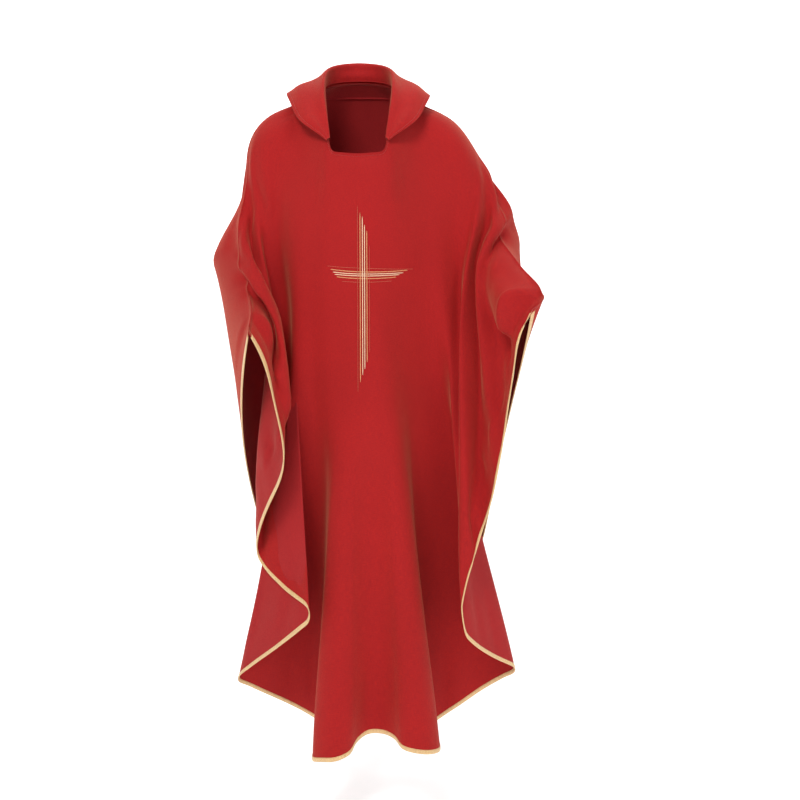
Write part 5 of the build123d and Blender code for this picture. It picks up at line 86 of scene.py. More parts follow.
(-586,-805,-408,-699,-885,-622,-788,-928,-857,-857,-943,-1102,-923,-953,-1348,-986,-964,-1595,-1044,-975,-1843,-1093,-982,-2093,-1136,-987,-2345,-1172,-991,-2597,-1203,-994,-2850,-1228,-996,-3104,-1250,-996,-3358,-1264,-995,-3612,-1277,-989,-3864,-1287,-977,-4116,-1295,-972,-4366,-1299,-982,-4613,-1298,-999,-4859,-1291,-1027,-5102,-1281,-1064,-5343,-1267,-1105,-5582,-1253,-1145,-5822,-1243,-1176,-6065,-1236,-1197,-6309,-1228,-1218,-6554,-1220,-1239,-6799,-1212,-1260,-7045,-1204,-1282,-7290,-1196,-1303,-7535,-1188,-1324,-7780,-1179,-1346,-8024,-1170,-1369,-8267,-1162,-1393,-8510,-1157,-1415,-8754,-1160,-1437,-9000,-1168,-1466,-9246,-1175,-1505,-9491,-1175,-1554,-9727,-1171,-1602,-9954,-1164,-1644,-10182),
(-582,-835,-441,-690,-916,-662,-774,-958,-903,-839,-972,-1153,-900,-980,-1404,-960,-990,-1656,-1014,-1000,-1909,-1062,-1007,-2163,-1103,-1012,-2418,-1139,-1018,-2675,-1170,-1023,-2932,-1196,-1028,-3189,-1220,-1031,-3447,-1238,-1033,-3705,-1257,-1031,-3961,-1274,-1023,-4218,-1290,-1020,-4473,-1300,-1028,-4724,-1307,-1040,-4973,-1309,-1060,-5220,-1308,-1086,-5464,-1303,-1114,-5707,-1298,-1142,-5951,-1295,-1163,-6197,-1295,-1178,-6446,-1294,-1193,-6694,-1292,-1208,-6943,-1290,-1224,-7192,-1288,-1240,-7441,-1285,-1256,-7690,-1281,-1272,-7939,-1278,-1289,-8186,-1275,-1307,-8433,-1273,-1323,-8679,-1275,-1336,-8928,-1284,-1345,-9182,-1302,-1356,-9433,-1323,-1375,-9678,-1339,-1405,-9918,-1345,-1444,-10152,-1349,-1488,-10381),
(-578,-864,-475,-680,-945,-702,-759,-986,-949,-819,-998,-1204,-876,-1005,-1460,-932,-1015,-1716,-983,-1025,-1973,-1029,-1031,-2232,-1068,-1036,-2491,-1104,-1042,-2751,-1135,-1049,-3011,-1162,-1056,-3272,-1186,-1062,-3534,-1208,-1067,-3795,-1232,-1068,-4056,-1257,-1064,-4318,-1280,-1064,-4577,-1297,-1070,-4833,-1312,-1078,-5086,-1324,-1089,-5336,-1332,-1103,-5584,-1337,-1118,-5830,-1342,-1133,-6077,-1348,-1145,-6326,-1356,-1154,-6579,-1363,-1162,-6831,-1369,-1171,-7084,-1374,-1181,-7337,-1379,-1191,-7589,-1383,-1201,-7842,-1387,-1211,-8094,-1390,-1222,-8346,-1394,-1232,-8595,-1400,-1242,-8844,-1409,-1250,-9093,-1423,-1258,-9343,-1441,-1266,-9595,-1461,-1270,-9849,-1483,-1274,-10100,-1508,-1293,-10342,-1536,-1328,-10575),
(-573,-893,-509,-670,-974,-742,-743,-1014,-995,-798,-1024,-1254,-851,-1030,-1515,-903,-1039,-1775,-951,-1048,-2036,-994,-1054,-2299,-1032,-1059,-2562,-1067,-1065,-2825,-1097,-1073,-3089,-1125,-1081,-3353,-1150,-1088,-3618,-1174,-1095,-3882,-1203,-1100,-4148,-1234,-1101,-4415,-1263,-1103,-4679,-1287,-1107,-4939,-1310,-1110,-5196,-1331,-1112,-5450,-1350,-1115,-5701,-1366,-1117,-5951,-1381,-1120,-6200,-1398,-1122,-6453,-1415,-1124,-6710,-1431,-1126,-6966,-1447,-1128,-7222,-1462,-1131,-7479,-1475,-1134,-7735,-1488,-1137,-7992,-1500,-1140,-8248,-1511,-1142,-8503,-1523,-1143,-8758,-1536,-1143,-9011,-1554,-1142,-9264,-1579,-1145,-9516,-1609,-1150,-9766,-1635,-1151,-10016,-1657,-1147,-10268,-1684,-1150,-10519,-1723,-1166,-10767),
(-568,-921,-544,-660,-1002,-783,-726,-1040,-1040,-776,-1048,-1304,-824,-1054,-1568,-873,-1063,-1833,-918,-1071,-2097,-959,-1076,-2363,-995,-1080,-2629,-1028,-1086,-2896,-1058,-1093,-3163,-1085,-1101,-3430,-1110,-1109,-3698,-1136,-1118,-3965,-1168,-1126,-4236,-1204,-1131,-4508,-1237,-1135,-4777,-1267,-1137,-5041,-1298,-1135,-5302,-1329,-1129,-5560,-1359,-1121,-5814,-1387,-1111,-6067,-1414,-1101,-6320,-1442,-1094,-6577,-1469,-1089,-6837,-1496,-1084,-7097,-1522,-1080,-7357,-1547,-1075,-7618,-1571,-1071,-7878,-1595,-1065,-8138,-1617,-1060,-8398,-1636,-1052,-8657,-1655,-1041,-8916,-1675,-1028,-9174,-1699,-1018,-9433,-1727,-1013,-9691,-1760,-1010,-9944,-1797,-1003,-10195,-1833,-993,-10447,-1869,-990,-10701,-1909,-998,-10954),
(-563,-949,-578,-650,-1030,-822,-712,-1066,-1084,-757,-1073,-1351,-801,-1078,-1619,-845,-1086,-1887,-886,-1094,-2155,-924,-1098,-2424,-958,-1101,-2693,-989,-1106,-2963,-1017,-1112,-3233,-1044,-1119,-3503,-1068,-1127,-3773,-1094,-1136,-4044,-1127,-1145,-4319,-1165,-1154,-4596,-1202,-1160,-4869,-1237,-1158,-5138,-1276,-1152,-5404,-1316,-1138,-5665,-1357,-1120,-5923,-1398,-1098,-6180,-1438,-1077,-6436,-1477,-1061,-6697,-1515,-1050,-6961,-1551,-1038,-7225,-1588,-1027,-7489,-1624,-1015,-7753,-1660,-1003,-8017,-1694,-990,-8281,-1727,-975,-8545,-1757,-956,-8808,-1785,-933,-9070,-1813,-908,-9332,-1842,-888,-9594,-1872,-873,-9856,-1910,-861,-10114,-1958,-848,-10367,-2007,-835,-10621,-2052,-827,-10879,-2095,-827,-11140),
(-558,-977,-614,-640,-1057,-862,-697,-1092,-1127,-737,-1097,-1398,-777,-1100,-1669,-816,-1108,-1939,-854,-1116,-2210,-888,-1119,-2482,-919,-1122,-2754,-948,-1125,-3026,-975,-1129,-3299,-1000,-1135,-3571,-1024,-1141,-3844,-1048,-1149,-4116,-1082,-1159,-4397,-1120,-1169,-4678,-1158,-1175,-4956,-1197,-1171,-5229,-1242,-1159,-5499,-1292,-1139,-5765,-1345,-1111,-6028,-1398,-1079,-6288,-1452,-1048,-6549,-1502,-1024,-6814,-1548,-1007,-7083,-1595,-990,-7352,-1641,-973,-7620,-1687,-955,-7889,-1733,-936,-8157,-1779,-915,-8425,-1823,-891,-8693,-1864,-863,-8960,-1903,-830,-9226,-1941,-795,-9490,-1980,-763,-9754,-2018,-736,-10021,-2058,-716,-10288,-2108,-697,-10551,-2167,-679,-10811,-2225,-666,-11070,-2277,-658,-11331),
(-552,-1001,-650,-629,-1081,-902,-681,-1116,-1170,-716,-1120,-1443,-751,-1122,-1717,-786,-1130,-1990,-820,-1137,-2263,-851,-1140,-2537,-880,-1142,-2811,-907,-1143,-3085,-932,-1146,-3360,-955,-1149,-3634,-978,-1153,-3909,-1001,-1159,-4183,-1033,-1168,-4468,-1070,-1178,-4753,-1107,-1183,-5036,-1150,-1175,-5314,-1202,-1159,-5588,-1261,-1133,-5859,-1325,-1097,-6127,-1392,-1057,-6393,-1459,-1018,-6659,-1520,-987,-6929,-1574,-966,-7203,-1629,-943,-7476,-1684,-921,-7750,-1739,-898,-8023,-1794,-874,-8297,-1850,-846,-8570,-1904,-816,-8842,-1957,-782,-9114,-2007,-744,-9384,-2060,-705,-9652,-2114,-666,-9920,-2169,-629,-10189,-2222,-593,-10458,-2272,-560,-10729,-2324,-534,-10999,-2388,-515,-11265,-2465,-503,-11527),
(-545,-1023,-689,-617,-1105,-943,-665,-1141,-1212,-696,-1145,-1488,-726,-1147,-1763,-756,-1153,-2038,-786,-1159,-2313,-814,-1162,-2589,-841,-1163,-2864,-865,-1163,-3140,-888,-1163,-3416,-910,-1164,-3692,-931,-1165,-3968,-953,-1169,-4244,-982,-1175,-4532,-1016,-1183,-4822,-1052,-1185,-5109,-1095,-1171,-5391,-1149,-1149,-5671,-1211,-1114,-5948,-1280,-1069,-6222,-1353,-1018,-6494,-1425,-969,-6767,-1490,-930,-7043,-1547,-902,-7322,-1604,-873,-7602,-1662,-845,-7881,-1719,-816,-8160,-1778,-785,-8439,-1837,-751,-8717,-1896,-714,-8995,-1953,-676,-9273,-2011,-636,-9549,-2070,-594,-9825,-2134,-554,-10100,-2202,-515,-10371,-2271,-476,-10641,-2336,-430,-10912,-2396,-379,-11185,-2455,-331,-11459,-2513,-292,-11736),
(-537,-1043,-728,-605,-1128,-983,-649,-1165,-1255,-675,-1170,-1531,-699,-1170,-1808,-725,-1175,-2084,-751,-1181,-2361,-776,-1183,-2638,-800,-1183,-2914,-823,-1182,-3191,-845,-1181,-3468,-865,-1179,-3745,-885,-1178,-4023,-905,-1179,-4300,-931,-1182,-4591,-962,-1186,-4883,-994,-1184,-5174,-1033,-1165,-5460,-1081,-1136,-5744,-1137,-1093,-6025,-1200,-1040,-6303,-1266,-981,-6580,-1331,-924,-6858,-1389,-878,-7138,-1440,-843,-7421,-1491,-809,-7705,-1542,-774,-7988,-1593,-740,-8271,-1646,-705,-8554,-1700,-667,-8836,-1754,-627,-9118,-1807,-586,-9400,-1861,-546,-9683,-1918,-503,-9966,-1978,-456,-10247,-2038,-406,-10525,-2097,-352,-10800,-2154,-297,-11076,-2212,-239,-11351,-2269,-175,-11625,-2326,-108,-11897),
(-528,-1062,-768,-592,-1150,-1024,-631,-1189,-1296,-652,-1193,-1573,-671,-1193,-1851,-693,-1197,-2129,-715,-1201,-2406,-737,-1203,-2684,-759,-1203,-2961,-780,-1201,-3239,-800,-1199,-3516,-819,-1196,-3794,-838,-1193,-4072,-857,-1191,-4350,-881,-1190,-4644,-908,-1190,-4939,-936,-1183,-5233,-970,-1160,-5523,-1011,-1127,-5810,-1059,-1081,-6096,-1111,-1024,-6378,-1166,-961,-6660,-1221,-900,-6942,-1269,-850,-7227,-1312,-812,-7514,-1354,-774,-7802,-1396,-736,-8090,-1438,-699,-8377,-1481,-662,-8663,-1528,-624,-8948,-1574,-584,-9233,-1620,-544,-9520,-1666,-504,-9809,-1716,-458,-10098,-1767,-404,-10385,-1818,-342,-10667,-1868,-275,-10945,-1919,-207,-11221,-1970,-141,-11498,-2021,-78,-11777,-2073,-16,-12057),
(-517,-1081,-806,-576,-1172,-1063,-610,-1212,-1336,-626,-1216,-1614,-641,-1214,-1892,-658,-1217,-2170,-677,-1220,-2448,-697,-1222,-2726,-717,-1222,-3004,-736,-1221,-3282,-755,-1218,-3560,-774,-1214,-3838,-792,-1210,-4116,-810,-1207,-4394,-832,-1203,-4691,-856,-1197,-4989,-880,-1187,-5285,-910,-1161,-5579,-943,-1124,-5870,-981,-1074,-6159,-1023,-1013,-6447,-1067,-948,-6733,-1109,-884,-7020,-1148,-831,-7309,-1182,-789,-7600,-1215,-747,-7891,-1248,-705,-8183,-1280,-665,-8474,-1316,-626,-8763,-1354,-588,-9051,-1392,-547,-9340,-1430,-505,-9631,-1468,-460,-9924,-1509,-409,-10216,-1551,-350,-10507,-1592,-286,-10795,-1635,-222,-11082,-1678,-159,-11367,-1722,-93,-11650,-1764,-24,-11930,-1806,49,-12208),
(-500,-1099,-842,-554,-1192,-1098,-583,-1233,-1372,-596,-1237,-1650,-606,-1234,-1929,-620,-1235,-2208,-636,-1238,-2486,-654,-1240,-2764,-672,-1240,-3043,-691,-1239,-3321,-709,-1236,-3599,-727,-1233,-3878,-745,-1229,-4156,-763,-1225,-4434,-784,-1219,-4734,-805,-1210,-5033,-827,-1196,-5332,-851,-1168,-5629,-878,-1128,-5924,-907,-1075,-6218,-937,-1011,-6510,-969,-942,-6801,-1000,-875,-7093,-1029,-818,-7386,-1055,-772,-7681,-1079,-726,-7976,-1104,-680,-8271,-1128,-636,-8566,-1156,-594,-8859,-1186,-554,-9151,-1217,-511,-9443,-1247,-462,-9737,-1278,-410,-10033,-1310,-353,-10327,-1343,-291,-10619,-1376,-225,-10909,-1409,-157,-11198,-1442,-90,-11486,-1473,-25,-11775,-1504,37,-12066,-1535,96,-12358),
(-474,-1114,-870,-523,-1209,-1127,-549,-1252,-1402,-559,-1255,-1681,-567,-1252,-1960,-578,-1252,-2239,-591,-1254,-2518,-607,-1255,-2797,-625,-1256,-3075,-643,-1255,-3354,-661,-1254,-3633,-679,-1251,-3912,-696,-1249,-4190,-714,-1245,-4469,-734,-1238,-4771,-754,-1228,-5073,-774,-1213,-5374,-794,-1183,-5674,-814,-1141,-5973,-834,-1086,-6270,-853,-1020,-6567,-873,-949,-6864,-892,-879,-7161,-911,-819,-7459,-929,-771,-7758,-947,-721,-8056,-964,-671,-8355,-981,-623,-8654,-1002,-578,-8952,-1024,-534,-9247,-1048,-487,-9544,-1071,-434,-9842,-1093,-375,-10139,-1114,-315,-10436,-1135,-256,-10733,-1155,-200,-11031,-1175,-146,-11330,-1198,-90,-11628,-1221,-28,-11924,-1243,40,-12217,-1262,112,-12509),
(-439,-1126,-889,-484,-1224,-1147,-508,-1267,-1422,-515,-1271,-1702,-522,-1267,-1982,-531,-1266,-2262,-543,-1267,-2542,-558,-1269,-2821,-575,-1270,-3101,-592,-1270,-3381,-610,-1270,-3660,-627,-1269,-3940,-645,-1267,-4219,-663,-1265,-4499,-683,-1260,-4803,-702,-1250,-5106,-721,-1235,-5410,-736,-1207,-5713,-750,-1167,-6015,-761,-1113,-6317,-770,-1049,-6619,-777,-978,-6920,-785,-909,-7222,-795,-851,-7524,-807,-803,-7826,-817,-753,-8128,-828,-704,-8431,-839,-655,-8733,-853,-609,-9035,-868,-564,-9336,-884,-516,-9636,-899,-462,-9937,-911,-405,-10238,-921,-346,-10537,-930,-287,-10837,-940,-229,-11138,-950,-171,-11439,-960,-114,-11740,-970,-59,-12041,-981,-7,-12344,-992,42,-12647),
(-398,-1135,-898,-440,-1235,-1157,-461,-1279,-1433,-467,-1283,-1714,-472,-1280,-1996,-480,-1278,-2277,-491,-1279,-2558,-505,-1281,-2839,-521,-1283,-3120,-538,-1284,-3401,-555,-1285,-3681,-572,-1285,-3962,-590,-1285,-4243,-608,-1285,-4524,-627,-1281,-4829,-646,-1274,-5135,-664,-1262,-5440,-677,-1239,-5745,-686,-1204,-6049,-691,-1157,-6353,-691,-1101,-6657,-690,-1039,-6960,-690,-978,-7264,-693,-927,-7569,-700,-884,-7872,-706,-841,-8176,-711,-797,-8480,-718,-754,-8785,-727,-712,-9089,-737,-672,-9393,-746,-629,-9696,-753,-584,-9999,-757,-536,-10301,-757,-487,-10604,-757,-439,-10906,-756,-390,-11209,-757,-343,-11512,-758,-296,-11816,-761,-250,-12120,-766,-205,-12424,-774,-161,-12729),
(-354,-1142,-902,-392,-1244,-1162,-410,-1289,-1440,-416,-1294,-1722,-420,-1290,-2004,-427,-1289,-2287,-436,-1290,-2569,-449,-1292,-2851,-464,-1294,-3133,-480,-1296,-3415,-496,-1298,-3697,-513,-1300,-3979,-529,-1301,-4261,-547,-1303,-4543,-566,-1302,-4850,-585,-1299,-5157,-603,-1291,-5464,-616,-1274,-5770,-626,-1247,-6077,-631,-1211,-6383,-634,-1168,-6689,-634,-1120,-6995,-635,-1072,-7301,-639,-1032,-7607,-647,-999,-7913,-654,-966,-8219,-661,-933,-8525,-669,-900,-8831,-679,-868,-9138,-689,-836,-9444,-698,-804,-9749,-704,-771,-10055,-708,-737,-10360,-709,-704,-10666,-708,-670,-10972,-709,-636,-11278,-711,-601,-11583,-716,-564,-11889,-720,-527,-12195,-725,-490,-12500,-733,-454,-12806),
(-310,-1149,-905,-342,-1252,-1166,-359,-1298,-1444,-363,-1303,-1728,-366,-1300,-2011,-371,-1299,-2294,-380,-1300,-2577,-391,-1302,-2860,-404,-1304,-3143,-418,-1307,-3426,-433,-1310,-3709,-448,-1313,-3992,-464,-1316,-4275,-481,-1320,-4558,-499,-1322,-4866,-517,-1322,-5174,-535,-1318,-5482,-550,-1307,-5790,-565,-1290,-6098,-577,-1265,-6406,-588,-1235,-6714,-597,-1200,-7023,-606,-1167,-7331,-618,-1139,-7639,-631,-1117,-7947,-644,-1095,-8255,-657,-1072,-8563,-670,-1051,-8872,-684,-1029,-9180,-699,-1009,-9488,-714,-987,-9796,-726,-966,-10104,-738,-945,-10412,-748,-924,-10720,-758,-902,-11029,-766,-879,-11338,-773,-856,-11646,-779,-831,-11954,-788,-804,-12262,-800,-776,-12569,-817,-747,-12876),
(-266,-1157,-908,-293,-1260,-1170,-306,-1306,-1449,-309,-1312,-1732,-311,-1309,-2016,-315,-1309,-2300,-321,-1310,-2583,-330,-1312,-2867,-341,-1315,-3150,-353,-1319,-3434,-365,-1323,-3717,-378,-1327,-4000,-392,-1331,-4284,-408,-1335,-4567,-425,-1340,-4876,-441,-1343,-5184,-459,-1344,-5494,-477,-1340,-5803,-496,-1331,-6113,-515,-1317,-6424,-535,-1300,-6736,-554,-1280,-7048,-573,-1260,-7359,-592,-1244,-7670,-611,-1233,-7981,-630,-1222,-8291,-648,-1211,-8602,-667,-1200,-8912,-688,-1190,-9223,-708,-1180,-9534,-729,-1169,-9844,-749,-1159,-10155,-770,-1147,-10466,-791,-1135,-10776,-814,-1121,-11087,-837,-1105,-11398,-859,-1089,-11710,-876,-1074,-12022,-889,-1060,-12333,-898,-1048,-12644,-905,-1037,-12955),
(-221,-1164,-911,-242,-1268,-1173,-252,-1314,-1452,-254,-1320,-1736,-255,-1318,-2020,-257,-1318,-2303,-261,-1319,-2587,-267,-1322,-2871,-275,-1325,-3154,-284,-1330,-3438,-294,-1335,-3721,-304,-1340,-4005,-316,-1345,-4288,-329,-1352,-4572,-343,-1358,-4881,-358,-1364,-5190,-375,-1369,-5500,-394,-1371,-5811,-417,-1371,-6123,-442,-1369,-6437,-469,-1364,-6751,-497,-1359,-7067,-524,-1353,-7382,-550,-1350,-7696,-573,-1349,-8009,-597,-1349,-8321,-620,-1349,-8634,-644,-1349,-8947,-669,-1349,-9260,-694,-1349,-9573,-720,-1349,-9886,-746,-1348,-10199,-772,-1347,-10512,-799,-1346,-10825,-825,-1344,-11138,-851,-1342,-11452,-875,-1340,-11765,-900,-1339,-12079,-922,-1337,-12395,-941,-1334,-12711,-958,-1329,-13028),
(-177,-1171,-913,-192,-1275,-1176,-198,-1321,-1455,-198,-1328,-1739,-197,-1326,-2022,-198,-1327,-2306,-199,-1329,-2589,-202,-1331,-2873,-207,-1335,-3156,-212,-1341,-3440,-219,-1347,-3723,-226,-1354,-4006,-234,-1361,-4290,-244,-1369,-4573,-255,-1378,-4882,-267,-1386,-5191,-281,-1394,-5500,-297,-1401,-5810,-315,-1408,-6121,-336,-1414,-6432,-358,-1419,-6743,-381,-1424,-7055,-404,-1429,-7367,-425,-1435,-7678,-444,-1442,-7989,-464,-1449,-8299,-484,-1457,-8610,-504,-1465,-8921,-525,-1473,-9232,-545,-1480,-9542,-567,-1488,-9853,-588,-1495,-10165,-609,-1502,-10476,-630,-1510,-10787,-651,-1518,-11098,-671,-1528,-11409,-690,-1537,-11720,-707,-1543,-12032,-722,-1546,-12343,-737,-1548,-12654,-753,-1551,-12965),
(-133,-1178,-916,-141,-1282,-1179,-143,-1329,-1458,-141,-1335,-1741,-139,-1334,-2024,-138,-1335,-2307,-137,-1337,-2590,-137,-1340,-2873,-137,-1345,-3156,-139,-1351,-3439,-141,-1359,-3722,-144,-1368,-4006,-148,-1376,-4289,-154,-1386,-4571,-162,-1397,-4880,-170,-1409,-5189,-179,-1419,-5498,-189,-1429,-5806,-201,-1439,-6115,-214,-1447,-6424,-228,-1456,-6733,-243,-1464,-7042,-257,-1473,-7351,-271,-1482,-7660,-284,-1492,-7969,-298,-1503,-8278,-311,-1513,-8587,-324,-1524,-8895,-338,-1535,-9204,-351,-1546,-9513,-365,-1556,-9823,-378,-1568,-10132,-390,-1579,-10441,-402,-1590,-10750,-414,-1600,-11060,-424,-1608,-11369,-433,-1616,-11678,-442,-1625,-11987,-451,-1635,-12295,-461,-1643,-12603,-471,-1645,-12910),
(-89,-1186,-919,-91,-1289,-1182,-88,-1336,-1460,-85,-1342,-1742,-81,-1341,-2025,-77,-1342,-2308,-74,-1344,-2590,-70,-1348,-2873,-67,-1353,-3156,-64,-1360,-3438,-62,-1369,-3721,-60,-1380,-4003,-59,-1391,-4286,-61,-1403,-4568,-63,-1416,-4876,-66,-1431,-5184,-69,-1443,-5492,-74,-1452,-5799,-79,-1458,-6105,-86,-1461,-6410,-93,-1462,-6715,-101,-1461,-7019,-109,-1461,-7324,-116,-1464,-7629,-123,-1470,-7935,-130,-1476,-8241,-138,-1482,-8546,-145,-1488,-8852,-151,-1494,-9158,-158,-1500,-9464,-164,-1507,-9770,-169,-1514,-10076,-173,-1521,-10382,-177,-1529,-10688,-180,-1537,-10994,-183,-1543,-11300,-186,-1548,-11606,-189,-1550,-11911,-192,-1547,-12215,-197,-1537,-12517,-206,-1521,-12817),
(-44,-1192,-922,-40,-1296,-1184,-34,-1342,-1461,-28,-1348,-1743,-23,-1347,-2026,-17,-1347,-2308,-11,-1350,-2590,-4,-1353,-2872,4,-1358,-3154,11,-1366,-3437,19,-1377,-3719,25,-1389,-4001,31,-1402,-4282,35,-1416,-4564,39,-1432,-4872,43,-1449,-5179,45,-1463,-5485,45,-1468,-5789,42,-1468,-6090,37,-1461,-6389,29,-1449,-6686,21,-1434,-6983,12,-1420,-7279,6,-1412,-7578,1,-1409,-7878,-4,-1407,-8179,-9,-1405,-8480,-14,-1402,-8780,-18,-1399,-9081,-22,-1395,-9381,-25,-1392,-9682,-27,-1389,-9982,-29,-1387,-10282,-29,-1385,-10583,-29,-1384,-10882,-30,-1379,-11182,-31,-1367,-11481,-36,-1349,-11778,-47,-1328,-12072,-61,-1307,-12364,-71,-1289,-12658),
(0,-1195,-923,10,-1298,-1184,20,-1345,-1462,28,-1351,-1743,35,-1349,-2025,43,-1350,-2307,52,-1352,-2589,62,-1355,-2871,74,-1360,-3153,86,-1368,-3435,98,-1379,-3716,110,-1392,-3998,122,-1407,-4279,132,-1423,-4561,143,-1441,-4867,154,-1460,-5174,163,-1475,-5479,169,-1477,-5780,172,-1472,-6078,171,-1457,-6373,168,-1435,-6666,164,-1408,-6957,160,-1383,-7248,158,-1365,-7543,159,-1357,-7840,160,-1347,-8137,160,-1337,-8434,161,-1327,-8731,162,-1315,-9028,163,-1303,-9325,165,-1291,-9622,167,-1277,-9919,169,-1263,-10215,172,-1249,-10511,170,-1232,-10805,162,-1212,-11096,152,-1187,-11386,145,-1158,-11677,145,-1130,-11969,149,-1110,-12262,156,-1100,-12555),
(44,-1192,-922,59,-1297,-1183,73,-1345,-1460,84,-1352,-1741,93,-1349,-2023,102,-1349,-2305,114,-1350,-2587,127,-1353,-2869,143,-1357,-3151,159,-1365,-3432,176,-1376,-3714,193,-1389,-3995,211,-1404,-4277,227,-1421,-4558,245,-1440,-4864,263,-1460,-5170,280,-1475,-5474,294,-1478,-5775,304,-1473,-6073,312,-1458,-6368,317,-1435,-6661,321,-1408,-6952,325,-1381,-7244,332,-1364,-7538,341,-1354,-7835,350,-1344,-8132,359,-1333,-8429,367,-1321,-8726,376,-1308,-9023,384,-1294,-9320,392,-1278,-9617,400,-1261,-9913,408,-1243,-10210,415,-1221,-10506,420,-1199,-10800,423,-1180,-11093,426,-1163,-11382,433,-1140,-11671,442,-1116,-11963,449,-1100,-12257,454,-1093,-12552),
(89,-1186,-919,109,-1292,-1179,126,-1342,-1456,139,-1349,-1738,150,-1346,-2021,161,-1344,-2303,175,-1345,-2585,191,-1346,-2867,210,-1350,-3149,230,-1356,-3431,252,-1366,-3712,274,-1378,-3993,296,-1391,-4275,318,-1408,-4556,343,-1426,-4861,368,-1445,-5167,392,-1461,-5471,411,-1466,-5773,428,-1466,-6073,442,-1458,-6370,452,-1444,-6666,462,-1427,-6960,472,-1410,-7255,485,-1400,-7552,501,-1396,-7850,516,-1391,-8149,532,-1385,-8448,547,-1379,-8746,561,-1371,-9045,575,-1363,-9344,589,-1353,-9642,601,-1342,-9941,613,-1330,-10239,625,-1315,-10537,636,-1300,-10836,648,-1289,-11135,659,-1283,-11432,665,-1282,-11728,672,-1278,-12020,683,-1269,-12311,695,-1256,-12605),
(133,-1178,-916,159,-1286,-1176,180,-1337,-1453,194,-1344,-1735,206,-1340,-2018,219,-1337,-2300,234,-1336,-2583,253,-1336,-2865,274,-1337,-3147,298,-1341,-3429,324,-1349,-3711,350,-1358,-3992,377,-1369,-4274,404,-1383,-4555,433,-1399,-4860,463,-1416,-5166,492,-1430,-5471,515,-1439,-5774,536,-1445,-6077,552,-1447,-6380,566,-1447,-6681,577,-1444,-6982,589,-1441,-7283,605,-1442,-7585,625,-1446,-7887,644,-1449,-8190,664,-1452,-8492,683,-1454,-8794,701,-1456,-9097,719,-1457,-9399,736,-1458,-9702,752,-1459,-10004,767,-1460,-10307,781,-1461,-10610,793,-1464,-10913,803,-1469,-11215,810,-1477,-11517,816,-1485,-11818,824,-1490,-12119,836,-1487,-12420,853,-1478,-12720),
(177,-1171,-913,208,-1279,-1173,232,-1330,-1450,249,-1338,-1732,262,-1332,-2015,276,-1328,-2298,293,-1324,-2581,313,-1322,-2863,337,-1321,-3146,363,-1322,-3428,392,-1326,-3710,422,-1331,-3991,452,-1339,-4273,482,-1349,-4555,514,-1360,-4860,548,-1372,-5166,580,-1383,-5471,609,-1393,-5775,636,-1402,-6080,660,-1411,-6384,681,-1419,-6688,702,-1426,-6991,723,-1434,-7294,747,-1442,-7598,773,-1450,-7902,800,-1458,-8206,827,-1467,-8511,853,-1475,-8815,879,-1483,-9119,905,-1492,-9423,930,-1501,-9727,954,-1510,-10031,978,-1521,-10336,1000,-1534,-10640,1019,-1548,-10945,1037,-1562,-11249,1053,-1573,-11554,1069,-1580,-11858,1086,-1583,-12161,1103,-1585,-12464,1122,-1592,-12766),
(221,-1164,-911,258,-1272,-1170,285,-1323,-1447,303,-1330,-1729,317,-1323,-2013,332,-1316,-2296,351,-1311,-2579,372,-1306,-2862,397,-1302,-3144,426,-1299,-3426,456,-1298,-3708,489,-1299,-3990,521,-1301,-4272,553,-1306,-4554,587,-1312,-4860,621,-1317,-5165,655,-1323,-5471,689,-1329,-5777,721,-1337,-6082,753,-1345,-6388,785,-1354,-6694,816,-1364,-7000,848,-1373,-7306,880,-1381,-7612,913,-1389,-7917,946,-1397,-8223,980,-1404,-8529,1014,-1412,-8834,1047,-1421,-9140,1080,-1430,-9446,1114,-1440,-9751,1147,-1450,-10057,1180,-1462,-10363,1213,-1474,-10669,1245,-1486,-10975,1276,-1497,-11281,1304,-1507,-11587,1331,-1516,-11893,1356,-1524,-12199,1380,-1529,-12505,1402,-1531,-12810),
(266,-1157,-908,307,-1264,-1167,337,-1315,-1443,357,-1320,-1727,372,-1312,-2010,388,-1303,-2293,407,-1295,-2576,430,-1288,-2859,456,-1280,-3142,485,-1273,-3424,517,-1268,-3706,551,-1263,-3988,586,-1259,-4270,618,-1258,-4552,651,-1257,-4858,685,-1256,-5164,719,-1254,-5470,754,-1255,-5776,790,-1255,-6083,827,-1257,-6391,864,-1260,-6699,902,-1263,-7007,939,-1266,-7315,976,-1268,-7623,1013,-1268,-7930,1049,-1270,-8237,1086,-1271,-8544,1122,-1273,-8851,1159,-1275,-9159,1196,-1278,-9466,1233,-1281,-9773,1271,-1284,-10080,1309,-1288,-10388,1348,-1291,-10695,1388,-1293,-11002,1427,-1295,-11309,1465,-1297,-11617,1501,-1299,-11924,1534,-1302,-12232,1563,-1304,-12540,1590,-1304,-12848),
(310,-1149,-905,357,-1256,-1163,389,-1306,-1440,410,-1310,-1723,426,-1299,-2007,443,-1288,-2290,463,-1279,-2573,486,-1268,-2856,513,-1258,-3138,542,-1247,-3421,575,-1236,-3702,610,-1226,-3984,645,-1216,-4266,678,-1208,-4548,710,-1200,-4854,742,-1192,-5160,775,-1183,-5466,808,-1176,-5772,842,-1168,-6079,877,-1161,-6387,911,-1154,-6695,946,-1147,-7003,980,-1140,-7311,1014,-1133,-7619,1048,-1125,-7926,1081,-1118,-8234,1114,-1110,-8541,1148,-1103,-8848,1181,-1095,-9156,1215,-1088,-9463,1248,-1081,-9771,1283,-1074,-10078,1317,-1067,-10385,1353,-1060,-10693,1389,-1053,-11000,1424,-1047,-11307,1458,-1041,-11615,1491,-1035,-11922,1525,-1029,-12229,1561,-1022,-12536,1599,-1015,-12843),
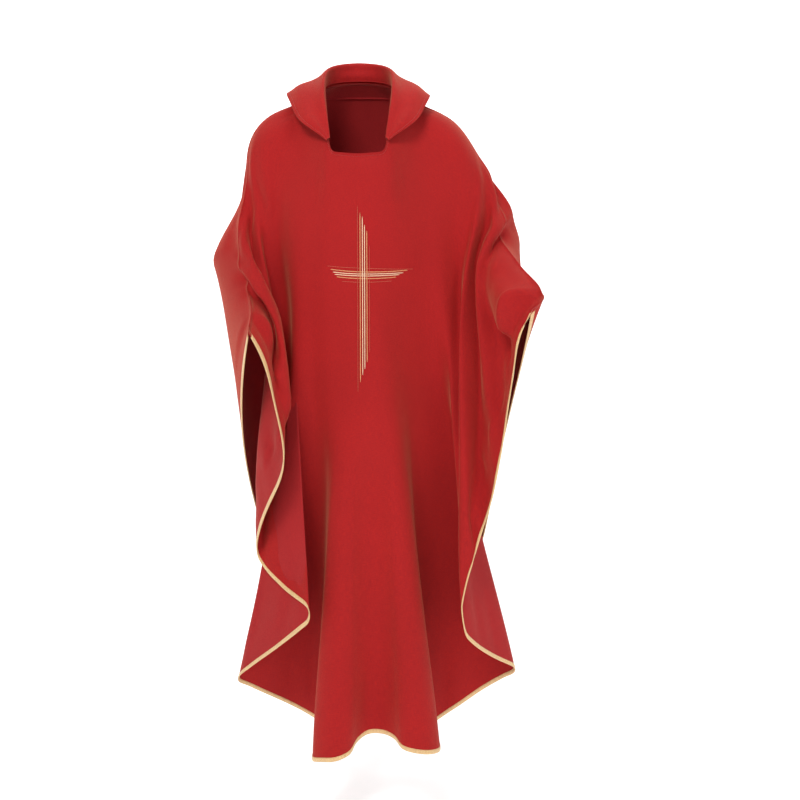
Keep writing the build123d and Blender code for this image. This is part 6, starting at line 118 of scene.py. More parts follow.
(354,-1142,-902,405,-1247,-1160,441,-1295,-1437,462,-1298,-1719,479,-1286,-2002,498,-1273,-2285,519,-1261,-2568,542,-1249,-2851,568,-1235,-3133,598,-1219,-3415,631,-1204,-3696,667,-1188,-3977,702,-1173,-4258,734,-1159,-4540,766,-1145,-4845,797,-1129,-5151,827,-1114,-5457,858,-1098,-5763,887,-1082,-6070,915,-1066,-6377,942,-1050,-6684,969,-1034,-6992,995,-1018,-7300,1022,-1001,-7607,1050,-985,-7914,1077,-968,-8221,1104,-952,-8529,1131,-935,-8836,1158,-918,-9143,1185,-901,-9450,1212,-884,-9757,1239,-867,-10064,1266,-850,-10371,1292,-833,-10678,1320,-817,-10985,1351,-801,-11292,1385,-786,-11598,1420,-770,-11904,1455,-755,-12210,1484,-741,-12516,1510,-730,-12823),
(398,-1135,-898,454,-1238,-1155,491,-1284,-1432,514,-1285,-1714,532,-1271,-1996,551,-1257,-2279,573,-1243,-2561,596,-1228,-2843,623,-1212,-3125,652,-1193,-3406,686,-1173,-3686,721,-1153,-3967,758,-1132,-4247,790,-1113,-4528,821,-1091,-4832,851,-1070,-5137,881,-1048,-5443,908,-1025,-5748,932,-1001,-6055,953,-976,-6363,973,-951,-6671,991,-925,-6980,1009,-899,-7288,1029,-873,-7596,1051,-848,-7904,1072,-823,-8211,1093,-797,-8518,1114,-772,-8826,1135,-746,-9133,1156,-720,-9440,1176,-693,-9748,1197,-667,-10055,1217,-640,-10363,1236,-613,-10670,1255,-587,-10977,1274,-562,-11285,1295,-539,-11593,1319,-518,-11900,1345,-496,-12208,1375,-473,-12514,1407,-449,-12819),
(439,-1126,-889,499,-1226,-1146,539,-1270,-1422,563,-1270,-1703,582,-1255,-1985,603,-1240,-2267,626,-1225,-2549,650,-1208,-2830,676,-1189,-3111,706,-1167,-3392,739,-1143,-3671,775,-1119,-3951,812,-1094,-4230,845,-1069,-4510,877,-1042,-4813,908,-1015,-5117,937,-987,-5421,963,-956,-5726,984,-924,-6033,1002,-890,-6340,1016,-854,-6649,1028,-817,-6958,1041,-780,-7267,1056,-745,-7575,1075,-711,-7883,1093,-677,-8190,1111,-643,-8497,1129,-608,-8804,1146,-574,-9111,1164,-539,-9419,1182,-503,-9726,1200,-468,-10033,1217,-432,-10340,1235,-397,-10647,1253,-361,-10955,1270,-324,-11262,1285,-287,-11569,1301,-251,-11877,1318,-218,-12184,1339,-187,-12492,1365,-158,-12799),
(474,-1114,-870,538,-1212,-1127,582,-1254,-1402,608,-1253,-1684,629,-1237,-1966,652,-1222,-2247,677,-1206,-2528,702,-1188,-2809,728,-1167,-3090,758,-1142,-3370,792,-1115,-3650,828,-1087,-3929,866,-1058,-4208,901,-1029,-4487,934,-996,-4788,967,-964,-5090,998,-930,-5392,1027,-894,-5695,1053,-855,-6000,1075,-814,-6306,1095,-771,-6613,1113,-727,-6921,1131,-683,-7229,1152,-641,-7536,1175,-601,-7842,1198,-560,-8147,1220,-519,-8453,1243,-478,-8759,1265,-437,-9064,1287,-396,-9370,1310,-355,-9675,1333,-313,-9981,1356,-272,-10287,1381,-231,-10593,1406,-191,-10899,1434,-153,-11205,1460,-114,-11511,1485,-74,-11818,1507,-31,-12124,1526,15,-12430,1545,62,-12736),
(500,-1099,-842,570,-1194,-1098,617,-1236,-1374,647,-1233,-1655,671,-1218,-1936,698,-1202,-2218,724,-1186,-2499,751,-1167,-2780,779,-1145,-3061,809,-1118,-3341,844,-1088,-3621,881,-1057,-3900,920,-1025,-4178,956,-991,-4457,993,-953,-4755,1028,-916,-5054,1063,-878,-5354,1097,-839,-5654,1128,-798,-5955,1158,-756,-6256,1186,-712,-6559,1214,-667,-6862,1241,-623,-7165,1270,-580,-7467,1300,-537,-7769,1329,-495,-8070,1358,-452,-8372,1387,-409,-8673,1417,-366,-8975,1446,-323,-9276,1475,-280,-9578,1505,-237,-9879,1535,-195,-10181,1565,-152,-10483,1595,-108,-10784,1623,-62,-11086,1653,-16,-11387,1684,31,-11689,1719,74,-11990,1755,112,-12291,1790,145,-12593),
(517,-1081,-806,593,-1174,-1063,645,-1214,-1338,679,-1212,-1619,709,-1196,-1900,739,-1181,-2182,769,-1165,-2463,799,-1146,-2744,828,-1123,-3025,860,-1094,-3305,895,-1063,-3585,934,-1028,-3863,973,-993,-4142,1012,-955,-4420,1051,-913,-4715,1090,-871,-5011,1129,-830,-5307,1168,-789,-5603,1205,-748,-5899,1243,-707,-6196,1280,-666,-6493,1317,-625,-6790,1353,-584,-7087,1390,-543,-7384,1427,-501,-7681,1463,-459,-7978,1499,-417,-8274,1535,-375,-8571,1571,-333,-8868,1608,-291,-9164,1644,-249,-9461,1681,-207,-9758,1718,-165,-10054,1755,-123,-10351,1793,-82,-10648,1832,-41,-10944,1872,-3,-11240,1914,32,-11537,1955,67,-11833,1996,106,-12129,2037,150,-12424),
(528,-1062,-768,609,-1153,-1024,668,-1191,-1298,707,-1189,-1578,741,-1173,-1859,776,-1158,-2140,811,-1143,-2421,844,-1124,-2702,876,-1100,-2983,910,-1071,-3263,946,-1038,-3542,986,-1001,-3821,1027,-963,-4099,1067,-922,-4376,1110,-876,-4668,1152,-830,-4960,1195,-786,-5252,1239,-744,-5544,1283,-703,-5835,1328,-664,-6127,1373,-627,-6418,1419,-590,-6709,1464,-553,-7001,1509,-515,-7292,1553,-474,-7584,1596,-434,-7876,1639,-393,-8167,1683,-352,-8459,1726,-312,-8751,1770,-271,-9042,1814,-232,-9334,1858,-192,-9625,1903,-153,-9917,1949,-115,-10208,1996,-78,-10500,2044,-43,-10791,2092,-8,-11083,2139,29,-11374,2185,69,-11664,2230,106,-11954,2275,138,-12244),
(537,-1043,-728,623,-1130,-983,687,-1168,-1256,732,-1164,-1535,772,-1149,-1816,812,-1135,-2096,851,-1120,-2376,888,-1101,-2656,923,-1077,-2936,959,-1048,-3215,996,-1013,-3494,1037,-975,-3772,1079,-936,-4049,1122,-891,-4325,1167,-842,-4613,1214,-793,-4901,1261,-747,-5189,1310,-705,-5476,1360,-666,-5763,1412,-630,-6049,1466,-597,-6335,1520,-566,-6621,1574,-534,-6907,1627,-499,-7194,1678,-461,-7480,1729,-423,-7767,1780,-385,-8054,1831,-348,-8340,1882,-310,-8627,1934,-273,-8914,1985,-237,-9200,2038,-201,-9487,2090,-165,-9774,2143,-130,-10060,2197,-95,-10347,2250,-59,-10633,2304,-22,-10919,2357,15,-11205,2409,50,-11491,2460,77,-11777,2509,98,-12062),
(545,-1023,-689,636,-1108,-942,705,-1143,-1213,755,-1139,-1491,800,-1124,-1769,845,-1110,-2048,889,-1096,-2327,930,-1078,-2605,968,-1054,-2884,1006,-1025,-3162,1046,-990,-3440,1087,-951,-3717,1130,-910,-3993,1176,-864,-4268,1223,-814,-4551,1274,-764,-4835,1325,-717,-5118,1378,-676,-5401,1435,-639,-5683,1494,-608,-5965,1556,-581,-6247,1619,-556,-6528,1682,-531,-6810,1743,-502,-7092,1802,-468,-7374,1860,-434,-7656,1919,-400,-7938,1978,-367,-8220,2037,-334,-8503,2096,-302,-8785,2156,-270,-9067,2216,-239,-9349,2276,-207,-9632,2335,-176,-9914,2395,-144,-10196,2454,-112,-10478,2514,-80,-10760,2573,-49,-11042,2632,-20,-11324,2687,4,-11606,2739,23,-11887),
(552,-1001,-650,648,-1083,-901,722,-1116,-1170,777,-1111,-1445,827,-1097,-1721,877,-1084,-1998,925,-1070,-2274,970,-1053,-2551,1012,-1031,-2828,1053,-1002,-3105,1094,-968,-3380,1137,-929,-3656,1181,-889,-3930,1228,-842,-4203,1278,-792,-4483,1331,-743,-4762,1385,-698,-5041,1443,-660,-5319,1505,-628,-5598,1571,-603,-5876,1641,-583,-6154,1712,-566,-6431,1784,-549,-6709,1852,-526,-6987,1917,-498,-7265,1982,-471,-7543,2048,-443,-7821,2114,-416,-8099,2181,-390,-8378,2247,-364,-8656,2314,-338,-8934,2380,-313,-9212,2447,-287,-9490,2512,-261,-9768,2578,-236,-10047,2642,-210,-10325,2707,-186,-10604,2772,-161,-10882,2836,-137,-11161,2897,-116,-11439,2954,-98,-11717),
(558,-977,-614,659,-1057,-861,738,-1091,-1126,799,-1086,-1398,853,-1072,-1672,907,-1059,-1945,960,-1046,-2219,1009,-1030,-2493,1055,-1008,-2768,1098,-980,-3042,1141,-948,-3316,1185,-911,-3589,1230,-871,-3861,1278,-826,-4133,1329,-779,-4408,1384,-733,-4683,1441,-692,-4957,1501,-659,-5232,1568,-634,-5507,1640,-616,-5782,1716,-606,-6057,1794,-599,-6332,1872,-591,-6606,1946,-577,-6881,2016,-557,-7156,2086,-537,-7431,2157,-518,-7705,2229,-499,-7980,2300,-480,-8255,2372,-462,-8529,2444,-444,-8804,2515,-426,-9078,2587,-408,-9353,2659,-391,-9628,2730,-373,-9902,2800,-355,-10177,2870,-337,-10453,2939,-320,-10728,3007,-304,-11004,3072,-288,-11280,3135,-273,-11557),
(563,-949,-578,669,-1030,-821,754,-1063,-1082,819,-1059,-1350,878,-1046,-1620,936,-1033,-1891,993,-1021,-2161,1046,-1006,-2432,1095,-985,-2704,1142,-960,-2975,1187,-929,-3246,1232,-895,-3517,1278,-858,-3787,1327,-816,-4057,1378,-774,-4328,1432,-735,-4598,1489,-700,-4869,1549,-674,-5140,1614,-656,-5411,1684,-648,-5681,1757,-647,-5952,1832,-650,-6223,1907,-652,-6493,1978,-648,-6764,2046,-636,-7035,2115,-625,-7306,2183,-614,-7576,2252,-604,-7847,2322,-594,-8118,2391,-584,-8388,2461,-575,-8659,2530,-566,-8930,2600,-556,-9200,2670,-548,-9471,2741,-540,-9741,2810,-532,-10012,2879,-524,-10283,2945,-516,-10554,3010,-507,-10826,3072,-496,-11097,3131,-481,-11369),
(568,-921,-544,679,-1001,-781,768,-1034,-1037,837,-1031,-1302,901,-1018,-1568,964,-1007,-1834,1024,-996,-2101,1081,-981,-2368,1134,-963,-2636,1183,-940,-2905,1230,-913,-3173,1277,-883,-3441,1324,-849,-3709,1373,-813,-3976,1423,-778,-4243,1476,-746,-4510,1530,-719,-4777,1586,-700,-5045,1644,-690,-5313,1704,-689,-5581,1767,-695,-5849,1830,-706,-6118,1892,-716,-6387,1954,-720,-6655,2013,-716,-6923,2073,-712,-7191,2133,-709,-7460,2193,-706,-7728,2253,-703,-7996,2313,-700,-8264,2373,-698,-8532,2433,-695,-8800,2494,-693,-9069,2555,-691,-9337,2615,-690,-9605,2674,-689,-9873,2732,-689,-10142,2790,-688,-10411,2847,-686,-10679,2903,-679,-10947,2957,-669,-11215),
(573,-893,-509,689,-972,-740,784,-1006,-991,859,-1003,-1251,927,-991,-1513,993,-980,-1775,1057,-970,-2038,1117,-958,-2302,1172,-942,-2566,1224,-922,-2831,1273,-899,-3096,1321,-873,-3361,1369,-845,-3626,1418,-815,-3891,1466,-787,-4155,1515,-764,-4418,1566,-745,-4682,1616,-733,-4947,1667,-731,-5212,1717,-737,-5478,1768,-749,-5745,1818,-766,-6012,1869,-783,-6280,1919,-792,-6546,1969,-795,-6812,2019,-798,-7078,2069,-802,-7344,2119,-805,-7611,2169,-809,-7877,2218,-812,-8143,2268,-815,-8409,2317,-819,-8676,2366,-822,-8942,2416,-825,-9208,2465,-827,-9474,2514,-829,-9741,2561,-829,-10007,2609,-831,-10274,2658,-834,-10540,2710,-840,-10805,2767,-848,-11068),
(578,-864,-475,699,-942,-699,800,-976,-944,880,-975,-1199,952,-963,-1457,1021,-954,-1715,1088,-945,-1974,1150,-934,-2233,1208,-920,-2494,1262,-905,-2756,1313,-886,-3017,1363,-865,-3279,1412,-842,-3541,1460,-819,-3803,1506,-799,-4063,1552,-784,-4324,1598,-772,-4584,1643,-768,-4846,1686,-772,-5109,1727,-785,-5373,1767,-804,-5637,1806,-827,-5903,1845,-849,-6168,1885,-865,-6432,1927,-874,-6696,1967,-884,-6960,2008,-893,-7224,2049,-902,-7488,2089,-912,-7751,2129,-921,-8015,2168,-930,-8279,2208,-939,-8543,2247,-949,-8807,2285,-958,-9071,2325,-968,-9335,2368,-979,-9598,2414,-991,-9861,2461,-1004,-10123,2507,-1015,-10385,2550,-1024,-10648,2589,-1030,-10912),
(582,-835,-441,709,-912,-659,815,-946,-898,900,-946,-1148,976,-935,-1400,1049,-927,-1654,1118,-919,-1908,1183,-910,-2164,1243,-899,-2421,1299,-887,-2678,1352,-873,-2936,1404,-856,-3195,1454,-838,-3453,1501,-822,-3712,1545,-808,-3969,1586,-800,-4226,1629,-795,-4483,1668,-797,-4742,1704,-809,-5002,1737,-828,-5263,1767,-854,-5526,1796,-883,-5789,1825,-912,-6052,1856,-934,-6314,1889,-949,-6574,1922,-964,-6836,1955,-980,-7097,1988,-995,-7358,2020,-1010,-7619,2053,-1026,-7880,2085,-1041,-8141,2117,-1057,-8402,2148,-1073,-8664,2179,-1090,-8925,2208,-1107,-9187,2238,-1124,-9448,2268,-1140,-9710,2301,-1155,-9971,2338,-1172,-10232,2379,-1192,-10490,2423,-1216,-10746),
(586,-805,-408,718,-880,-620,829,-915,-852,918,-916,-1097,999,-907,-1344,1075,-899,-1593,1147,-893,-1843,1214,-886,-2094,1276,-878,-2347,1335,-869,-2600,1390,-859,-2854,1443,-847,-3109,1494,-833,-3364,1541,-821,-3619,1582,-812,-3873,1621,-808,-4126,1660,-808,-4380,1694,-815,-4635,1724,-832,-4892,1748,-858,-5150,1769,-891,-5409,1788,-927,-5669,1808,-963,-5929,1831,-991,-6188,1857,-1012,-6445,1884,-1033,-6703,1910,-1054,-6961,1936,-1075,-7218,1962,-1097,-7476,1988,-1118,-7734,2014,-1141,-7991,2040,-1163,-8249,2066,-1187,-8506,2093,-1211,-8764,2120,-1236,-9022,2148,-1260,-9279,2176,-1286,-9536,2203,-1312,-9793,2226,-1340,-10051,2246,-1366,-10308,2262,-1392,-10565),
(591,-772,-378,726,-847,-581,842,-883,-807,936,-885,-1046,1021,-878,-1288,1100,-872,-1532,1174,-867,-1777,1244,-861,-2024,1308,-856,-2272,1369,-850,-2521,1427,-843,-2771,1481,-834,-3021,1533,-823,-3272,1579,-813,-3524,1619,-807,-3774,1656,-805,-4023,1692,-807,-4273,1722,-818,-4524,1746,-839,-4777,1763,-871,-5031,1775,-910,-5285,1785,-953,-5541,1796,-996,-5796,1811,-1030,-6050,1832,-1056,-6303,1852,-1082,-6556,1872,-1108,-6809,1893,-1135,-7062,1913,-1162,-7315,1933,-1190,-7568,1953,-1219,-7821,1973,-1248,-8074,1993,-1278,-8326,2014,-1310,-8579,2035,-1343,-8831,2054,-1378,-9083,2070,-1413,-9336,2083,-1448,-9589,2093,-1480,-9843,2103,-1509,-10098,2111,-1536,-10353),
(594,-739,-348,734,-813,-544,855,-850,-763,954,-854,-995,1042,-849,-1231,1125,-844,-1470,1201,-841,-1710,1273,-837,-1953,1339,-833,-2196,1403,-830,-2440,1462,-824,-2686,1518,-817,-2932,1571,-808,-3179,1616,-799,-3427,1655,-792,-3672,1691,-789,-3917,1726,-791,-4163,1754,-803,-4408,1775,-825,-4655,1789,-858,-4901,1798,-900,-5148,1804,-947,-5395,1811,-992,-5641,1823,-1030,-5888,1841,-1058,-6134,1859,-1087,-6380,1875,-1116,-6626,1892,-1147,-6872,1908,-1178,-7118,1924,-1210,-7364,1939,-1242,-7609,1953,-1276,-7855,1966,-1311,-8101,1979,-1346,-8346,1989,-1382,-8592,1997,-1417,-8838,2002,-1451,-9085,2007,-1483,-9332,2014,-1517,-9578,2027,-1552,-9824,2047,-1591,-10069),
(598,-706,-318,742,-779,-506,867,-816,-718,970,-823,-944,1062,-820,-1174,1148,-817,-1407,1227,-814,-1643,1301,-812,-1880,1370,-810,-2118,1435,-807,-2358,1497,-803,-2599,1553,-796,-2841,1607,-786,-3083,1651,-776,-3327,1691,-768,-3567,1727,-762,-3808,1761,-762,-4049,1789,-773,-4289,1810,-794,-4528,1824,-827,-4768,1833,-869,-5006,1839,-917,-5244,1845,-964,-5482,1856,-1004,-5720,1872,-1034,-5959,1887,-1066,-6198,1901,-1099,-6436,1913,-1132,-6675,1924,-1167,-6913,1934,-1204,-7151,1942,-1241,-7390,1948,-1278,-7628,1952,-1317,-7867,1954,-1355,-8105,1954,-1391,-8344,1953,-1428,-8584,1955,-1465,-8823,1961,-1506,-9061,1973,-1546,-9299,1994,-1580,-9536,2021,-1606,-9771),
(602,-672,-288,749,-745,-469,878,-783,-673,985,-792,-892,1081,-791,-1116,1170,-790,-1344,1253,-789,-1574,1329,-787,-1806,1400,-785,-2039,1467,-783,-2274,1530,-779,-2510,1588,-771,-2747,1641,-760,-2985,1686,-747,-3225,1725,-736,-3460,1762,-728,-3696,1797,-724,-3932,1826,-732,-4166,1849,-752,-4399,1867,-783,-4631,1880,-824,-4862,1890,-872,-5092,1898,-921,-5322,1909,-962,-5553,1924,-996,-5784,1935,-1032,-6015,1944,-1069,-6247,1950,-1108,-6478,1955,-1148,-6709,1957,-1189,-6940,1957,-1230,-7171,1955,-1272,-7403,1952,-1314,-7634,1948,-1356,-7866,1946,-1397,-8098,1949,-1440,-8329,1960,-1486,-8560,1981,-1529,-8789,2010,-1562,-9018,2039,-1579,-9247,2061,-1584,-9476),
(606,-639,-258,756,-711,-431,888,-750,-627,999,-761,-840,1099,-763,-1058,1192,-764,-1279,1277,-763,-1503,1356,-762,-1730,1430,-760,-1958,1499,-758,-2188,1563,-752,-2419,1621,-742,-2652,1675,-729,-2885,1719,-714,-3121,1759,-701,-3350,1796,-690,-3581,1832,-683,-3812,1863,-689,-4040,1890,-707,-4267,1912,-738,-4492,1930,-781,-4715,1942,-830,-4938,1952,-881,-5160,1961,-927,-5384,1970,-967,-5608,1974,-1010,-5832,1975,-1053,-6056,1973,-1098,-6280,1969,-1144,-6505,1963,-1190,-6729,1957,-1237,-6953,1953,-1284,-7178,1951,-1331,-7403,1954,-1378,-7627,1964,-1427,-7851,1985,-1474,-8074,2015,-1512,-8297,2048,-1532,-8519,2078,-1533,-8740,2104,-1535,-8963,2129,-1549,-9187),
(610,-605,-228,762,-676,-394,897,-717,-582,1012,-731,-787,1115,-736,-999,1212,-738,-1214,1301,-739,-1432,1384,-738,-1652,1460,-735,-1875,1531,-732,-2100,1596,-724,-2326,1654,-712,-2554,1707,-696,-2783,1751,-679,-3014,1792,-665,-3238,1830,-652,-3464,1865,-645,-3689,1898,-651,-3911,1927,-671,-4131,1953,-705,-4349,1972,-750,-4565,1985,-804,-4780,1992,-860,-4996,1994,-913,-5212,1994,-961,-5429,1989,-1011,-5646,1980,-1062,-5864,1970,-1112,-6082,1961,-1164,-6299,1954,-1215,-6517,1951,-1265,-6735,1955,-1314,-6953,1967,-1363,-7171,1989,-1410,-7388,2022,-1455,-7605,2063,-1492,-7821,2109,-1514,-8038,2155,-1523,-8254,2195,-1524,-8471,2213,-1520,-8688,2209,-1509,-8901),
(614,-572,-198,768,-641,-356,905,-683,-537,1023,-700,-735,1131,-708,-940,1232,-713,-1148,1325,-715,-1359,1411,-714,-1574,1490,-711,-1791,1563,-706,-2010,1629,-696,-2231,1687,-682,-2454,1739,-664,-2679,1783,-647,-2905,1824,-633,-3123,1863,-620,-3343,1897,-615,-3562,1929,-624,-3779,1959,-650,-3992,1984,-692,-4201,2002,-745,-4410,2010,-805,-4618,2010,-868,-4826,2003,-929,-5035,1992,-985,-5246,1978,-1041,-5457,1964,-1097,-5668,1953,-1152,-5880,1948,-1204,-6092,1950,-1255,-6304,1961,-1302,-6516,1982,-1345,-6729,2013,-1384,-6941,2054,-1415,-7154,2096,-1435,-7366,2127,-1437,-7581,2147,-1424,-7796,2172,-1408,-8010,2217,-1408,-8218,2263,-1436,-8418,2291,-1493,-8614),
(618,-539,-168,773,-606,-319,912,-649,-493,1034,-669,-683,1145,-681,-880,1250,-689,-1081,1348,-692,-1285,1438,-692,-1493,1520,-688,-1704,1595,-681,-1918,1662,-669,-2134,1720,-653,-2353,1772,-634,-2572,1816,-619,-2794,1857,-605,-3007,1895,-594,-3220,1928,-593,-3433,1956,-610,-3642,1982,-647,-3847,2002,-700,-4049,2014,-764,-4249,2015,-832,-4451,2005,-901,-4653,1989,-966,-4856,1972,-1027,-5061,1956,-1086,-5266,1946,-1141,-5472,1945,-1192,-5679,1953,-1238,-5886,1972,-1278,-6093,2001,-1312,-6301,2040,-1336,-6510,2083,-1349,-6719,2126,-1351,-6928,2159,-1340,-7138,2182,-1320,-7348,2205,-1308,-7553,2249,-1328,-7752,2292,-1384,-7942,2335,-1447,-8132,2373,-1495,-8327),
(622,-505,-139,778,-571,-282,919,-615,-448,1044,-637,-631,1159,-653,-820,1269,-664,-1013,1372,-670,-1210,1466,-670,-1411,1551,-665,-1616,1628,-657,-1824,1695,-644,-2036,1754,-627,-2249,1806,-609,-2465,1850,-596,-2682,1891,-584,-2888,1928,-577,-3095,1957,-583,-3301,1980,-610,-3503,1997,-661,-3699,2009,-728,-3892,2012,-801,-4086,2003,-874,-4280,1987,-944,-4477,1968,-1010,-4676,1953,-1068,-4875,1946,-1122,-5076,1950,-1168,-5278,1965,-1207,-5481,1992,-1237,-5684,2028,-1256,-5889,2072,-1265,-6094,2120,-1262,-6299,2164,-1247,-6506,2200,-1224,-6712,2232,-1200,-6918,2273,-1185,-7122,2328,-1189,-7322,2384,-1246,-7512,2436,-1315,-7697,2460,-1408,-7873,2452,-1511,-8039),
(626,-472,-109,783,-535,-246,926,-579,-404,1053,-604,-579,1173,-624,-760,1287,-639,-944,1395,-648,-1134,1493,-649,-1328,1582,-644,-1527,1661,-634,-1729,1730,-620,-1935,1789,-604,-2145,1842,-589,-2355,1886,-578,-2568,1926,-568,-2768,1961,-566,-2968,1986,-581,-3167,2000,-621,-3360,2007,-685,-3548,2009,-764,-3734,2002,-843,-3920,1987,-916,-4110,1970,-982,-4303,1957,-1039,-4497,1954,-1088,-4693,1964,-1128,-4891,1988,-1159,-5089,2022,-1178,-5289,2064,-1184,-5489,2112,-1179,-5691,2162,-1164,-5893,2209,-1141,-6095,2250,-1113,-6297,2283,-1092,-6497,2320,-1089,-6693,2375,-1110,-6883,2448,-1157,-7068,2486,-1257,-7247,2542,-1340,-7422,2559,-1435,-7589,2531,-1535,-7751),
(630,-438,-79,787,-499,-210,932,-543,-361,1062,-571,-528,1186,-594,-700,1306,-614,-876,1418,-626,-1057,1521,-629,-1244,1614,-624,-1436,1695,-614,-1633,1765,-600,-1834,1825,-585,-2039,1879,-572,-2245,1923,-564,-2454,1962,-557,-2648,1996,-560,-2840,2015,-585,-3031,2020,-638,-3216,2017,-713,-3396,2009,-796,-3575,1995,-875,-3757,1980,-942,-3943,1970,-997,-4132,1970,-1040,-4324,1985,-1073,-4517,2015,-1096,-4711,2058,-1107,-4906,2106,-1105,-5102,2155,-1093,-5299,2205,-1073,-5496,2252,-1050,-5693,2296,-1029,-5890,2335,-1017,-6085,2371,-1030,-6275,2402,-1078,-6458,2427,-1160,-6636,2454,-1256,-6809,2515,-1338,-6970,2574,-1417,-7132,2608,-1493,-7295,2601,-1565,-7462),
(634,-405,-49,791,-463,-174,937,-505,-318,1071,-536,-477,1199,-563,-641,1323,-587,-808,1441,-602,-980,1549,-608,-1159,1645,-604,-1345,1730,-594,-1537,1802,-580,-1733,1863,-568,-1933,1918,-559,-2135,1962,-553,-2340,2000,-548,-2527,2031,-558,-2712,2046,-592,-2894,2044,-654,-3072,2033,-733,-3246,2018,-815,-3420,2003,-886,-3598,1992,-942,-3781,1994,-982,-3967,2010,-1009,-4156,2043,-1024,-4345,2090,-1030,-4535,2145,-1027,-4725,2197,-1016,-4916,2245,-999,-5107,2289,-984,-5298,2327,-977,-5488,2361,-982,-5677,2395,-1008,-5862,2435,-1061,-6043,2483,-1137,-6217,2518,-1231,-6382,2527,-1334,-6536,2540,-1415,-6683,2587,-1495,-6838,2631,-1555,-7001,2660,-1600,-7171),
(637,-370,-21,795,-425,-140,943,-467,-278,1079,-499,-428,1211,-530,-583,1341,-557,-740,1464,-577,-904,1576,-585,-1076,1677,-582,-1255,1764,-573,-1441,1838,-561,-1632,1902,-552,-1828,1959,-547,-2025,2003,-542,-2226,2039,-540,-2407,2069,-556,-2585,2079,-599,-2759,2072,-666,-2931,2057,-744,-3099,2039,-817,-3270,2025,-876,-3445,2022,-917,-3625,2035,-942,-3808,2065,-955,-3992,2111,-957,-4177,2168,-954,-4361,2225,-947,-4544,2274,-940,-4729,2314,-937,-4912,2345,-944,-5094,2370,-966,-5275,2390,-1008,-5454,2413,-1072,-5630,2452,-1148,-5800,2503,-1221,-5962,2533,-1294,-6111,2529,-1390,-6248,2588,-1458,-6398,2634,-1541,-6552,2678,-1599,-6713,2708,-1637,-6878),
(640,-334,5,799,-385,-109,948,-426,-240,1087,-459,-382,1223,-493,-527,1357,-524,-675,1485,-547,-830,1603,-558,-993,1707,-557,-1166,1798,-550,-1346,1875,-541,-1533,1941,-535,-1724,2000,-533,-1917,2044,-529,-2114,2079,-529,-2289,2107,-552,-2460,2116,-602,-2627,2106,-670,-2793,2090,-740,-2958,2073,-800,-3126,2062,-843,-3299,2065,-871,-3475,2087,-885,-3653,2125,-889,-3832,2176,-887,-4010,2233,-884,-4186,2286,-886,-4361,2326,-897,-4537,2352,-920,-4711,2367,-957,-4884,2376,-1010,-5055,2386,-1080,-5223,2408,-1160,-5388,2453,-1230,-5546,2517,-1271,-5696,2576,-1308,-5834,2620,-1378,-5969,2677,-1462,-6121,2721,-1547,-6273,2747,-1617,-6429,2749,-1676,-6585),
(643,-296,28,802,-344,-80,952,-384,-203,1095,-420,-337,1235,-458,-472,1375,-494,-609,1508,-521,-754,1630,-535,-909,1739,-537,-1075,1833,-531,-1250,1913,-524,-1432,1981,-520,-1618,2042,-522,-1807,2086,-518,-2001,2120,-521,-2169,2146,-551,-2333,2152,-607,-2494,2142,-674,-2655,2125,-735,-2817,2110,-777,-2984,2104,-802,-3155,2114,-814,-3328,2144,-819,-3500,2187,-818,-3672,2237,-817,-3842,2290,-823,-4010,2333,-843,-4176,2358,-881,-4341,2367,-936,-4505,2365,-1004,-4668,2360,-1082,-4828,2370,-1163,-4986,2409,-1235,-5138,2481,-1276,-5285,2577,-1280,-5428,2676,-1282,-5571,2764,-1326,-5716,2765,-1469,-5846,2795,-1562,-5991,2801,-1644,-6141,2787,-1717,-6291),
(645,-257,50,805,-302,-52,958,-342,-168,1104,-381,-292,1249,-425,-415,1393,-466,-541,1532,-498,-675,1659,-516,-822,1772,-521,-982,1869,-517,-1151,1953,-512,-1328,2023,-511,-1510,2086,-515,-1695,2130,-509,-1886,2161,-514,-2048,2185,-553,-2205,2191,-614,-2361,2182,-676,-2518,2170,-719,-2680,2159,-737,-2847,2157,-738,-3017,2173,-736,-3186,2206,-737,-3351,2246,-742,-3514,2288,-755,-3674,2328,-783,-3830,2354,-834,-3984,2359,-907,-4138,2349,-994,-4292,2332,-1084,-4446,2329,-1167,-4597,2360,-1232,-4742,2436,-1271,-4882,2545,-1282,-5019,2658,-1286,-5155,2748,-1322,-5293,2813,-1399,-5431,2820,-1503,-5564,2834,-1601,-5704,2832,-1685,-5849,2823,-1758,-5997),
(646,-217,71,808,-260,-25,963,-299,-133,1114,-340,-247,1264,-388,-359,1413,-435,-472,1556,-471,-596,1688,-493,-734,1805,-502,-887,1907,-503,-1051,1993,-501,-1224,2067,-501,-1402,2131,-503,-1584,2174,-494,-1772,2203,-505,-1929,2226,-552,-2081,2235,-613,-2233,2235,-658,-2390,2231,-674,-2553,2225,-663,-2721,2224,-645,-2889,2237,-641,-3050,2262,-658,-3201,2289,-689,-3349,2314,-734,-3496,2331,-795,-3640,2334,-879,-3783,2320,-977,-3928,2300,-1076,-4074,2291,-1163,-4220,2317,-1225,-4362,2393,-1252,-4495,2508,-1256,-4623,2629,-1262,-4750,2723,-1298,-4881,2786,-1366,-5013,2817,-1451,-5143,2859,-1554,-5281,2869,-1652,-5417,2866,-1733,-5558,2858,-1799,-5702),
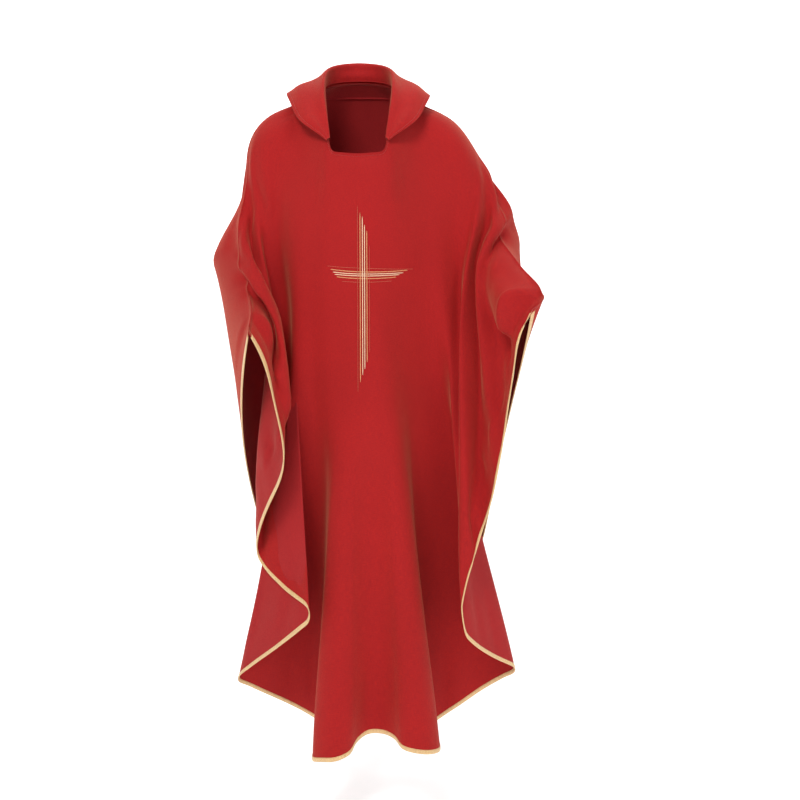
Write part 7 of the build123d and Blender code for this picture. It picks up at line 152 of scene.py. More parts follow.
(648,-178,93,812,-216,2,970,-253,-99,1125,-295,-203,1280,-345,-302,1434,-395,-403,1582,-435,-517,1718,-461,-647,1839,-475,-794,1944,-480,-954,2033,-481,-1122,2109,-481,-1297,2175,-480,-1477,2220,-474,-1662,2249,-496,-1815,2270,-545,-1965,2287,-591,-2117,2299,-610,-2276,2304,-594,-2441,2300,-560,-2607,2297,-540,-2767,2301,-559,-2912,2310,-612,-3043,2316,-683,-3173,2313,-762,-3305,2302,-850,-3439,2286,-950,-3575,2267,-1049,-3714,2261,-1137,-3855,2287,-1202,-3995,2357,-1231,-4130,2468,-1221,-4254,2597,-1213,-4370,2712,-1244,-4487,2793,-1311,-4610,2836,-1401,-4735,2850,-1509,-4857,2898,-1611,-5006,2916,-1705,-5138,2914,-1781,-5274,2893,-1841,-5408),
(650,-138,114,816,-172,28,977,-205,-66,1136,-244,-161,1296,-293,-249,1455,-342,-339,1608,-383,-443,1748,-412,-566,1872,-429,-707,1979,-438,-862,2071,-443,-1028,2149,-445,-1200,2217,-445,-1377,2269,-453,-1559,2299,-482,-1710,2321,-517,-1862,2345,-534,-2016,2367,-522,-2175,2379,-488,-2337,2380,-457,-2497,2376,-462,-2643,2369,-522,-2766,2357,-615,-2876,2333,-713,-2988,2299,-809,-3109,2268,-905,-3237,2252,-996,-3371,2254,-1077,-3507,2282,-1141,-3642,2341,-1184,-3777,2425,-1197,-3906,2532,-1187,-4025,2651,-1197,-4136,2766,-1252,-4246,2870,-1336,-4359,2950,-1433,-4479,3004,-1541,-4602,2922,-1679,-4739,2954,-1765,-4868,2955,-1831,-4997,2927,-1882,-5114),
(652,-98,135,819,-126,53,983,-152,-36,1145,-186,-124,1310,-229,-205,1474,-274,-285,1631,-312,-380,1775,-341,-496,1903,-359,-632,2012,-371,-784,2105,-380,-947,2185,-388,-1117,2257,-397,-1290,2319,-421,-1466,2353,-442,-1619,2377,-449,-1774,2403,-438,-1926,2427,-412,-2078,2448,-389,-2233,2466,-392,-2383,2467,-442,-2511,2445,-534,-2612,2407,-641,-2706,2360,-740,-2810,2316,-835,-2926,2292,-921,-3053,2293,-984,-3188,2318,-1030,-3319,2363,-1076,-3440,2411,-1130,-3558,2460,-1185,-3675,2519,-1237,-3795,2585,-1297,-3922,2662,-1365,-4047,2756,-1429,-4165,2849,-1501,-4278,2945,-1593,-4381,2916,-1763,-4474,2959,-1838,-4602,2974,-1890,-4724,2964,-1924,-4821),
(654,-59,156,822,-78,77,986,-96,-9,1150,-119,-95,1316,-153,-171,1483,-191,-246,1645,-225,-332,1794,-250,-440,1926,-268,-570,2038,-281,-717,2134,-293,-876,2217,-308,-1042,2294,-328,-1211,2359,-354,-1384,2398,-359,-1537,2433,-355,-1689,2466,-346,-1834,2494,-335,-1976,2524,-339,-2124,2552,-382,-2266,2557,-467,-2376,2525,-571,-2459,2479,-667,-2549,2444,-743,-2664,2425,-812,-2791,2411,-868,-2918,2405,-896,-3040,2423,-928,-3146,2455,-1005,-3231,2475,-1119,-3312,2486,-1240,-3402,2502,-1355,-3508,2522,-1462,-3640,2548,-1551,-3805,2587,-1622,-3977,2630,-1706,-4112,2684,-1800,-4204,2918,-1854,-4204,2964,-1924,-4330,2994,-1961,-4448,3008,-1969,-4535),
(656,-19,178,824,-31,101,988,-42,17,1152,-56,-67,1319,-78,-141,1487,-104,-213,1650,-129,-295,1802,-148,-397,1937,-163,-521,2054,-176,-662,2155,-190,-816,2243,-207,-977,2320,-227,-1144,2381,-248,-1316,2440,-265,-1459,2500,-280,-1603,2556,-305,-1745,2599,-344,-1881,2612,-384,-2019,2604,-435,-2146,2608,-517,-2247,2622,-606,-2341,2617,-661,-2450,2598,-686,-2574,2572,-706,-2704,2546,-733,-2832,2536,-793,-2938,2542,-901,-2997,2552,-1031,-3033,2574,-1150,-3087,2608,-1259,-3166,2628,-1379,-3249,2626,-1514,-3327,2621,-1650,-3410,2623,-1777,-3506,2639,-1893,-3608,2660,-1998,-3715,2996,-1927,-3942,3036,-2005,-4055,3065,-2037,-4167,3069,-2021,-4260),
(658,20,199,819,19,112,976,19,20,1137,14,-66,1306,1,-132,1478,-13,-193,1644,-24,-267,1798,-34,-364,1935,-44,-483,2054,-58,-620,2158,-77,-769,2249,-99,-926,2330,-124,-1087,2416,-154,-1245,2502,-179,-1377,2579,-204,-1517,2641,-236,-1665,2683,-267,-1818,2698,-300,-1971,2705,-352,-2105,2728,-425,-2213,2761,-496,-2319,2769,-538,-2431,2720,-541,-2542,2645,-534,-2651,2611,-567,-2749,2631,-667,-2810,2672,-808,-2845,2722,-949,-2893,2779,-1079,-2964,2837,-1209,-3042,2902,-1343,-3121,2970,-1481,-3200,2996,-1615,-3276,2948,-1739,-3341,2883,-1857,-3394,2864,-1967,-3457,3186,-1962,-3701,3216,-2066,-3785,3216,-2110,-3886,3153,-2082,-4000),
(660,60,220,819,63,131,973,67,35,1131,69,-53,1300,68,-121,1473,69,-179,1641,71,-248,1796,73,-341,1933,71,-459,2052,60,-596,2156,39,-743,2251,10,-895,2344,-25,-1048,2447,-54,-1194,2535,-68,-1334,2594,-79,-1482,2627,-92,-1638,2652,-107,-1792,2691,-140,-1930,2750,-200,-2048,2815,-281,-2156,2854,-354,-2261,2836,-385,-2360,2777,-381,-2454,2742,-395,-2547,2760,-474,-2629,2806,-597,-2693,2864,-720,-2763,2930,-831,-2845,2997,-942,-2925,3064,-1058,-3009,3136,-1180,-3095,3214,-1311,-3174,3293,-1450,-3245,3364,-1586,-3310,3417,-1705,-3373,3445,-1825,-3433,3462,-1967,-3481,3482,-2109,-3525,3432,-2179,-3608,3254,-2150,-3752),
)
BACK = (
(-660,60,220,-835,56,141,-1005,45,54,-1177,23,-30,-1352,-8,-101,-1528,-38,-169,-1697,-65,-252,-1846,-89,-363,-1966,-111,-502,-2052,-131,-662,-2107,-150,-836,-2139,-168,-1015,-2158,-184,-1197,-2169,-194,-1380,-2178,-219,-1516,-2198,-267,-1643,-2221,-320,-1778,-2249,-372,-1926,-2284,-428,-2077,-2317,-480,-2231,-2335,-523,-2387,-2336,-561,-2545,-2329,-599,-2700,-2318,-642,-2843,-2312,-708,-2960,-2318,-797,-3054,-2293,-874,-3144,-2213,-916,-3236,-2136,-959,-3328,-2122,-1031,-3408,-2136,-1100,-3475,-2124,-1158,-3547,-2093,-1251,-3618,-2063,-1384,-3673,-2037,-1525,-3726,-2017,-1659,-3795,-2007,-1791,-3875,-2010,-1929,-3953,-2019,-2073,-4027,-2021,-2215,-4101,-2016,-2350,-4172),
(-660,90,224,-827,88,128,-988,76,24,-1154,57,-70,-1333,44,-138,-1517,38,-193,-1694,36,-260,-1852,30,-362,-1980,15,-495,-2077,-7,-650,-2142,-33,-819,-2179,-56,-997,-2194,-73,-1180,-2206,-88,-1363,-2234,-123,-1504,-2259,-169,-1647,-2279,-213,-1799,-2308,-254,-1957,-2340,-293,-2120,-2362,-327,-2286,-2377,-361,-2452,-2397,-399,-2614,-2417,-446,-2762,-2429,-516,-2878,-2425,-588,-2990,-2413,-666,-3096,-2387,-740,-3198,-2343,-804,-3297,-2302,-870,-3393,-2283,-946,-3481,-2276,-1026,-3565,-2262,-1109,-3649,-2240,-1208,-3731,-2216,-1325,-3810,-2193,-1449,-3890,-2173,-1573,-3975,-2156,-1695,-4064,-2106,-1800,-4171,-2101,-1927,-4259,-2088,-2051,-4347,-2068,-2170,-4435),
(-659,117,228,-831,121,143,-997,117,46,-1164,110,-49,-1338,112,-130,-1515,123,-201,-1686,136,-282,-1842,145,-387,-1971,143,-519,-2070,129,-673,-2138,107,-840,-2181,82,-1014,-2208,57,-1193,-2235,29,-1370,-2256,-5,-1524,-2272,-42,-1683,-2294,-78,-1845,-2322,-115,-2009,-2358,-149,-2175,-2406,-185,-2343,-2459,-223,-2508,-2501,-267,-2661,-2535,-326,-2795,-2540,-396,-2917,-2531,-467,-3040,-2512,-541,-3159,-2486,-617,-3273,-2454,-691,-3384,-2424,-767,-3489,-2403,-849,-3590,-2387,-935,-3687,-2369,-1026,-3785,-2347,-1126,-3882,-2323,-1234,-3978,-2299,-1348,-4075,-2275,-1461,-4174,-2252,-1572,-4276,-2192,-1665,-4395,-2174,-1777,-4495,-2150,-1886,-4597,-2118,-1991,-4699),
(-657,142,232,-833,155,151,-1004,160,59,-1173,166,-36,-1346,182,-124,-1518,207,-209,-1683,231,-303,-1832,248,-418,-1957,251,-556,-2055,242,-712,-2126,224,-880,-2174,202,-1054,-2207,179,-1232,-2230,150,-1412,-2251,116,-1572,-2281,83,-1733,-2323,51,-1896,-2374,16,-2062,-2436,-23,-2227,-2506,-63,-2391,-2569,-105,-2548,-2620,-155,-2692,-2656,-215,-2823,-2646,-275,-2969,-2629,-344,-3108,-2604,-417,-3241,-2575,-494,-3368,-2545,-573,-3490,-2518,-654,-3607,-2494,-740,-3721,-2473,-829,-3832,-2450,-922,-3943,-2425,-1020,-4054,-2398,-1123,-4164,-2371,-1228,-4276,-2343,-1333,-4388,-2316,-1436,-4501,-2259,-1524,-4627,-2233,-1623,-4739,-2202,-1719,-4852,-2163,-1813,-4967),
(-654,166,236,-830,186,151,-998,198,52,-1162,210,-53,-1330,234,-151,-1498,268,-243,-1660,303,-341,-1807,329,-459,-1930,341,-599,-2025,339,-756,-2097,327,-924,-2148,311,-1098,-2187,294,-1275,-2216,270,-1456,-2245,239,-1619,-2288,210,-1782,-2348,185,-1945,-2422,157,-2111,-2504,123,-2278,-2586,82,-2441,-2661,32,-2595,-2719,-25,-2740,-2755,-87,-2881,-2740,-146,-3043,-2714,-215,-3196,-2682,-290,-3341,-2649,-369,-3480,-2617,-450,-3614,-2588,-534,-3743,-2562,-621,-3868,-2536,-710,-3993,-2509,-803,-4116,-2480,-899,-4239,-2450,-997,-4363,-2420,-1096,-4486,-2389,-1194,-4610,-2359,-1290,-4734,-2308,-1374,-4866,-2278,-1464,-4989,-2243,-1551,-5113,-2202,-1636,-5238),
(-651,189,240,-826,217,153,-992,235,49,-1152,252,-65,-1313,280,-174,-1476,320,-277,-1632,363,-383,-1775,397,-505,-1894,417,-647,-1986,423,-806,-2055,419,-976,-2106,409,-1151,-2148,398,-1328,-2187,382,-1508,-2228,359,-1674,-2284,337,-1840,-2359,318,-2006,-2450,297,-2173,-2550,269,-2340,-2647,232,-2505,-2733,183,-2663,-2802,127,-2818,-2848,64,-2973,-2815,-5,-3144,-2777,-81,-3305,-2738,-159,-3459,-2700,-240,-3608,-2665,-322,-3753,-2634,-407,-3893,-2605,-493,-4030,-2575,-582,-4166,-2545,-672,-4301,-2513,-765,-4436,-2480,-859,-4571,-2448,-953,-4706,-2416,-1046,-4840,-2385,-1137,-4975,-2340,-1217,-5113,-2310,-1301,-5245,-2275,-1381,-5378,-2234,-1459,-5511),
(-647,212,243,-821,248,154,-986,273,46,-1142,294,-75,-1297,325,-195,-1452,368,-310,-1602,414,-426,-1738,453,-556,-1851,479,-702,-1937,491,-864,-2001,494,-1036,-2051,491,-1212,-2095,487,-1391,-2141,479,-1571,-2193,465,-1740,-2262,453,-1910,-2351,442,-2080,-2457,428,-2250,-2569,408,-2420,-2678,379,-2589,-2777,341,-2756,-2858,292,-2925,-2908,228,-3095,-2858,141,-3266,-2810,57,-3432,-2766,-26,-3593,-2726,-108,-3751,-2689,-191,-3905,-2656,-274,-4055,-2625,-359,-4203,-2593,-445,-4350,-2561,-533,-4496,-2527,-622,-4641,-2493,-712,-4787,-2460,-801,-4931,-2428,-890,-5076,-2398,-976,-5219,-2359,-1054,-5364,-2330,-1133,-5505,-2297,-1209,-5646,-2258,-1282,-5787),
(-643,234,247,-815,278,154,-977,309,41,-1128,333,-87,-1277,366,-217,-1426,409,-344,-1569,455,-472,-1698,495,-610,-1804,524,-763,-1883,542,-928,-1939,551,-1102,-1986,555,-1281,-2031,557,-1462,-2082,556,-1644,-2143,552,-1817,-2223,549,-1992,-2323,545,-2166,-2439,538,-2340,-2558,527,-2515,-2673,510,-2690,-2779,485,-2867,-2863,443,-3048,-2909,378,-3229,-2857,279,-3402,-2809,190,-3571,-2765,105,-3739,-2725,23,-3904,-2689,-58,-4066,-2657,-139,-4226,-2625,-221,-4384,-2593,-304,-4541,-2560,-388,-4697,-2526,-473,-4852,-2492,-558,-5007,-2460,-644,-5161,-2430,-728,-5314,-2402,-810,-5466,-2368,-886,-5618,-2341,-962,-5768,-2311,-1034,-5916,-2274,-1103,-6064),
(-638,256,251,-807,306,153,-966,342,33,-1113,370,-103,-1257,404,-242,-1399,446,-379,-1536,491,-518,-1657,529,-666,-1756,559,-826,-1827,580,-996,-1876,594,-1173,-1915,603,-1355,-1961,611,-1539,-2017,615,-1724,-2086,618,-1903,-2174,622,-2082,-2282,624,-2261,-2400,624,-2441,-2520,620,-2620,-2634,613,-2802,-2738,597,-2988,-2817,558,-3178,-2856,494,-3365,-2816,399,-3542,-2776,312,-3717,-2738,230,-3891,-2703,150,-4063,-2670,73,-4234,-2639,-5,-4403,-2609,-82,-4570,-2578,-160,-4736,-2546,-240,-4901,-2514,-320,-5066,-2482,-401,-5230,-2452,-482,-5392,-2424,-562,-5554,-2399,-641,-5715,-2369,-714,-5874,-2344,-787,-6031,-2316,-856,-6187,-2282,-923,-6342),
(-632,277,255,-799,333,151,-954,374,23,-1097,405,-120,-1236,440,-268,-1373,482,-414,-1504,524,-563,-1619,561,-720,-1710,589,-888,-1774,611,-1064,-1815,627,-1246,-1847,640,-1431,-1892,652,-1619,-1953,660,-1808,-2029,667,-1992,-2125,676,-2177,-2235,683,-2362,-2351,687,-2547,-2463,688,-2733,-2570,687,-2921,-2666,676,-3114,-2736,641,-3310,-2770,580,-3501,-2748,499,-3684,-2720,421,-3866,-2690,345,-4047,-2661,271,-4227,-2634,199,-4406,-2607,127,-4583,-2580,55,-4759,-2552,-18,-4934,-2523,-92,-5108,-2494,-167,-5281,-2465,-243,-5454,-2438,-319,-5625,-2413,-395,-5795,-2390,-469,-5963,-2364,-540,-6130,-2340,-610,-6294,-2314,-677,-6458,-2282,-742,-6620),
(-625,298,259,-790,361,149,-943,406,15,-1082,441,-137,-1216,478,-292,-1348,520,-447,-1474,561,-605,-1583,596,-772,-1668,623,-946,-1725,644,-1128,-1761,662,-1315,-1789,677,-1505,-1830,691,-1697,-1896,702,-1891,-1980,713,-2081,-2081,724,-2271,-2190,735,-2462,-2300,742,-2653,-2403,746,-2845,-2500,748,-3039,-2585,740,-3239,-2647,709,-3440,-2678,655,-3637,-2666,587,-3827,-2648,518,-4016,-2628,451,-4205,-2607,384,-4393,-2585,318,-4579,-2564,253,-4765,-2542,188,-4950,-2518,121,-5134,-2493,53,-5316,-2468,-16,-5498,-2442,-86,-5678,-2419,-157,-5857,-2396,-227,-6035,-2376,-297,-6211,-2352,-365,-6385,-2330,-431,-6558,-2304,-496,-6729,-2273,-561,-6899),
(-618,318,262,-781,388,147,-931,439,7,-1066,478,-151,-1196,518,-314,-1324,561,-478,-1444,601,-645,-1548,634,-820,-1628,660,-1002,-1681,682,-1190,-1713,700,-1382,-1739,717,-1577,-1779,733,-1773,-1845,746,-1972,-1936,759,-2168,-2040,773,-2364,-2147,786,-2561,-2248,796,-2758,-2341,801,-2956,-2426,806,-3158,-2500,800,-3364,-2555,772,-3571,-2582,725,-3773,-2577,665,-3971,-2568,606,-4168,-2556,547,-4364,-2543,489,-4560,-2528,430,-4754,-2513,372,-4948,-2496,314,-5141,-2477,254,-5333,-2457,193,-5524,-2436,131,-5714,-2415,67,-5903,-2394,3,-6090,-2375,-62,-6276,-2356,-126,-6459,-2334,-191,-6641,-2313,-254,-6821,-2288,-317,-7000,-2257,-381,-7177),
(-610,338,266,-771,414,145,-918,471,-2,-1050,514,-167,-1175,556,-337,-1298,599,-509,-1414,638,-686,-1513,669,-869,-1588,693,-1059,-1638,714,-1253,-1668,733,-1450,-1694,751,-1650,-1735,767,-1852,-1802,781,-2056,-1893,796,-2258,-1998,812,-2460,-2099,826,-2662,-2189,837,-2866,-2268,844,-3071,-2341,849,-3279,-2404,845,-3491,-2451,821,-3703,-2478,781,-3911,-2481,732,-4116,-2481,683,-4320,-2478,634,-4524,-2472,584,-4727,-2464,534,-4930,-2455,484,-5132,-2444,433,-5333,-2431,381,-5533,-2416,327,-5732,-2399,272,-5930,-2382,215,-6127,-2365,157,-6322,-2348,99,-6516,-2331,41,-6707,-2310,-21,-6897,-2289,-79,-7085,-2264,-140,-7271,-2234,-204,-7456),
(-601,358,270,-760,440,143,-904,503,-11,-1032,549,-183,-1154,593,-361,-1273,636,-541,-1384,673,-726,-1478,702,-918,-1551,723,-1115,-1598,743,-1316,-1628,762,-1519,-1655,779,-1725,-1699,796,-1931,-1766,810,-2141,-1856,826,-2349,-1954,842,-2557,-2047,856,-2766,-2124,868,-2975,-2190,875,-3187,-2250,880,-3401,-2302,877,-3619,-2343,858,-3836,-2370,829,-4050,-2383,791,-4262,-2391,752,-4473,-2395,712,-4684,-2397,670,-4895,-2396,628,-5105,-2393,586,-5315,-2387,543,-5524,-2380,499,-5733,-2370,453,-5940,-2358,405,-6146,-2345,356,-6351,-2331,305,-6555,-2316,254,-6756,-2301,201,-6956,-2281,145,-7153,-2260,90,-7349,-2234,32,-7543,-2204,-32,-7735),
(-592,377,273,-749,466,140,-889,533,-21,-1014,583,-200,-1132,628,-385,-1246,672,-573,-1353,708,-766,-1445,733,-966,-1514,752,-1170,-1561,770,-1378,-1592,788,-1587,-1622,805,-1799,-1668,821,-2011,-1737,835,-2226,-1822,850,-2440,-1912,866,-2655,-1992,879,-2869,-2057,891,-3084,-2110,899,-3302,-2158,903,-3523,-2200,901,-3745,-2235,889,-3968,-2262,869,-4189,-2283,842,-4407,-2299,813,-4626,-2311,781,-4844,-2319,748,-5062,-2324,714,-5280,-2326,680,-5498,-2326,645,-5715,-2324,608,-5931,-2318,570,-6147,-2311,529,-6361,-2302,488,-6575,-2291,444,-6786,-2278,400,-6996,-2264,354,-7204,-2245,302,-7410,-2224,251,-7613,-2198,195,-7814,-2166,132,-8013),
(-582,395,277,-737,490,138,-874,562,-30,-995,615,-217,-1110,663,-409,-1220,706,-604,-1323,741,-805,-1411,764,-1012,-1479,780,-1224,-1526,796,-1439,-1559,812,-1654,-1592,828,-1872,-1642,843,-2090,-1710,856,-2311,-1790,871,-2531,-1869,885,-2751,-1937,898,-2971,-1990,908,-3193,-2032,917,-3417,-2070,921,-3643,-2103,922,-3871,-2133,915,-4099,-2160,905,-4326,-2187,888,-4552,-2209,867,-4778,-2226,843,-5003,-2239,817,-5229,-2249,791,-5454,-2257,764,-5679,-2261,736,-5904,-2263,707,-6129,-2262,676,-6353,-2259,644,-6575,-2253,609,-6797,-2245,573,-7017,-2235,535,-7236,-2222,495,-7452,-2204,450,-7666,-2183,403,-7877,-2155,349,-8085,-2121,287,-8289),
(-572,414,280,-724,514,135,-858,590,-39,-976,646,-233,-1087,696,-432,-1194,740,-635,-1293,773,-843,-1378,794,-1058,-1445,808,-1277,-1493,821,-1498,-1529,836,-1720,-1566,851,-1943,-1617,864,-2167,-1683,876,-2394,-1755,891,-2621,-1824,903,-2847,-1881,913,-3073,-1924,923,-3300,-1958,932,-3530,-1988,938,-3762,-2015,941,-3995,-2041,940,-4229,-2067,938,-4463,-2097,927,-4696,-2122,913,-4929,-2143,896,-5162,-2159,877,-5394,-2173,858,-5627,-2184,838,-5859,-2192,817,-6092,-2198,795,-6324,-2201,772,-6556,-2201,746,-6787,-2199,719,-7018,-2193,690,-7246,-2185,658,-7473,-2173,624,-7698,-2156,585,-7920,-2134,542,-8138,-2105,491,-8353,-2068,430,-8562),
(-560,432,283,-711,538,133,-842,618,-48,-956,677,-249,-1064,728,-455,-1167,773,-665,-1262,805,-881,-1344,824,-1103,-1411,835,-1328,-1460,847,-1556,-1499,860,-1784,-1539,873,-2013,-1592,884,-2243,-1654,896,-2475,-1718,910,-2708,-1776,920,-2940,-1824,929,-3172,-1860,937,-3405,-1888,946,-3641,-1913,953,-3879,-1936,959,-4118,-1959,963,-4358,-1983,967,-4599,-2013,962,-4839,-2039,953,-5079,-2061,941,-5318,-2079,928,-5558,-2095,915,-5797,-2108,901,-6037,-2119,887,-6277,-2128,872,-6517,-2134,855,-6757,-2137,836,-6996,-2137,815,-7234,-2134,792,-7472,-2128,767,-7707,-2117,738,-7941,-2100,705,-8170,-2077,666,-8396,-2046,619,-8616,-2004,561,-8830),
(-549,449,287,-697,561,131,-825,646,-57,-936,707,-264,-1040,760,-477,-1140,805,-694,-1230,836,-917,-1310,853,-1146,-1376,863,-1378,-1427,873,-1612,-1469,884,-1846,-1512,895,-2081,-1565,906,-2316,-1622,916,-2554,-1677,928,-2793,-1726,938,-3032,-1766,944,-3270,-1797,951,-3509,-1822,960,-3751,-1843,968,-3995,-1864,976,-4240,-1886,983,-4487,-1909,991,-4735,-1936,989,-4982,-1960,985,-5228,-1981,978,-5473,-1999,970,-5718,-2015,962,-5964,-2029,954,-6211,-2041,945,-6458,-2052,936,-6705,-2059,924,-6952,-2064,912,-7199,-2066,897,-7446,-2065,879,-7691,-2060,859,-7935,-2050,836,-8176,-2033,808,-8414,-2009,774,-8647,-1974,731,-8872,-1929,678,-9089),
(-536,466,290,-682,584,129,-808,672,-65,-915,736,-279,-1016,790,-499,-1111,836,-723,-1198,866,-953,-1273,882,-1188,-1339,890,-1427,-1393,898,-1666,-1438,908,-1906,-1482,918,-2147,-1534,927,-2387,-1586,936,-2631,-1632,948,-2876,-1673,955,-3121,-1707,960,-3365,-1736,966,-3611,-1759,975,-3860,-1779,983,-4110,-1799,991,-4363,-1820,1000,-4616,-1842,1008,-4871,-1864,1010,-5123,-1884,1008,-5374,-1902,1006,-5624,-1917,1002,-5875,-1932,998,-6126,-1945,995,-6379,-1957,991,-6633,-1968,986,-6887,-1976,980,-7141,-1982,972,-7395,-1984,963,-7649,-1984,950,-7902,-1979,935,-8153,-1969,917,-8402,-1951,894,-8647,-1926,865,-8886,-1889,828,-9117,-1840,782,-9338),
(-524,482,293,-668,606,127,-790,698,-73,-894,764,-294,-990,819,-520,-1082,865,-751,-1165,896,-988,-1237,910,-1229,-1300,917,-1474,-1356,923,-1719,-1403,931,-1965,-1449,940,-2211,-1500,949,-2457,-1546,957,-2706,-1585,967,-2956,-1619,973,-3207,-1649,977,-3458,-1676,982,-3711,-1698,990,-3967,-1718,997,-4224,-1738,1005,-4484,-1758,1013,-4745,-1779,1022,-5007,-1794,1023,-5262,-1807,1024,-5516,-1820,1025,-5771,-1832,1026,-6026,-1844,1026,-6283,-1855,1026,-6541,-1865,1027,-6801,-1875,1026,-7061,-1882,1023,-7322,-1887,1020,-7582,-1889,1014,-7843,-1888,1006,-8102,-1882,995,-8360,-1871,982,-8616,-1853,964,-8868,-1826,941,-9113,-1788,912,-9349,-1737,876,-9574),
(-510,498,296,-652,628,125,-772,723,-81,-872,791,-308,-964,847,-541,-1052,893,-778,-1131,924,-1022,-1199,938,-1269,-1259,943,-1519,-1315,948,-1770,-1365,954,-2022,-1412,962,-2273,-1461,971,-2525,-1502,979,-2779,-1536,987,-3034,-1564,992,-3291,-1591,995,-3548,-1616,1000,-3808,-1638,1006,-4071,-1657,1012,-4336,-1678,1019,-4604,-1698,1026,-4873,-1717,1033,-5143,-1720,1031,-5395,-1726,1034,-5652,-1733,1039,-5911,-1741,1044,-6171,-1749,1048,-6433,-1757,1051,-6696,-1765,1054,-6961,-1771,1056,-7227,-1776,1057,-7493,-1779,1056,-7759,-1779,1054,-8025,-1776,1050,-8290,-1768,1043,-8554,-1756,1034,-8816,-1736,1022,-9073,-1708,1006,-9324,-1670,986,-9567,-1621,963,-9798),
(-496,514,299,-636,648,124,-753,747,-88,-849,816,-322,-938,873,-562,-1021,920,-806,-1096,950,-1055,-1161,964,-1308,-1218,969,-1564,-1271,972,-1821,-1323,977,-2077,-1371,984,-2334,-1419,992,-2591,-1456,1000,-2850,-1485,1007,-3110,-1509,1012,-3372,-1534,1014,-3635,-1555,1017,-3900,-1572,1019,-4167,-1588,1021,-4436,-1603,1022,-4706,-1618,1023,-4978,-1630,1022,-5250,-1634,1032,-5515,-1637,1042,-5779,-1640,1052,-6043,-1643,1060,-6309,-1647,1068,-6575,-1651,1074,-6843,-1655,1079,-7113,-1658,1083,-7383,-1659,1086,-7654,-1658,1088,-7924,-1655,1088,-8195,-1648,1087,-8465,-1638,1084,-8734,-1623,1079,-9001,-1602,1072,-9264,-1574,1064,-9521,-1538,1055,-9770,-1492,1045,-10007),
(-482,529,302,-620,668,122,-733,770,-96,-826,840,-336,-910,897,-582,-989,944,-832,-1061,975,-1088,-1122,989,-1347,-1176,994,-1608,-1227,996,-1870,-1277,999,-2131,-1326,1005,-2393,-1373,1012,-2656,-1408,1020,-2920,-1434,1027,-3185,-1455,1031,-3451,-1476,1034,-3719,-1493,1035,-3989,-1506,1034,-4260,-1517,1031,-4533,-1526,1027,-4807,-1534,1022,-5083,-1539,1016,-5358,-1539,1038,-5630,-1539,1054,-5899,-1538,1069,-6169,-1538,1081,-6439,-1537,1091,-6710,-1537,1099,-6983,-1537,1105,-7256,-1535,1111,-7530,-1532,1116,-7805,-1526,1120,-8080,-1518,1122,-8354,-1507,1124,-8628,-1493,1124,-8901,-1476,1124,-9173,-1453,1123,-9440,-1426,1122,-9703,-1393,1123,-9958,-1352,1125,-10204),
(-467,543,305,-603,688,121,-713,792,-103,-801,862,-350,-881,920,-603,-956,967,-859,-1024,999,-1120,-1082,1014,-1384,-1134,1018,-1651,-1182,1019,-1917,-1230,1021,-2184,-1277,1026,-2451,-1324,1032,-2719,-1357,1039,-2988,-1381,1046,-3257,-1400,1051,-3528,-1417,1055,-3801,-1430,1057,-4075,-1438,1058,-4350,-1442,1056,-4628,-1445,1053,-4907,-1445,1049,-5187,-1443,1044,-5467,-1440,1063,-5741,-1436,1080,-6015,-1432,1096,-6288,-1427,1109,-6563,-1422,1121,-6838,-1418,1130,-7114,-1412,1138,-7392,-1405,1146,-7670,-1397,1152,-7948,-1386,1158,-8226,-1373,1163,-8504,-1358,1168,-8781,-1340,1171,-9058,-1319,1175,-9333,-1296,1179,-9605,-1269,1185,-9873,-1239,1194,-10135,-1205,1207,-10388),
(-451,557,308,-585,706,119,-692,812,-111,-775,883,-364,-851,941,-623,-922,988,-885,-986,1021,-1151,-1042,1036,-1421,-1091,1041,-1692,-1138,1041,-1964,-1183,1042,-2236,-1228,1044,-2508,-1273,1049,-2780,-1305,1055,-3054,-1328,1062,-3327,-1344,1069,-3602,-1357,1075,-3879,-1365,1081,-4157,-1367,1085,-4437,-1366,1087,-4719,-1361,1089,-5002,-1354,1091,-5286,-1344,1092,-5569,-1337,1106,-5847,-1329,1121,-6124,-1321,1135,-6402,-1312,1149,-6680,-1303,1161,-6959,-1293,1172,-7239,-1283,1182,-7519,-1271,1191,-7800,-1257,1200,-8082,-1242,1208,-8363,-1224,1216,-8643,-1204,1224,-8924,-1182,1231,-9204,-1159,1238,-9482,-1134,1247,-9759,-1108,1258,-10032,-1080,1273,-10300,-1051,1293,-10560),
(-435,571,310,-566,724,117,-669,832,-120,-749,902,-379,-820,960,-644,-887,1008,-911,-948,1042,-1183,-1001,1058,-1457,-1048,1063,-1733,-1093,1062,-2010,-1136,1061,-2287,-1179,1062,-2563,-1221,1064,-2840,-1253,1069,-3119,-1274,1076,-3396,-1287,1085,-3675,-1296,1094,-3955,-1298,1105,-4237,-1295,1115,-4520,-1287,1124,-4805,-1276,1134,-5092,-1262,1146,-5379,-1246,1157,-5666,-1234,1163,-5947,-1221,1173,-6228,-1209,1186,-6509,-1195,1200,-6790,-1181,1213,-7072,-1167,1226,-7356,-1151,1238,-7639,-1134,1249,-7923,-1116,1261,-8207,-1096,1273,-8491,-1075,1284,-8775,-1051,1295,-9058,-1026,1306,-9341,-1000,1318,-9623,-974,1330,-9903,-947,1344,-10181,-920,1362,-10455,-893,1385,-10722),
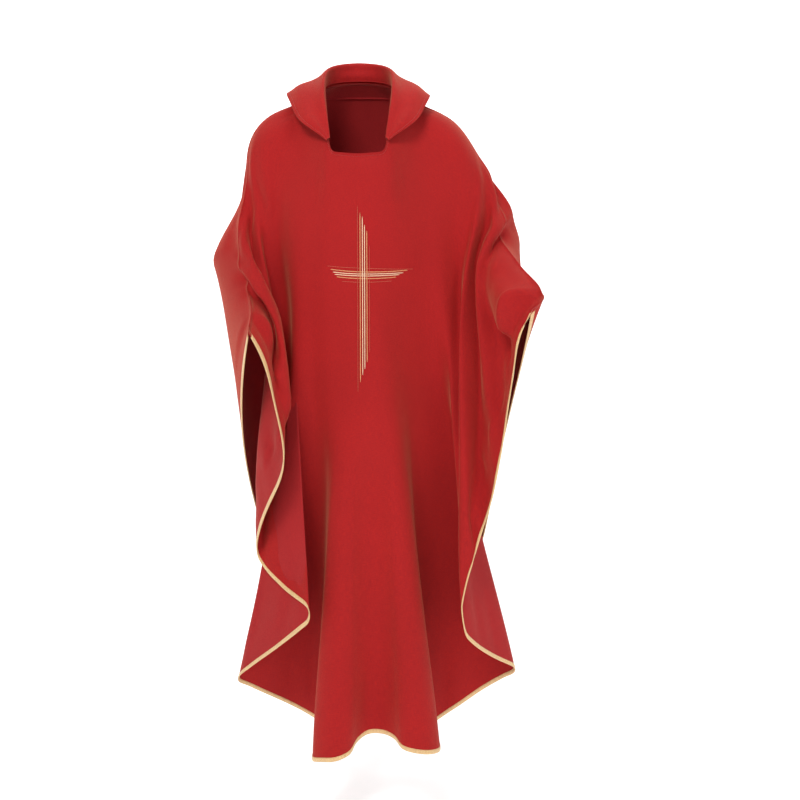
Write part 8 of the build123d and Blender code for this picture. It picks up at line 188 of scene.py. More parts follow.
(-419,583,313,-546,741,114,-646,850,-128,-721,920,-393,-787,978,-664,-850,1027,-937,-908,1061,-1213,-959,1078,-1492,-1005,1083,-1773,-1048,1082,-2054,-1089,1079,-2336,-1130,1078,-2617,-1170,1077,-2899,-1199,1080,-3182,-1218,1087,-3463,-1229,1097,-3745,-1233,1110,-4028,-1231,1126,-4313,-1222,1144,-4600,-1210,1163,-4888,-1193,1183,-5177,-1173,1196,-5467,-1152,1209,-5756,-1133,1219,-6041,-1115,1230,-6325,-1096,1244,-6610,-1078,1258,-6894,-1059,1273,-7179,-1039,1289,-7466,-1019,1304,-7752,-998,1320,-8039,-976,1335,-8326,-953,1351,-8612,-928,1366,-8898,-902,1382,-9184,-876,1397,-9470,-848,1412,-9755,-820,1428,-10039,-791,1445,-10321,-762,1463,-10600,-732,1482,-10874),
(-402,596,315,-526,757,112,-621,867,-137,-691,937,-408,-753,995,-684,-813,1044,-962,-868,1080,-1243,-917,1098,-1527,-961,1102,-1812,-1002,1100,-2097,-1042,1096,-2383,-1081,1092,-2669,-1118,1089,-2955,-1145,1088,-3243,-1161,1093,-3528,-1168,1104,-3813,-1169,1120,-4099,-1162,1142,-4387,-1150,1169,-4676,-1133,1190,-4966,-1110,1208,-5258,-1085,1230,-5550,-1059,1252,-5841,-1034,1269,-6129,-1010,1286,-6416,-985,1302,-6704,-961,1319,-6992,-936,1337,-7280,-911,1356,-7569,-887,1376,-7858,-862,1396,-8147,-836,1416,-8436,-810,1437,-8725,-784,1457,-9014,-757,1477,-9303,-729,1497,-9592,-700,1517,-9880,-671,1536,-10168,-640,1554,-10454,-606,1570,-10738,-568,1581,-11018),
(-384,608,318,-504,773,109,-595,884,-145,-661,953,-422,-719,1011,-703,-775,1061,-986,-827,1097,-1271,-874,1115,-1560,-917,1120,-1849,-957,1118,-2139,-995,1112,-2429,-1031,1106,-2720,-1066,1099,-3010,-1090,1093,-3302,-1103,1096,-3590,-1106,1106,-3879,-1103,1124,-4169,-1093,1151,-4459,-1078,1183,-4750,-1056,1205,-5042,-1029,1230,-5336,-998,1260,-5629,-967,1291,-5921,-935,1314,-6211,-904,1335,-6502,-874,1355,-6793,-843,1376,-7084,-813,1398,-7375,-783,1421,-7666,-753,1446,-7958,-723,1470,-8249,-694,1495,-8541,-665,1521,-8832,-636,1546,-9124,-608,1571,-9416,-579,1595,-9707,-549,1619,-9998,-518,1642,-10289,-484,1662,-10580,-445,1675,-10869,-398,1676,-11156),
(-367,619,320,-482,788,106,-568,899,-154,-629,969,-435,-683,1026,-721,-735,1077,-1009,-785,1113,-1299,-831,1132,-1591,-872,1137,-1885,-911,1134,-2179,-947,1127,-2473,-981,1118,-2768,-1014,1108,-3062,-1035,1098,-3358,-1043,1096,-3651,-1042,1104,-3943,-1036,1121,-4236,-1023,1151,-4529,-1005,1187,-4822,-979,1213,-5116,-946,1244,-5410,-908,1280,-5704,-870,1317,-5997,-834,1346,-6291,-798,1372,-6585,-762,1396,-6878,-726,1420,-7172,-690,1445,-7466,-653,1473,-7760,-616,1501,-8054,-580,1530,-8348,-545,1559,-8641,-511,1588,-8935,-477,1617,-9229,-444,1646,-9523,-412,1675,-9817,-380,1703,-10112,-346,1729,-10406,-310,1751,-10700,-270,1764,-10995,-220,1755,-11290),
(-349,630,322,-459,802,104,-540,915,-161,-597,984,-448,-647,1041,-739,-696,1092,-1031,-743,1129,-1325,-787,1148,-1621,-827,1153,-1919,-864,1150,-2217,-899,1142,-2515,-931,1131,-2814,-961,1118,-3112,-978,1103,-3412,-982,1097,-3708,-977,1100,-4005,-968,1114,-4300,-953,1143,-4596,-931,1183,-4892,-902,1212,-5188,-864,1245,-5484,-819,1283,-5780,-774,1324,-6075,-734,1357,-6371,-695,1386,-6667,-655,1414,-6964,-614,1441,-7261,-571,1469,-7557,-526,1500,-7854,-481,1531,-8150,-436,1562,-8446,-391,1593,-8742,-347,1623,-9038,-305,1654,-9335,-263,1685,-9631,-223,1715,-9928,-184,1745,-10225,-147,1773,-10523,-109,1798,-10821,-71,1814,-11120,-31,1803,-11423),
(-330,640,324,-435,817,102,-511,930,-168,-564,999,-460,-610,1056,-755,-656,1107,-1051,-701,1144,-1349,-743,1164,-1649,-782,1169,-1950,-817,1165,-2252,-850,1157,-2554,-880,1144,-2856,-908,1130,-3159,-921,1111,-3461,-920,1098,-3762,-911,1095,-4063,-899,1104,-4362,-882,1128,-4662,-860,1167,-4961,-830,1200,-5260,-790,1231,-5559,-743,1267,-5858,-695,1305,-6156,-652,1340,-6455,-610,1371,-6754,-565,1402,-7054,-518,1431,-7353,-469,1461,-7653,-416,1491,-7952,-362,1522,-8251,-307,1552,-8550,-251,1581,-8849,-195,1610,-9149,-137,1638,-9448,-81,1666,-9747,-29,1694,-10047,18,1721,-10348,61,1748,-10649,102,1774,-10951,140,1797,-11254,164,1799,-11561),
(-311,649,326,-411,830,100,-481,946,-175,-530,1014,-470,-572,1071,-769,-615,1121,-1069,-658,1158,-1370,-699,1178,-1674,-736,1182,-1979,-770,1180,-2284,-801,1172,-2590,-829,1159,-2895,-854,1143,-3201,-863,1121,-3507,-858,1103,-3812,-844,1094,-4116,-830,1096,-4420,-812,1112,-4724,-790,1143,-5027,-762,1183,-5330,-725,1209,-5633,-682,1239,-5936,-637,1271,-6239,-596,1302,-6542,-557,1330,-6845,-512,1358,-7149,-464,1386,-7453,-412,1413,-7756,-357,1440,-8060,-299,1466,-8363,-239,1492,-8667,-177,1516,-8970,-111,1539,-9274,-42,1560,-9578,27,1578,-9882,91,1597,-10186,145,1618,-10492,194,1640,-10797,239,1663,-11103,283,1687,-11409,325,1710,-11715),
(-292,658,328,-385,843,98,-451,961,-180,-495,1029,-479,-534,1085,-781,-575,1135,-1084,-615,1172,-1390,-654,1186,-1696,-690,1190,-2004,-723,1188,-2313,-751,1184,-2621,-777,1175,-2930,-800,1159,-3239,-804,1135,-3548,-794,1113,-3856,-777,1098,-4165,-759,1092,-4473,-741,1100,-4780,-721,1122,-5088,-697,1152,-5396,-667,1185,-5704,-632,1208,-6012,-597,1232,-6320,-566,1255,-6628,-536,1276,-6937,-502,1297,-7246,-465,1318,-7555,-424,1338,-7864,-381,1359,-8174,-335,1380,-8483,-286,1400,-8792,-235,1420,-9101,-181,1440,-9411,-123,1457,-9720,-63,1471,-10030,-5,1484,-10340,49,1497,-10650,99,1512,-10960,149,1528,-11269,198,1545,-11579,248,1563,-11888),
(-272,667,329,-359,856,97,-420,975,-184,-460,1044,-486,-496,1100,-791,-533,1149,-1098,-572,1183,-1406,-610,1193,-1716,-644,1197,-2026,-674,1196,-2337,-701,1192,-2649,-724,1186,-2960,-745,1177,-3272,-745,1152,-3584,-731,1128,-3895,-709,1109,-4207,-688,1097,-4519,-670,1098,-4830,-651,1110,-5142,-633,1130,-5455,-612,1157,-5768,-589,1184,-6081,-567,1201,-6394,-548,1217,-6707,-530,1231,-7021,-510,1245,-7336,-488,1259,-7651,-464,1273,-7966,-439,1287,-8281,-413,1303,-8596,-386,1319,-8911,-357,1336,-9226,-328,1354,-9541,-298,1374,-9856,-265,1394,-10171,-227,1414,-10485,-187,1432,-10799,-144,1448,-11113,-103,1463,-11427,-61,1478,-11740,-19,1492,-12054),
(-253,675,331,-333,868,97,-388,989,-187,-425,1059,-491,-457,1114,-800,-492,1162,-1109,-528,1189,-1419,-564,1200,-1731,-597,1205,-2044,-625,1204,-2358,-650,1201,-2672,-671,1196,-2986,-689,1189,-3300,-687,1174,-3614,-669,1149,-3928,-643,1127,-4243,-619,1112,-4558,-598,1106,-4873,-580,1110,-5189,-565,1121,-5505,-550,1137,-5823,-536,1156,-6141,-524,1176,-6458,-514,1187,-6776,-506,1194,-7095,-496,1201,-7414,-487,1208,-7733,-477,1215,-8053,-468,1223,-8373,-460,1233,-8692,-453,1244,-9012,-446,1256,-9332,-441,1270,-9652,-439,1288,-9971,-437,1309,-10291,-428,1332,-10610,-410,1353,-10928,-384,1372,-11245,-355,1388,-11563,-325,1403,-11880,-295,1418,-12198),
(-232,682,332,-306,879,97,-356,1003,-188,-389,1073,-495,-418,1127,-806,-450,1175,-1117,-484,1196,-1430,-518,1207,-1744,-548,1212,-2059,-575,1213,-2374,-598,1211,-2690,-618,1206,-3006,-634,1201,-3322,-629,1190,-3638,-608,1176,-3954,-580,1155,-4271,-552,1137,-4589,-529,1126,-4907,-508,1122,-5226,-492,1124,-5546,-477,1129,-5867,-465,1135,-6189,-455,1142,-6510,-448,1147,-6831,-441,1148,-7153,-435,1149,-7476,-429,1149,-7798,-426,1150,-8121,-423,1152,-8445,-423,1157,-8768,-424,1164,-9091,-427,1172,-9414,-432,1182,-9737,-440,1188,-10060,-451,1196,-10383,-459,1204,-10706,-461,1215,-11028,-456,1226,-11350,-446,1239,-11672,-435,1251,-11993,-422,1264,-12315),
(-212,688,334,-278,888,97,-323,1015,-190,-353,1086,-498,-379,1140,-810,-408,1183,-1123,-440,1202,-1438,-471,1213,-1753,-499,1219,-2070,-524,1221,-2387,-545,1221,-2704,-563,1218,-3021,-578,1214,-3339,-572,1205,-3656,-551,1196,-3974,-522,1186,-4292,-492,1175,-4612,-464,1162,-4932,-438,1152,-5253,-414,1147,-5576,-393,1144,-5900,-373,1141,-6224,-356,1138,-6547,-341,1133,-6871,-327,1125,-7195,-314,1117,-7519,-303,1110,-7844,-294,1102,-8169,-286,1094,-8494,-281,1088,-8819,-277,1083,-9144,-275,1079,-9469,-272,1074,-9794,-270,1066,-10119,-267,1056,-10443,-264,1047,-10768,-260,1042,-11092,-256,1042,-11417,-254,1045,-11741,-251,1051,-12065,-249,1057,-12390),
(-192,694,335,-251,897,97,-291,1026,-190,-316,1098,-499,-339,1151,-813,-365,1189,-1127,-394,1208,-1443,-423,1220,-1760,-449,1227,-2077,-471,1230,-2395,-491,1231,-2714,-508,1230,-3032,-522,1228,-3351,-516,1223,-3669,-497,1217,-3988,-469,1211,-4307,-439,1204,-4627,-409,1198,-4949,-377,1194,-5272,-344,1191,-5596,-312,1189,-5921,-280,1187,-6247,-250,1185,-6572,-223,1181,-6896,-197,1174,-7221,-172,1166,-7547,-148,1158,-7872,-127,1149,-8198,-107,1141,-8523,-89,1134,-8849,-72,1128,-9175,-57,1121,-9501,-40,1113,-9827,-22,1103,-10153,0,1093,-10478,21,1084,-10803,39,1079,-11129,53,1076,-11454,66,1074,-11780,78,1071,-12106,90,1069,-12431),
(-171,700,336,-223,904,98,-258,1035,-190,-280,1108,-500,-300,1162,-815,-322,1194,-1130,-348,1213,-1446,-374,1226,-1764,-397,1234,-2082,-417,1239,-2401,-435,1242,-2720,-450,1244,-3039,-464,1245,-3358,-460,1244,-3677,-445,1242,-3996,-422,1240,-4315,-396,1238,-4636,-367,1235,-4959,-333,1234,-5283,-295,1234,-5608,-255,1236,-5934,-215,1237,-6260,-175,1238,-6586,-137,1237,-6911,-101,1236,-7236,-66,1234,-7562,-31,1233,-7888,2,1233,-8213,34,1233,-8539,65,1233,-8865,93,1234,-9191,120,1235,-9517,147,1235,-9843,174,1236,-10169,200,1238,-10496,224,1241,-10822,245,1244,-11149,264,1247,-11475,281,1251,-11801,297,1254,-12128,312,1257,-12454),
(-150,704,337,-195,910,98,-225,1042,-190,-243,1116,-500,-260,1170,-815,-279,1199,-1131,-301,1218,-1448,-324,1233,-1765,-344,1242,-2084,-360,1250,-2403,-376,1255,-2722,-391,1259,-3041,-404,1263,-3361,-403,1267,-3680,-394,1271,-3999,-379,1275,-4318,-359,1278,-4639,-335,1281,-4962,-303,1284,-5286,-265,1289,-5612,-223,1295,-5938,-179,1301,-6264,-135,1306,-6590,-93,1310,-6916,-52,1313,-7242,-11,1317,-7567,30,1321,-7893,70,1326,-8219,110,1332,-8544,149,1338,-8870,186,1345,-9195,222,1353,-9521,254,1361,-9846,284,1369,-10172,309,1378,-10499,328,1387,-10826,345,1396,-11153,363,1403,-11479,383,1411,-11806,404,1418,-12132,426,1425,-12458),
(-129,709,338,-167,915,98,-192,1048,-190,-207,1123,-500,-220,1178,-815,-235,1203,-1131,-254,1224,-1448,-273,1239,-1765,-289,1251,-2084,-303,1260,-2403,-316,1268,-2722,-329,1276,-3041,-341,1283,-3360,-343,1293,-3679,-341,1304,-3997,-334,1314,-4316,-323,1324,-4637,-306,1333,-4960,-280,1342,-5284,-246,1352,-5609,-207,1363,-5935,-165,1375,-6261,-122,1385,-6587,-80,1395,-6912,-40,1404,-7238,0,1413,-7563,41,1423,-7889,82,1433,-8214,124,1445,-8540,166,1457,-8865,207,1470,-9190,247,1484,-9514,286,1498,-9839,321,1513,-10164,352,1528,-10489,377,1541,-10815,399,1553,-11141,421,1565,-11467,445,1576,-11793,471,1587,-12119,498,1598,-12445),
(-108,712,338,-139,919,98,-159,1052,-190,-171,1127,-500,-180,1182,-814,-192,1208,-1130,-207,1229,-1446,-221,1246,-1764,-233,1260,-2082,-243,1272,-2400,-253,1282,-2719,-263,1293,-3038,-274,1305,-3356,-279,1321,-3674,-283,1339,-3992,-284,1357,-4310,-282,1373,-4631,-273,1389,-4953,-255,1405,-5276,-228,1421,-5600,-196,1438,-5925,-160,1456,-6250,-123,1472,-6575,-87,1488,-6900,-54,1503,-7225,-20,1518,-7551,14,1533,-7876,50,1549,-8201,87,1565,-8526,126,1582,-8851,165,1599,-9176,206,1617,-9500,247,1636,-9824,288,1655,-10148,330,1675,-10471,369,1694,-10794,405,1712,-11118,438,1728,-11442,469,1744,-11767,497,1760,-12092,525,1775,-12417),
(-86,715,339,-111,921,98,-126,1054,-190,-134,1131,-499,-140,1185,-813,-148,1211,-1128,-159,1234,-1444,-169,1253,-1761,-177,1269,-2079,-182,1283,-2397,-188,1297,-2714,-195,1312,-3032,-203,1328,-3350,-209,1350,-3666,-217,1375,-3983,-225,1400,-4301,-230,1423,-4621,-229,1446,-4942,-220,1468,-5264,-202,1492,-5587,-180,1515,-5911,-155,1539,-6234,-128,1562,-6558,-104,1584,-6882,-81,1605,-7206,-58,1626,-7531,-35,1646,-7855,-10,1667,-8180,16,1688,-8505,44,1708,-8830,74,1728,-9154,106,1749,-9479,141,1769,-9803,179,1790,-10127,221,1812,-10450,262,1836,-10772,300,1859,-11094,334,1881,-11417,365,1903,-11740,395,1924,-12064,425,1945,-12388),
(-65,717,339,-83,923,98,-94,1056,-190,-98,1133,-499,-101,1187,-812,-104,1215,-1126,-111,1239,-1441,-117,1260,-1758,-120,1278,-2075,-120,1294,-2392,-121,1311,-2709,-123,1330,-3026,-127,1350,-3342,-133,1378,-3656,-142,1409,-3972,-153,1441,-4290,-163,1471,-4609,-168,1500,-4928,-166,1529,-5250,-158,1558,-5571,-147,1588,-5893,-134,1617,-6215,-121,1646,-6537,-108,1674,-6860,-97,1702,-7183,-86,1728,-7506,-75,1755,-7829,-63,1780,-8153,-51,1805,-8476,-37,1830,-8800,-22,1854,-9125,-5,1877,-9449,14,1899,-9774,35,1919,-10099,61,1940,-10425,90,1962,-10749,120,1987,-11072,148,2012,-11394,174,2038,-11716,198,2062,-12039,221,2087,-12362),
(-43,719,340,-55,924,98,-61,1057,-190,-62,1135,-498,-61,1189,-811,-61,1219,-1124,-63,1244,-1439,-65,1266,-1754,-63,1285,-2070,-59,1304,-2387,-53,1324,-2703,-49,1347,-3018,-47,1371,-3333,-51,1403,-3646,-58,1440,-3961,-69,1477,-4278,-79,1513,-4596,-87,1548,-4914,-90,1583,-5234,-89,1617,-5554,-87,1652,-5874,-84,1688,-6194,-80,1723,-6514,-76,1757,-6835,-73,1790,-7155,-71,1823,-7476,-68,1855,-7798,-67,1887,-8119,-65,1917,-8441,-63,1948,-8763,-62,1977,-9086,-60,2006,-9408,-59,2033,-9732,-60,2057,-10057,-59,2079,-10383,-52,2100,-10709,-38,2124,-11034,-21,2149,-11358,-3,2177,-11680,14,2205,-12002,32,2234,-12324),
(-22,720,340,-27,924,98,-29,1057,-190,-27,1137,-498,-22,1191,-809,-18,1222,-1122,-15,1249,-1436,-13,1271,-1751,-7,1292,-2067,3,1312,-2382,14,1335,-2697,25,1360,-3012,33,1387,-3325,34,1423,-3636,31,1464,-3951,25,1505,-4267,17,1546,-4584,10,1585,-4901,6,1625,-5219,4,1665,-5537,2,1706,-5855,0,1747,-6172,-1,1788,-6490,-1,1828,-6808,0,1867,-7126,1,1906,-7445,0,1944,-7764,-1,1982,-8083,-3,2020,-8401,-6,2057,-8720,-9,2094,-9040,-14,2131,-9359,-22,2167,-9678,-34,2203,-9998,-50,2238,-10318,-63,2272,-10639,-70,2304,-10961,-70,2335,-11283,-67,2367,-11605,-62,2398,-11926,-57,2430,-12248),
(0,720,340,1,924,98,3,1057,-190,9,1139,-497,17,1193,-808,25,1225,-1120,32,1252,-1434,39,1275,-1748,49,1296,-2064,63,1317,-2379,81,1341,-2693,98,1369,-3006,114,1398,-3319,120,1436,-3628,123,1479,-3943,122,1523,-4259,119,1566,-4575,117,1609,-4892,117,1652,-5208,118,1696,-5524,120,1741,-5840,122,1787,-6155,125,1832,-6471,129,1876,-6787,135,1919,-7103,141,1962,-7420,146,2004,-7737,151,2047,-8053,155,2089,-8370,159,2132,-8686,162,2174,-9002,164,2218,-9318,165,2262,-9634,164,2309,-9948,160,2357,-10261,156,2406,-10575,154,2451,-10889,155,2493,-11206,158,2533,-11524,162,2572,-11842,165,2611,-12160),
(22,720,340,28,924,98,35,1058,-189,44,1141,-496,56,1195,-807,67,1228,-1118,78,1255,-1432,89,1277,-1747,103,1298,-2062,122,1319,-2377,145,1343,-2690,168,1372,-3003,191,1402,-3314,204,1441,-3624,213,1483,-3939,218,1527,-4255,220,1571,-4571,224,1614,-4888,230,1657,-5204,238,1700,-5521,248,1744,-5837,258,1789,-6153,270,1833,-6469,283,1876,-6785,298,1918,-7102,313,1960,-7419,328,2002,-7736,344,2044,-8053,359,2086,-8370,375,2127,-8686,391,2169,-9003,408,2212,-9319,426,2255,-9635,448,2300,-9950,473,2346,-10265,498,2390,-10580,520,2432,-10897,538,2471,-11216,554,2508,-11535,569,2545,-11854,584,2582,-12173),
(43,719,340,56,923,98,68,1058,-189,80,1143,-495,94,1197,-805,109,1229,-1117,124,1256,-1430,138,1277,-1745,156,1296,-2061,178,1316,-2376,205,1340,-2689,234,1368,-3002,263,1398,-3313,281,1435,-3623,295,1476,-3938,305,1518,-4255,312,1559,-4573,320,1600,-4890,328,1640,-5208,340,1679,-5526,352,1719,-5845,366,1758,-6163,382,1797,-6481,400,1835,-6800,419,1872,-7119,440,1910,-7438,461,1947,-7757,483,1984,-8076,506,2020,-8395,529,2057,-8715,554,2092,-9034,579,2128,-9354,607,2163,-9673,640,2196,-9994,676,2228,-10315,708,2258,-10637,732,2287,-10960,751,2317,-11282,766,2349,-11603,780,2381,-11925,795,2413,-12246),
(65,717,339,84,922,98,100,1058,-188,115,1144,-494,132,1198,-804,151,1231,-1115,168,1256,-1429,186,1275,-1745,206,1292,-2061,232,1310,-2376,262,1332,-2690,295,1358,-3002,327,1386,-3314,350,1420,-3625,368,1457,-3942,380,1495,-4260,389,1532,-4579,398,1569,-4898,406,1604,-5218,417,1639,-5538,428,1672,-5859,441,1706,-6180,455,1738,-6501,472,1770,-6823,490,1801,-7144,510,1832,-7466,532,1863,-7788,554,1894,-8110,577,1923,-8432,601,1953,-8754,626,1981,-9077,650,2008,-9400,675,2034,-9724,702,2059,-10048,728,2081,-10373,751,2105,-10697,772,2130,-11020,791,2157,-11343,809,2185,-11665,826,2213,-11988,842,2240,-12311),
(86,715,339,112,921,99,132,1058,-187,150,1145,-493,170,1199,-802,191,1231,-1114,212,1255,-1428,233,1271,-1744,256,1285,-2061,283,1300,-2377,315,1319,-2692,349,1342,-3005,384,1367,-3318,409,1396,-3630,428,1427,-3949,442,1460,-4268,451,1492,-4589,458,1523,-4909,465,1553,-5231,472,1582,-5554,480,1609,-5877,488,1636,-6201,497,1662,-6525,508,1687,-6850,520,1712,-7173,534,1736,-7498,550,1760,-7822,567,1784,-8147,585,1807,-8472,604,1830,-8797,623,1852,-9122,641,1873,-9448,659,1894,-9774,674,1913,-10100,687,1933,-10425,701,1954,-10750,719,1976,-11075,742,1999,-11398,767,2021,-11722,794,2043,-12046,821,2065,-12369),
(108,712,338,140,918,99,165,1056,-186,186,1145,-491,208,1199,-801,232,1230,-1113,255,1252,-1428,278,1265,-1745,303,1276,-2062,331,1288,-2378,363,1303,-2694,398,1322,-3008,434,1342,-3323,460,1365,-3637,478,1390,-3957,492,1415,-4278,500,1440,-4600,504,1465,-4923,508,1489,-5247,511,1512,-5571,514,1534,-5897,515,1554,-6223,517,1574,-6550,520,1593,-6876,523,1611,-7202,528,1629,-7528,535,1647,-7854,543,1665,-8181,553,1683,-8508,564,1700,-8834,577,1717,-9161,589,1735,-9488,601,1752,-9815,612,1769,-10141,623,1786,-10467,636,1804,-10793,655,1822,-11118,679,1840,-11443,707,1857,-11768,739,1874,-12092,771,1891,-12417),
(129,709,338,168,915,99,197,1054,-185,221,1143,-490,245,1197,-800,271,1228,-1112,298,1248,-1428,323,1259,-1745,349,1266,-2062,377,1274,-2379,409,1285,-2696,443,1299,-3012,477,1314,-3328,503,1330,-3644,520,1347,-3965,532,1364,-4287,539,1382,-4611,542,1400,-4935,542,1418,-5260,541,1435,-5587,540,1451,-5914,536,1466,-6242,531,1480,-6570,526,1494,-6897,520,1506,-7224,515,1518,-7551,512,1531,-7879,510,1543,-8206,511,1556,-8534,515,1569,-8861,521,1582,-9189,530,1596,-9516,542,1610,-9843,555,1624,-10169,572,1638,-10496,591,1652,-10822,613,1665,-11148,634,1678,-11474,656,1691,-11799,681,1704,-12125,708,1717,-12450),
(150,704,337,196,911,100,230,1050,-184,256,1139,-489,282,1195,-799,311,1224,-1112,340,1243,-1427,367,1251,-1745,394,1255,-2062,422,1260,-2380,452,1267,-2697,484,1275,-3014,516,1284,-3331,541,1294,-3648,557,1303,-3970,567,1312,-4294,574,1322,-4618,576,1333,-4944,575,1345,-5270,572,1356,-5597,567,1367,-5925,560,1377,-6254,551,1386,-6582,540,1394,-6910,529,1402,-7237,517,1409,-7565,505,1416,-7892,496,1423,-8220,488,1431,-8547,484,1439,-8874,484,1448,-9202,489,1458,-9529,498,1468,-9856,512,1479,-10183,530,1489,-10509,549,1498,-10836,564,1508,-11163,578,1517,-11489,595,1526,-11816,615,1534,-12142,636,1543,-12468),
(171,700,336,224,906,100,263,1045,-183,291,1133,-488,320,1192,-798,351,1220,-1111,382,1237,-1427,411,1243,-1744,439,1245,-2061,467,1247,-2379,495,1250,-2697,524,1253,-3014,554,1256,-3332,577,1259,-3650,592,1261,-3972,602,1262,-4296,610,1265,-4620,613,1269,-4946,612,1274,-5273,609,1280,-5600,604,1285,-5928,596,1291,-6256,586,1295,-6585,574,1299,-6912,561,1301,-7239,546,1304,-7566,531,1306,-7893,517,1307,-8219,503,1310,-8546,493,1313,-8873,486,1316,-9200,482,1321,-9526,483,1326,-9853,488,1332,-10180,496,1338,-10507,505,1344,-10834,514,1350,-11160,522,1355,-11487,533,1360,-11814,547,1365,-12140,563,1369,-12466),
(192,694,335,252,899,100,295,1038,-183,327,1125,-487,357,1187,-797,390,1214,-1109,423,1230,-1424,455,1236,-1741,484,1236,-2058,511,1235,-2376,538,1235,-2693,565,1233,-3011,592,1232,-3328,614,1229,-3646,629,1224,-3968,641,1218,-4291,650,1214,-4616,656,1212,-4940,657,1211,-5266,656,1211,-5593,652,1211,-5921,647,1212,-6248,639,1212,-6575,631,1211,-6902,621,1209,-7227,609,1207,-7553,596,1204,-7879,581,1200,-8205,566,1196,-8530,552,1193,-8856,539,1190,-9181,527,1188,-9507,516,1187,-9833,507,1187,-10159,500,1188,-10485,496,1190,-10812,496,1191,-11138,498,1192,-11464,503,1193,-11790,510,1193,-12116,517,1193,-12442),
(212,688,334,280,892,100,328,1029,-181,362,1116,-485,394,1181,-794,429,1208,-1106,465,1223,-1420,498,1229,-1736,529,1228,-2053,556,1226,-2369,582,1223,-2686,608,1218,-3003,633,1213,-3320,654,1205,-3636,670,1195,-3958,684,1184,-4280,698,1168,-4603,707,1153,-4926,711,1141,-5251,713,1131,-5576,713,1122,-5902,712,1114,-6228,711,1105,-6553,709,1095,-6878,706,1083,-7202,702,1070,-7527,695,1055,-7851,685,1039,-8175,674,1021,-8499,662,1003,-8823,649,986,-9147,634,967,-9471,617,950,-9795,599,936,-10119,581,924,-10444,568,915,-10769,560,906,-11093,556,897,-11418,552,888,-11743,550,878,-12068,547,868,-12392),
(232,682,332,307,883,101,361,1019,-179,397,1104,-482,432,1169,-790,468,1201,-1100,506,1216,-1413,542,1222,-1728,574,1222,-2043,602,1219,-2359,628,1214,-2674,653,1207,-2990,677,1200,-3305,699,1189,-3621,716,1173,-3941,733,1144,-4261,751,1117,-4582,765,1094,-4903,774,1074,-5226,779,1056,-5549,784,1039,-5872,790,1022,-6196,796,1006,-6519,802,988,-6842,809,970,-7165,814,951,-7487,817,929,-7810,816,904,-8132,814,879,-8455,810,853,-8777,804,826,-9099,796,798,-9421,786,769,-9743,773,740,-10065,758,710,-10386,742,682,-10708,729,658,-11031,719,636,-11353,712,614,-11675,706,592,-11998,700,571,-12320),
(253,675,331,335,873,102,393,1008,-176,433,1091,-477,469,1155,-784,508,1193,-1093,548,1209,-1404,585,1215,-1716,619,1216,-2030,649,1213,-2343,676,1208,-2657,701,1201,-2971,725,1193,-3285,748,1182,-3599,767,1156,-3917,787,1125,-4235,809,1096,-4553,828,1069,-4872,841,1046,-5192,852,1025,-5512,863,1005,-5834,875,985,-6155,890,966,-6476,905,946,-6797,921,926,-7117,935,904,-7438,947,881,-7758,956,855,-8079,964,828,-8399,972,801,-8720,979,773,-9040,985,745,-9360,992,715,-9681,1000,683,-10001,1007,647,-10321,1010,611,-10640,1012,579,-10960,1013,552,-11281,1015,529,-11601,1019,508,-11922,1022,487,-12242),
(272,667,329,362,863,103,425,995,-172,468,1077,-471,506,1140,-776,547,1185,-1082,589,1201,-1391,629,1209,-1701,665,1211,-2012,696,1209,-2324,724,1205,-2635,750,1199,-2947,776,1191,-3259,800,1181,-3571,822,1158,-3886,844,1130,-4202,869,1103,-4517,891,1080,-4833,906,1060,-5150,919,1043,-5468,932,1027,-5786,947,1013,-6105,964,999,-6424,982,984,-6743,1001,968,-7061,1018,951,-7380,1034,932,-7698,1047,913,-8017,1061,892,-8335,1075,873,-8654,1089,854,-8972,1105,835,-9291,1124,818,-9610,1149,802,-9928,1178,788,-10247,1204,776,-10566,1223,765,-10886,1235,756,-11204,1241,746,-11523,1246,737,-11842,1250,728,-12161),
(292,658,328,388,851,105,457,981,-168,503,1061,-464,544,1124,-766,586,1174,-1069,630,1194,-1375,672,1203,-1683,710,1206,-1991,743,1206,-2300,774,1204,-2609,801,1199,-2918,828,1194,-3228,854,1186,-3537,878,1174,-3850,902,1154,-4162,928,1134,-4474,949,1119,-4787,962,1106,-5100,970,1097,-5415,978,1090,-5731,987,1084,-6047,997,1079,-6363,1009,1072,-6679,1022,1064,-6995,1033,1055,-7311,1043,1045,-7627,1051,1035,-7943,1058,1026,-8259,1067,1017,-8575,1076,1010,-8891,1086,1004,-9208,1099,1002,-9524,1116,1003,-9841,1134,1011,-10158,1148,1023,-10475,1154,1034,-10791,1156,1039,-11108,1155,1041,-11424,1153,1040,-11740,1151,1039,-12056),
(311,649,326,414,838,106,488,966,-162,538,1046,-455,581,1107,-754,626,1157,-1055,671,1186,-1357,715,1196,-1661,754,1201,-1967,790,1203,-2272,822,1203,-2579,852,1201,-2885,880,1198,-3192,908,1194,-3498,933,1190,-3808,959,1185,-4117,984,1180,-4425,1002,1174,-4735,1010,1171,-5045,1011,1170,-5356,1010,1170,-5669,1008,1171,-5981,1006,1173,-6294,1006,1173,-6607,1008,1173,-6920,1008,1172,-7232,1005,1171,-7545,999,1170,-7858,994,1170,-8170,987,1170,-8483,981,1172,-8796,974,1175,-9110,966,1178,-9423,957,1181,-9736,945,1183,-10049,931,1184,-10362,917,1183,-10675,904,1181,-10988,890,1177,-11300,877,1172,-11612,863,1168,-11925),
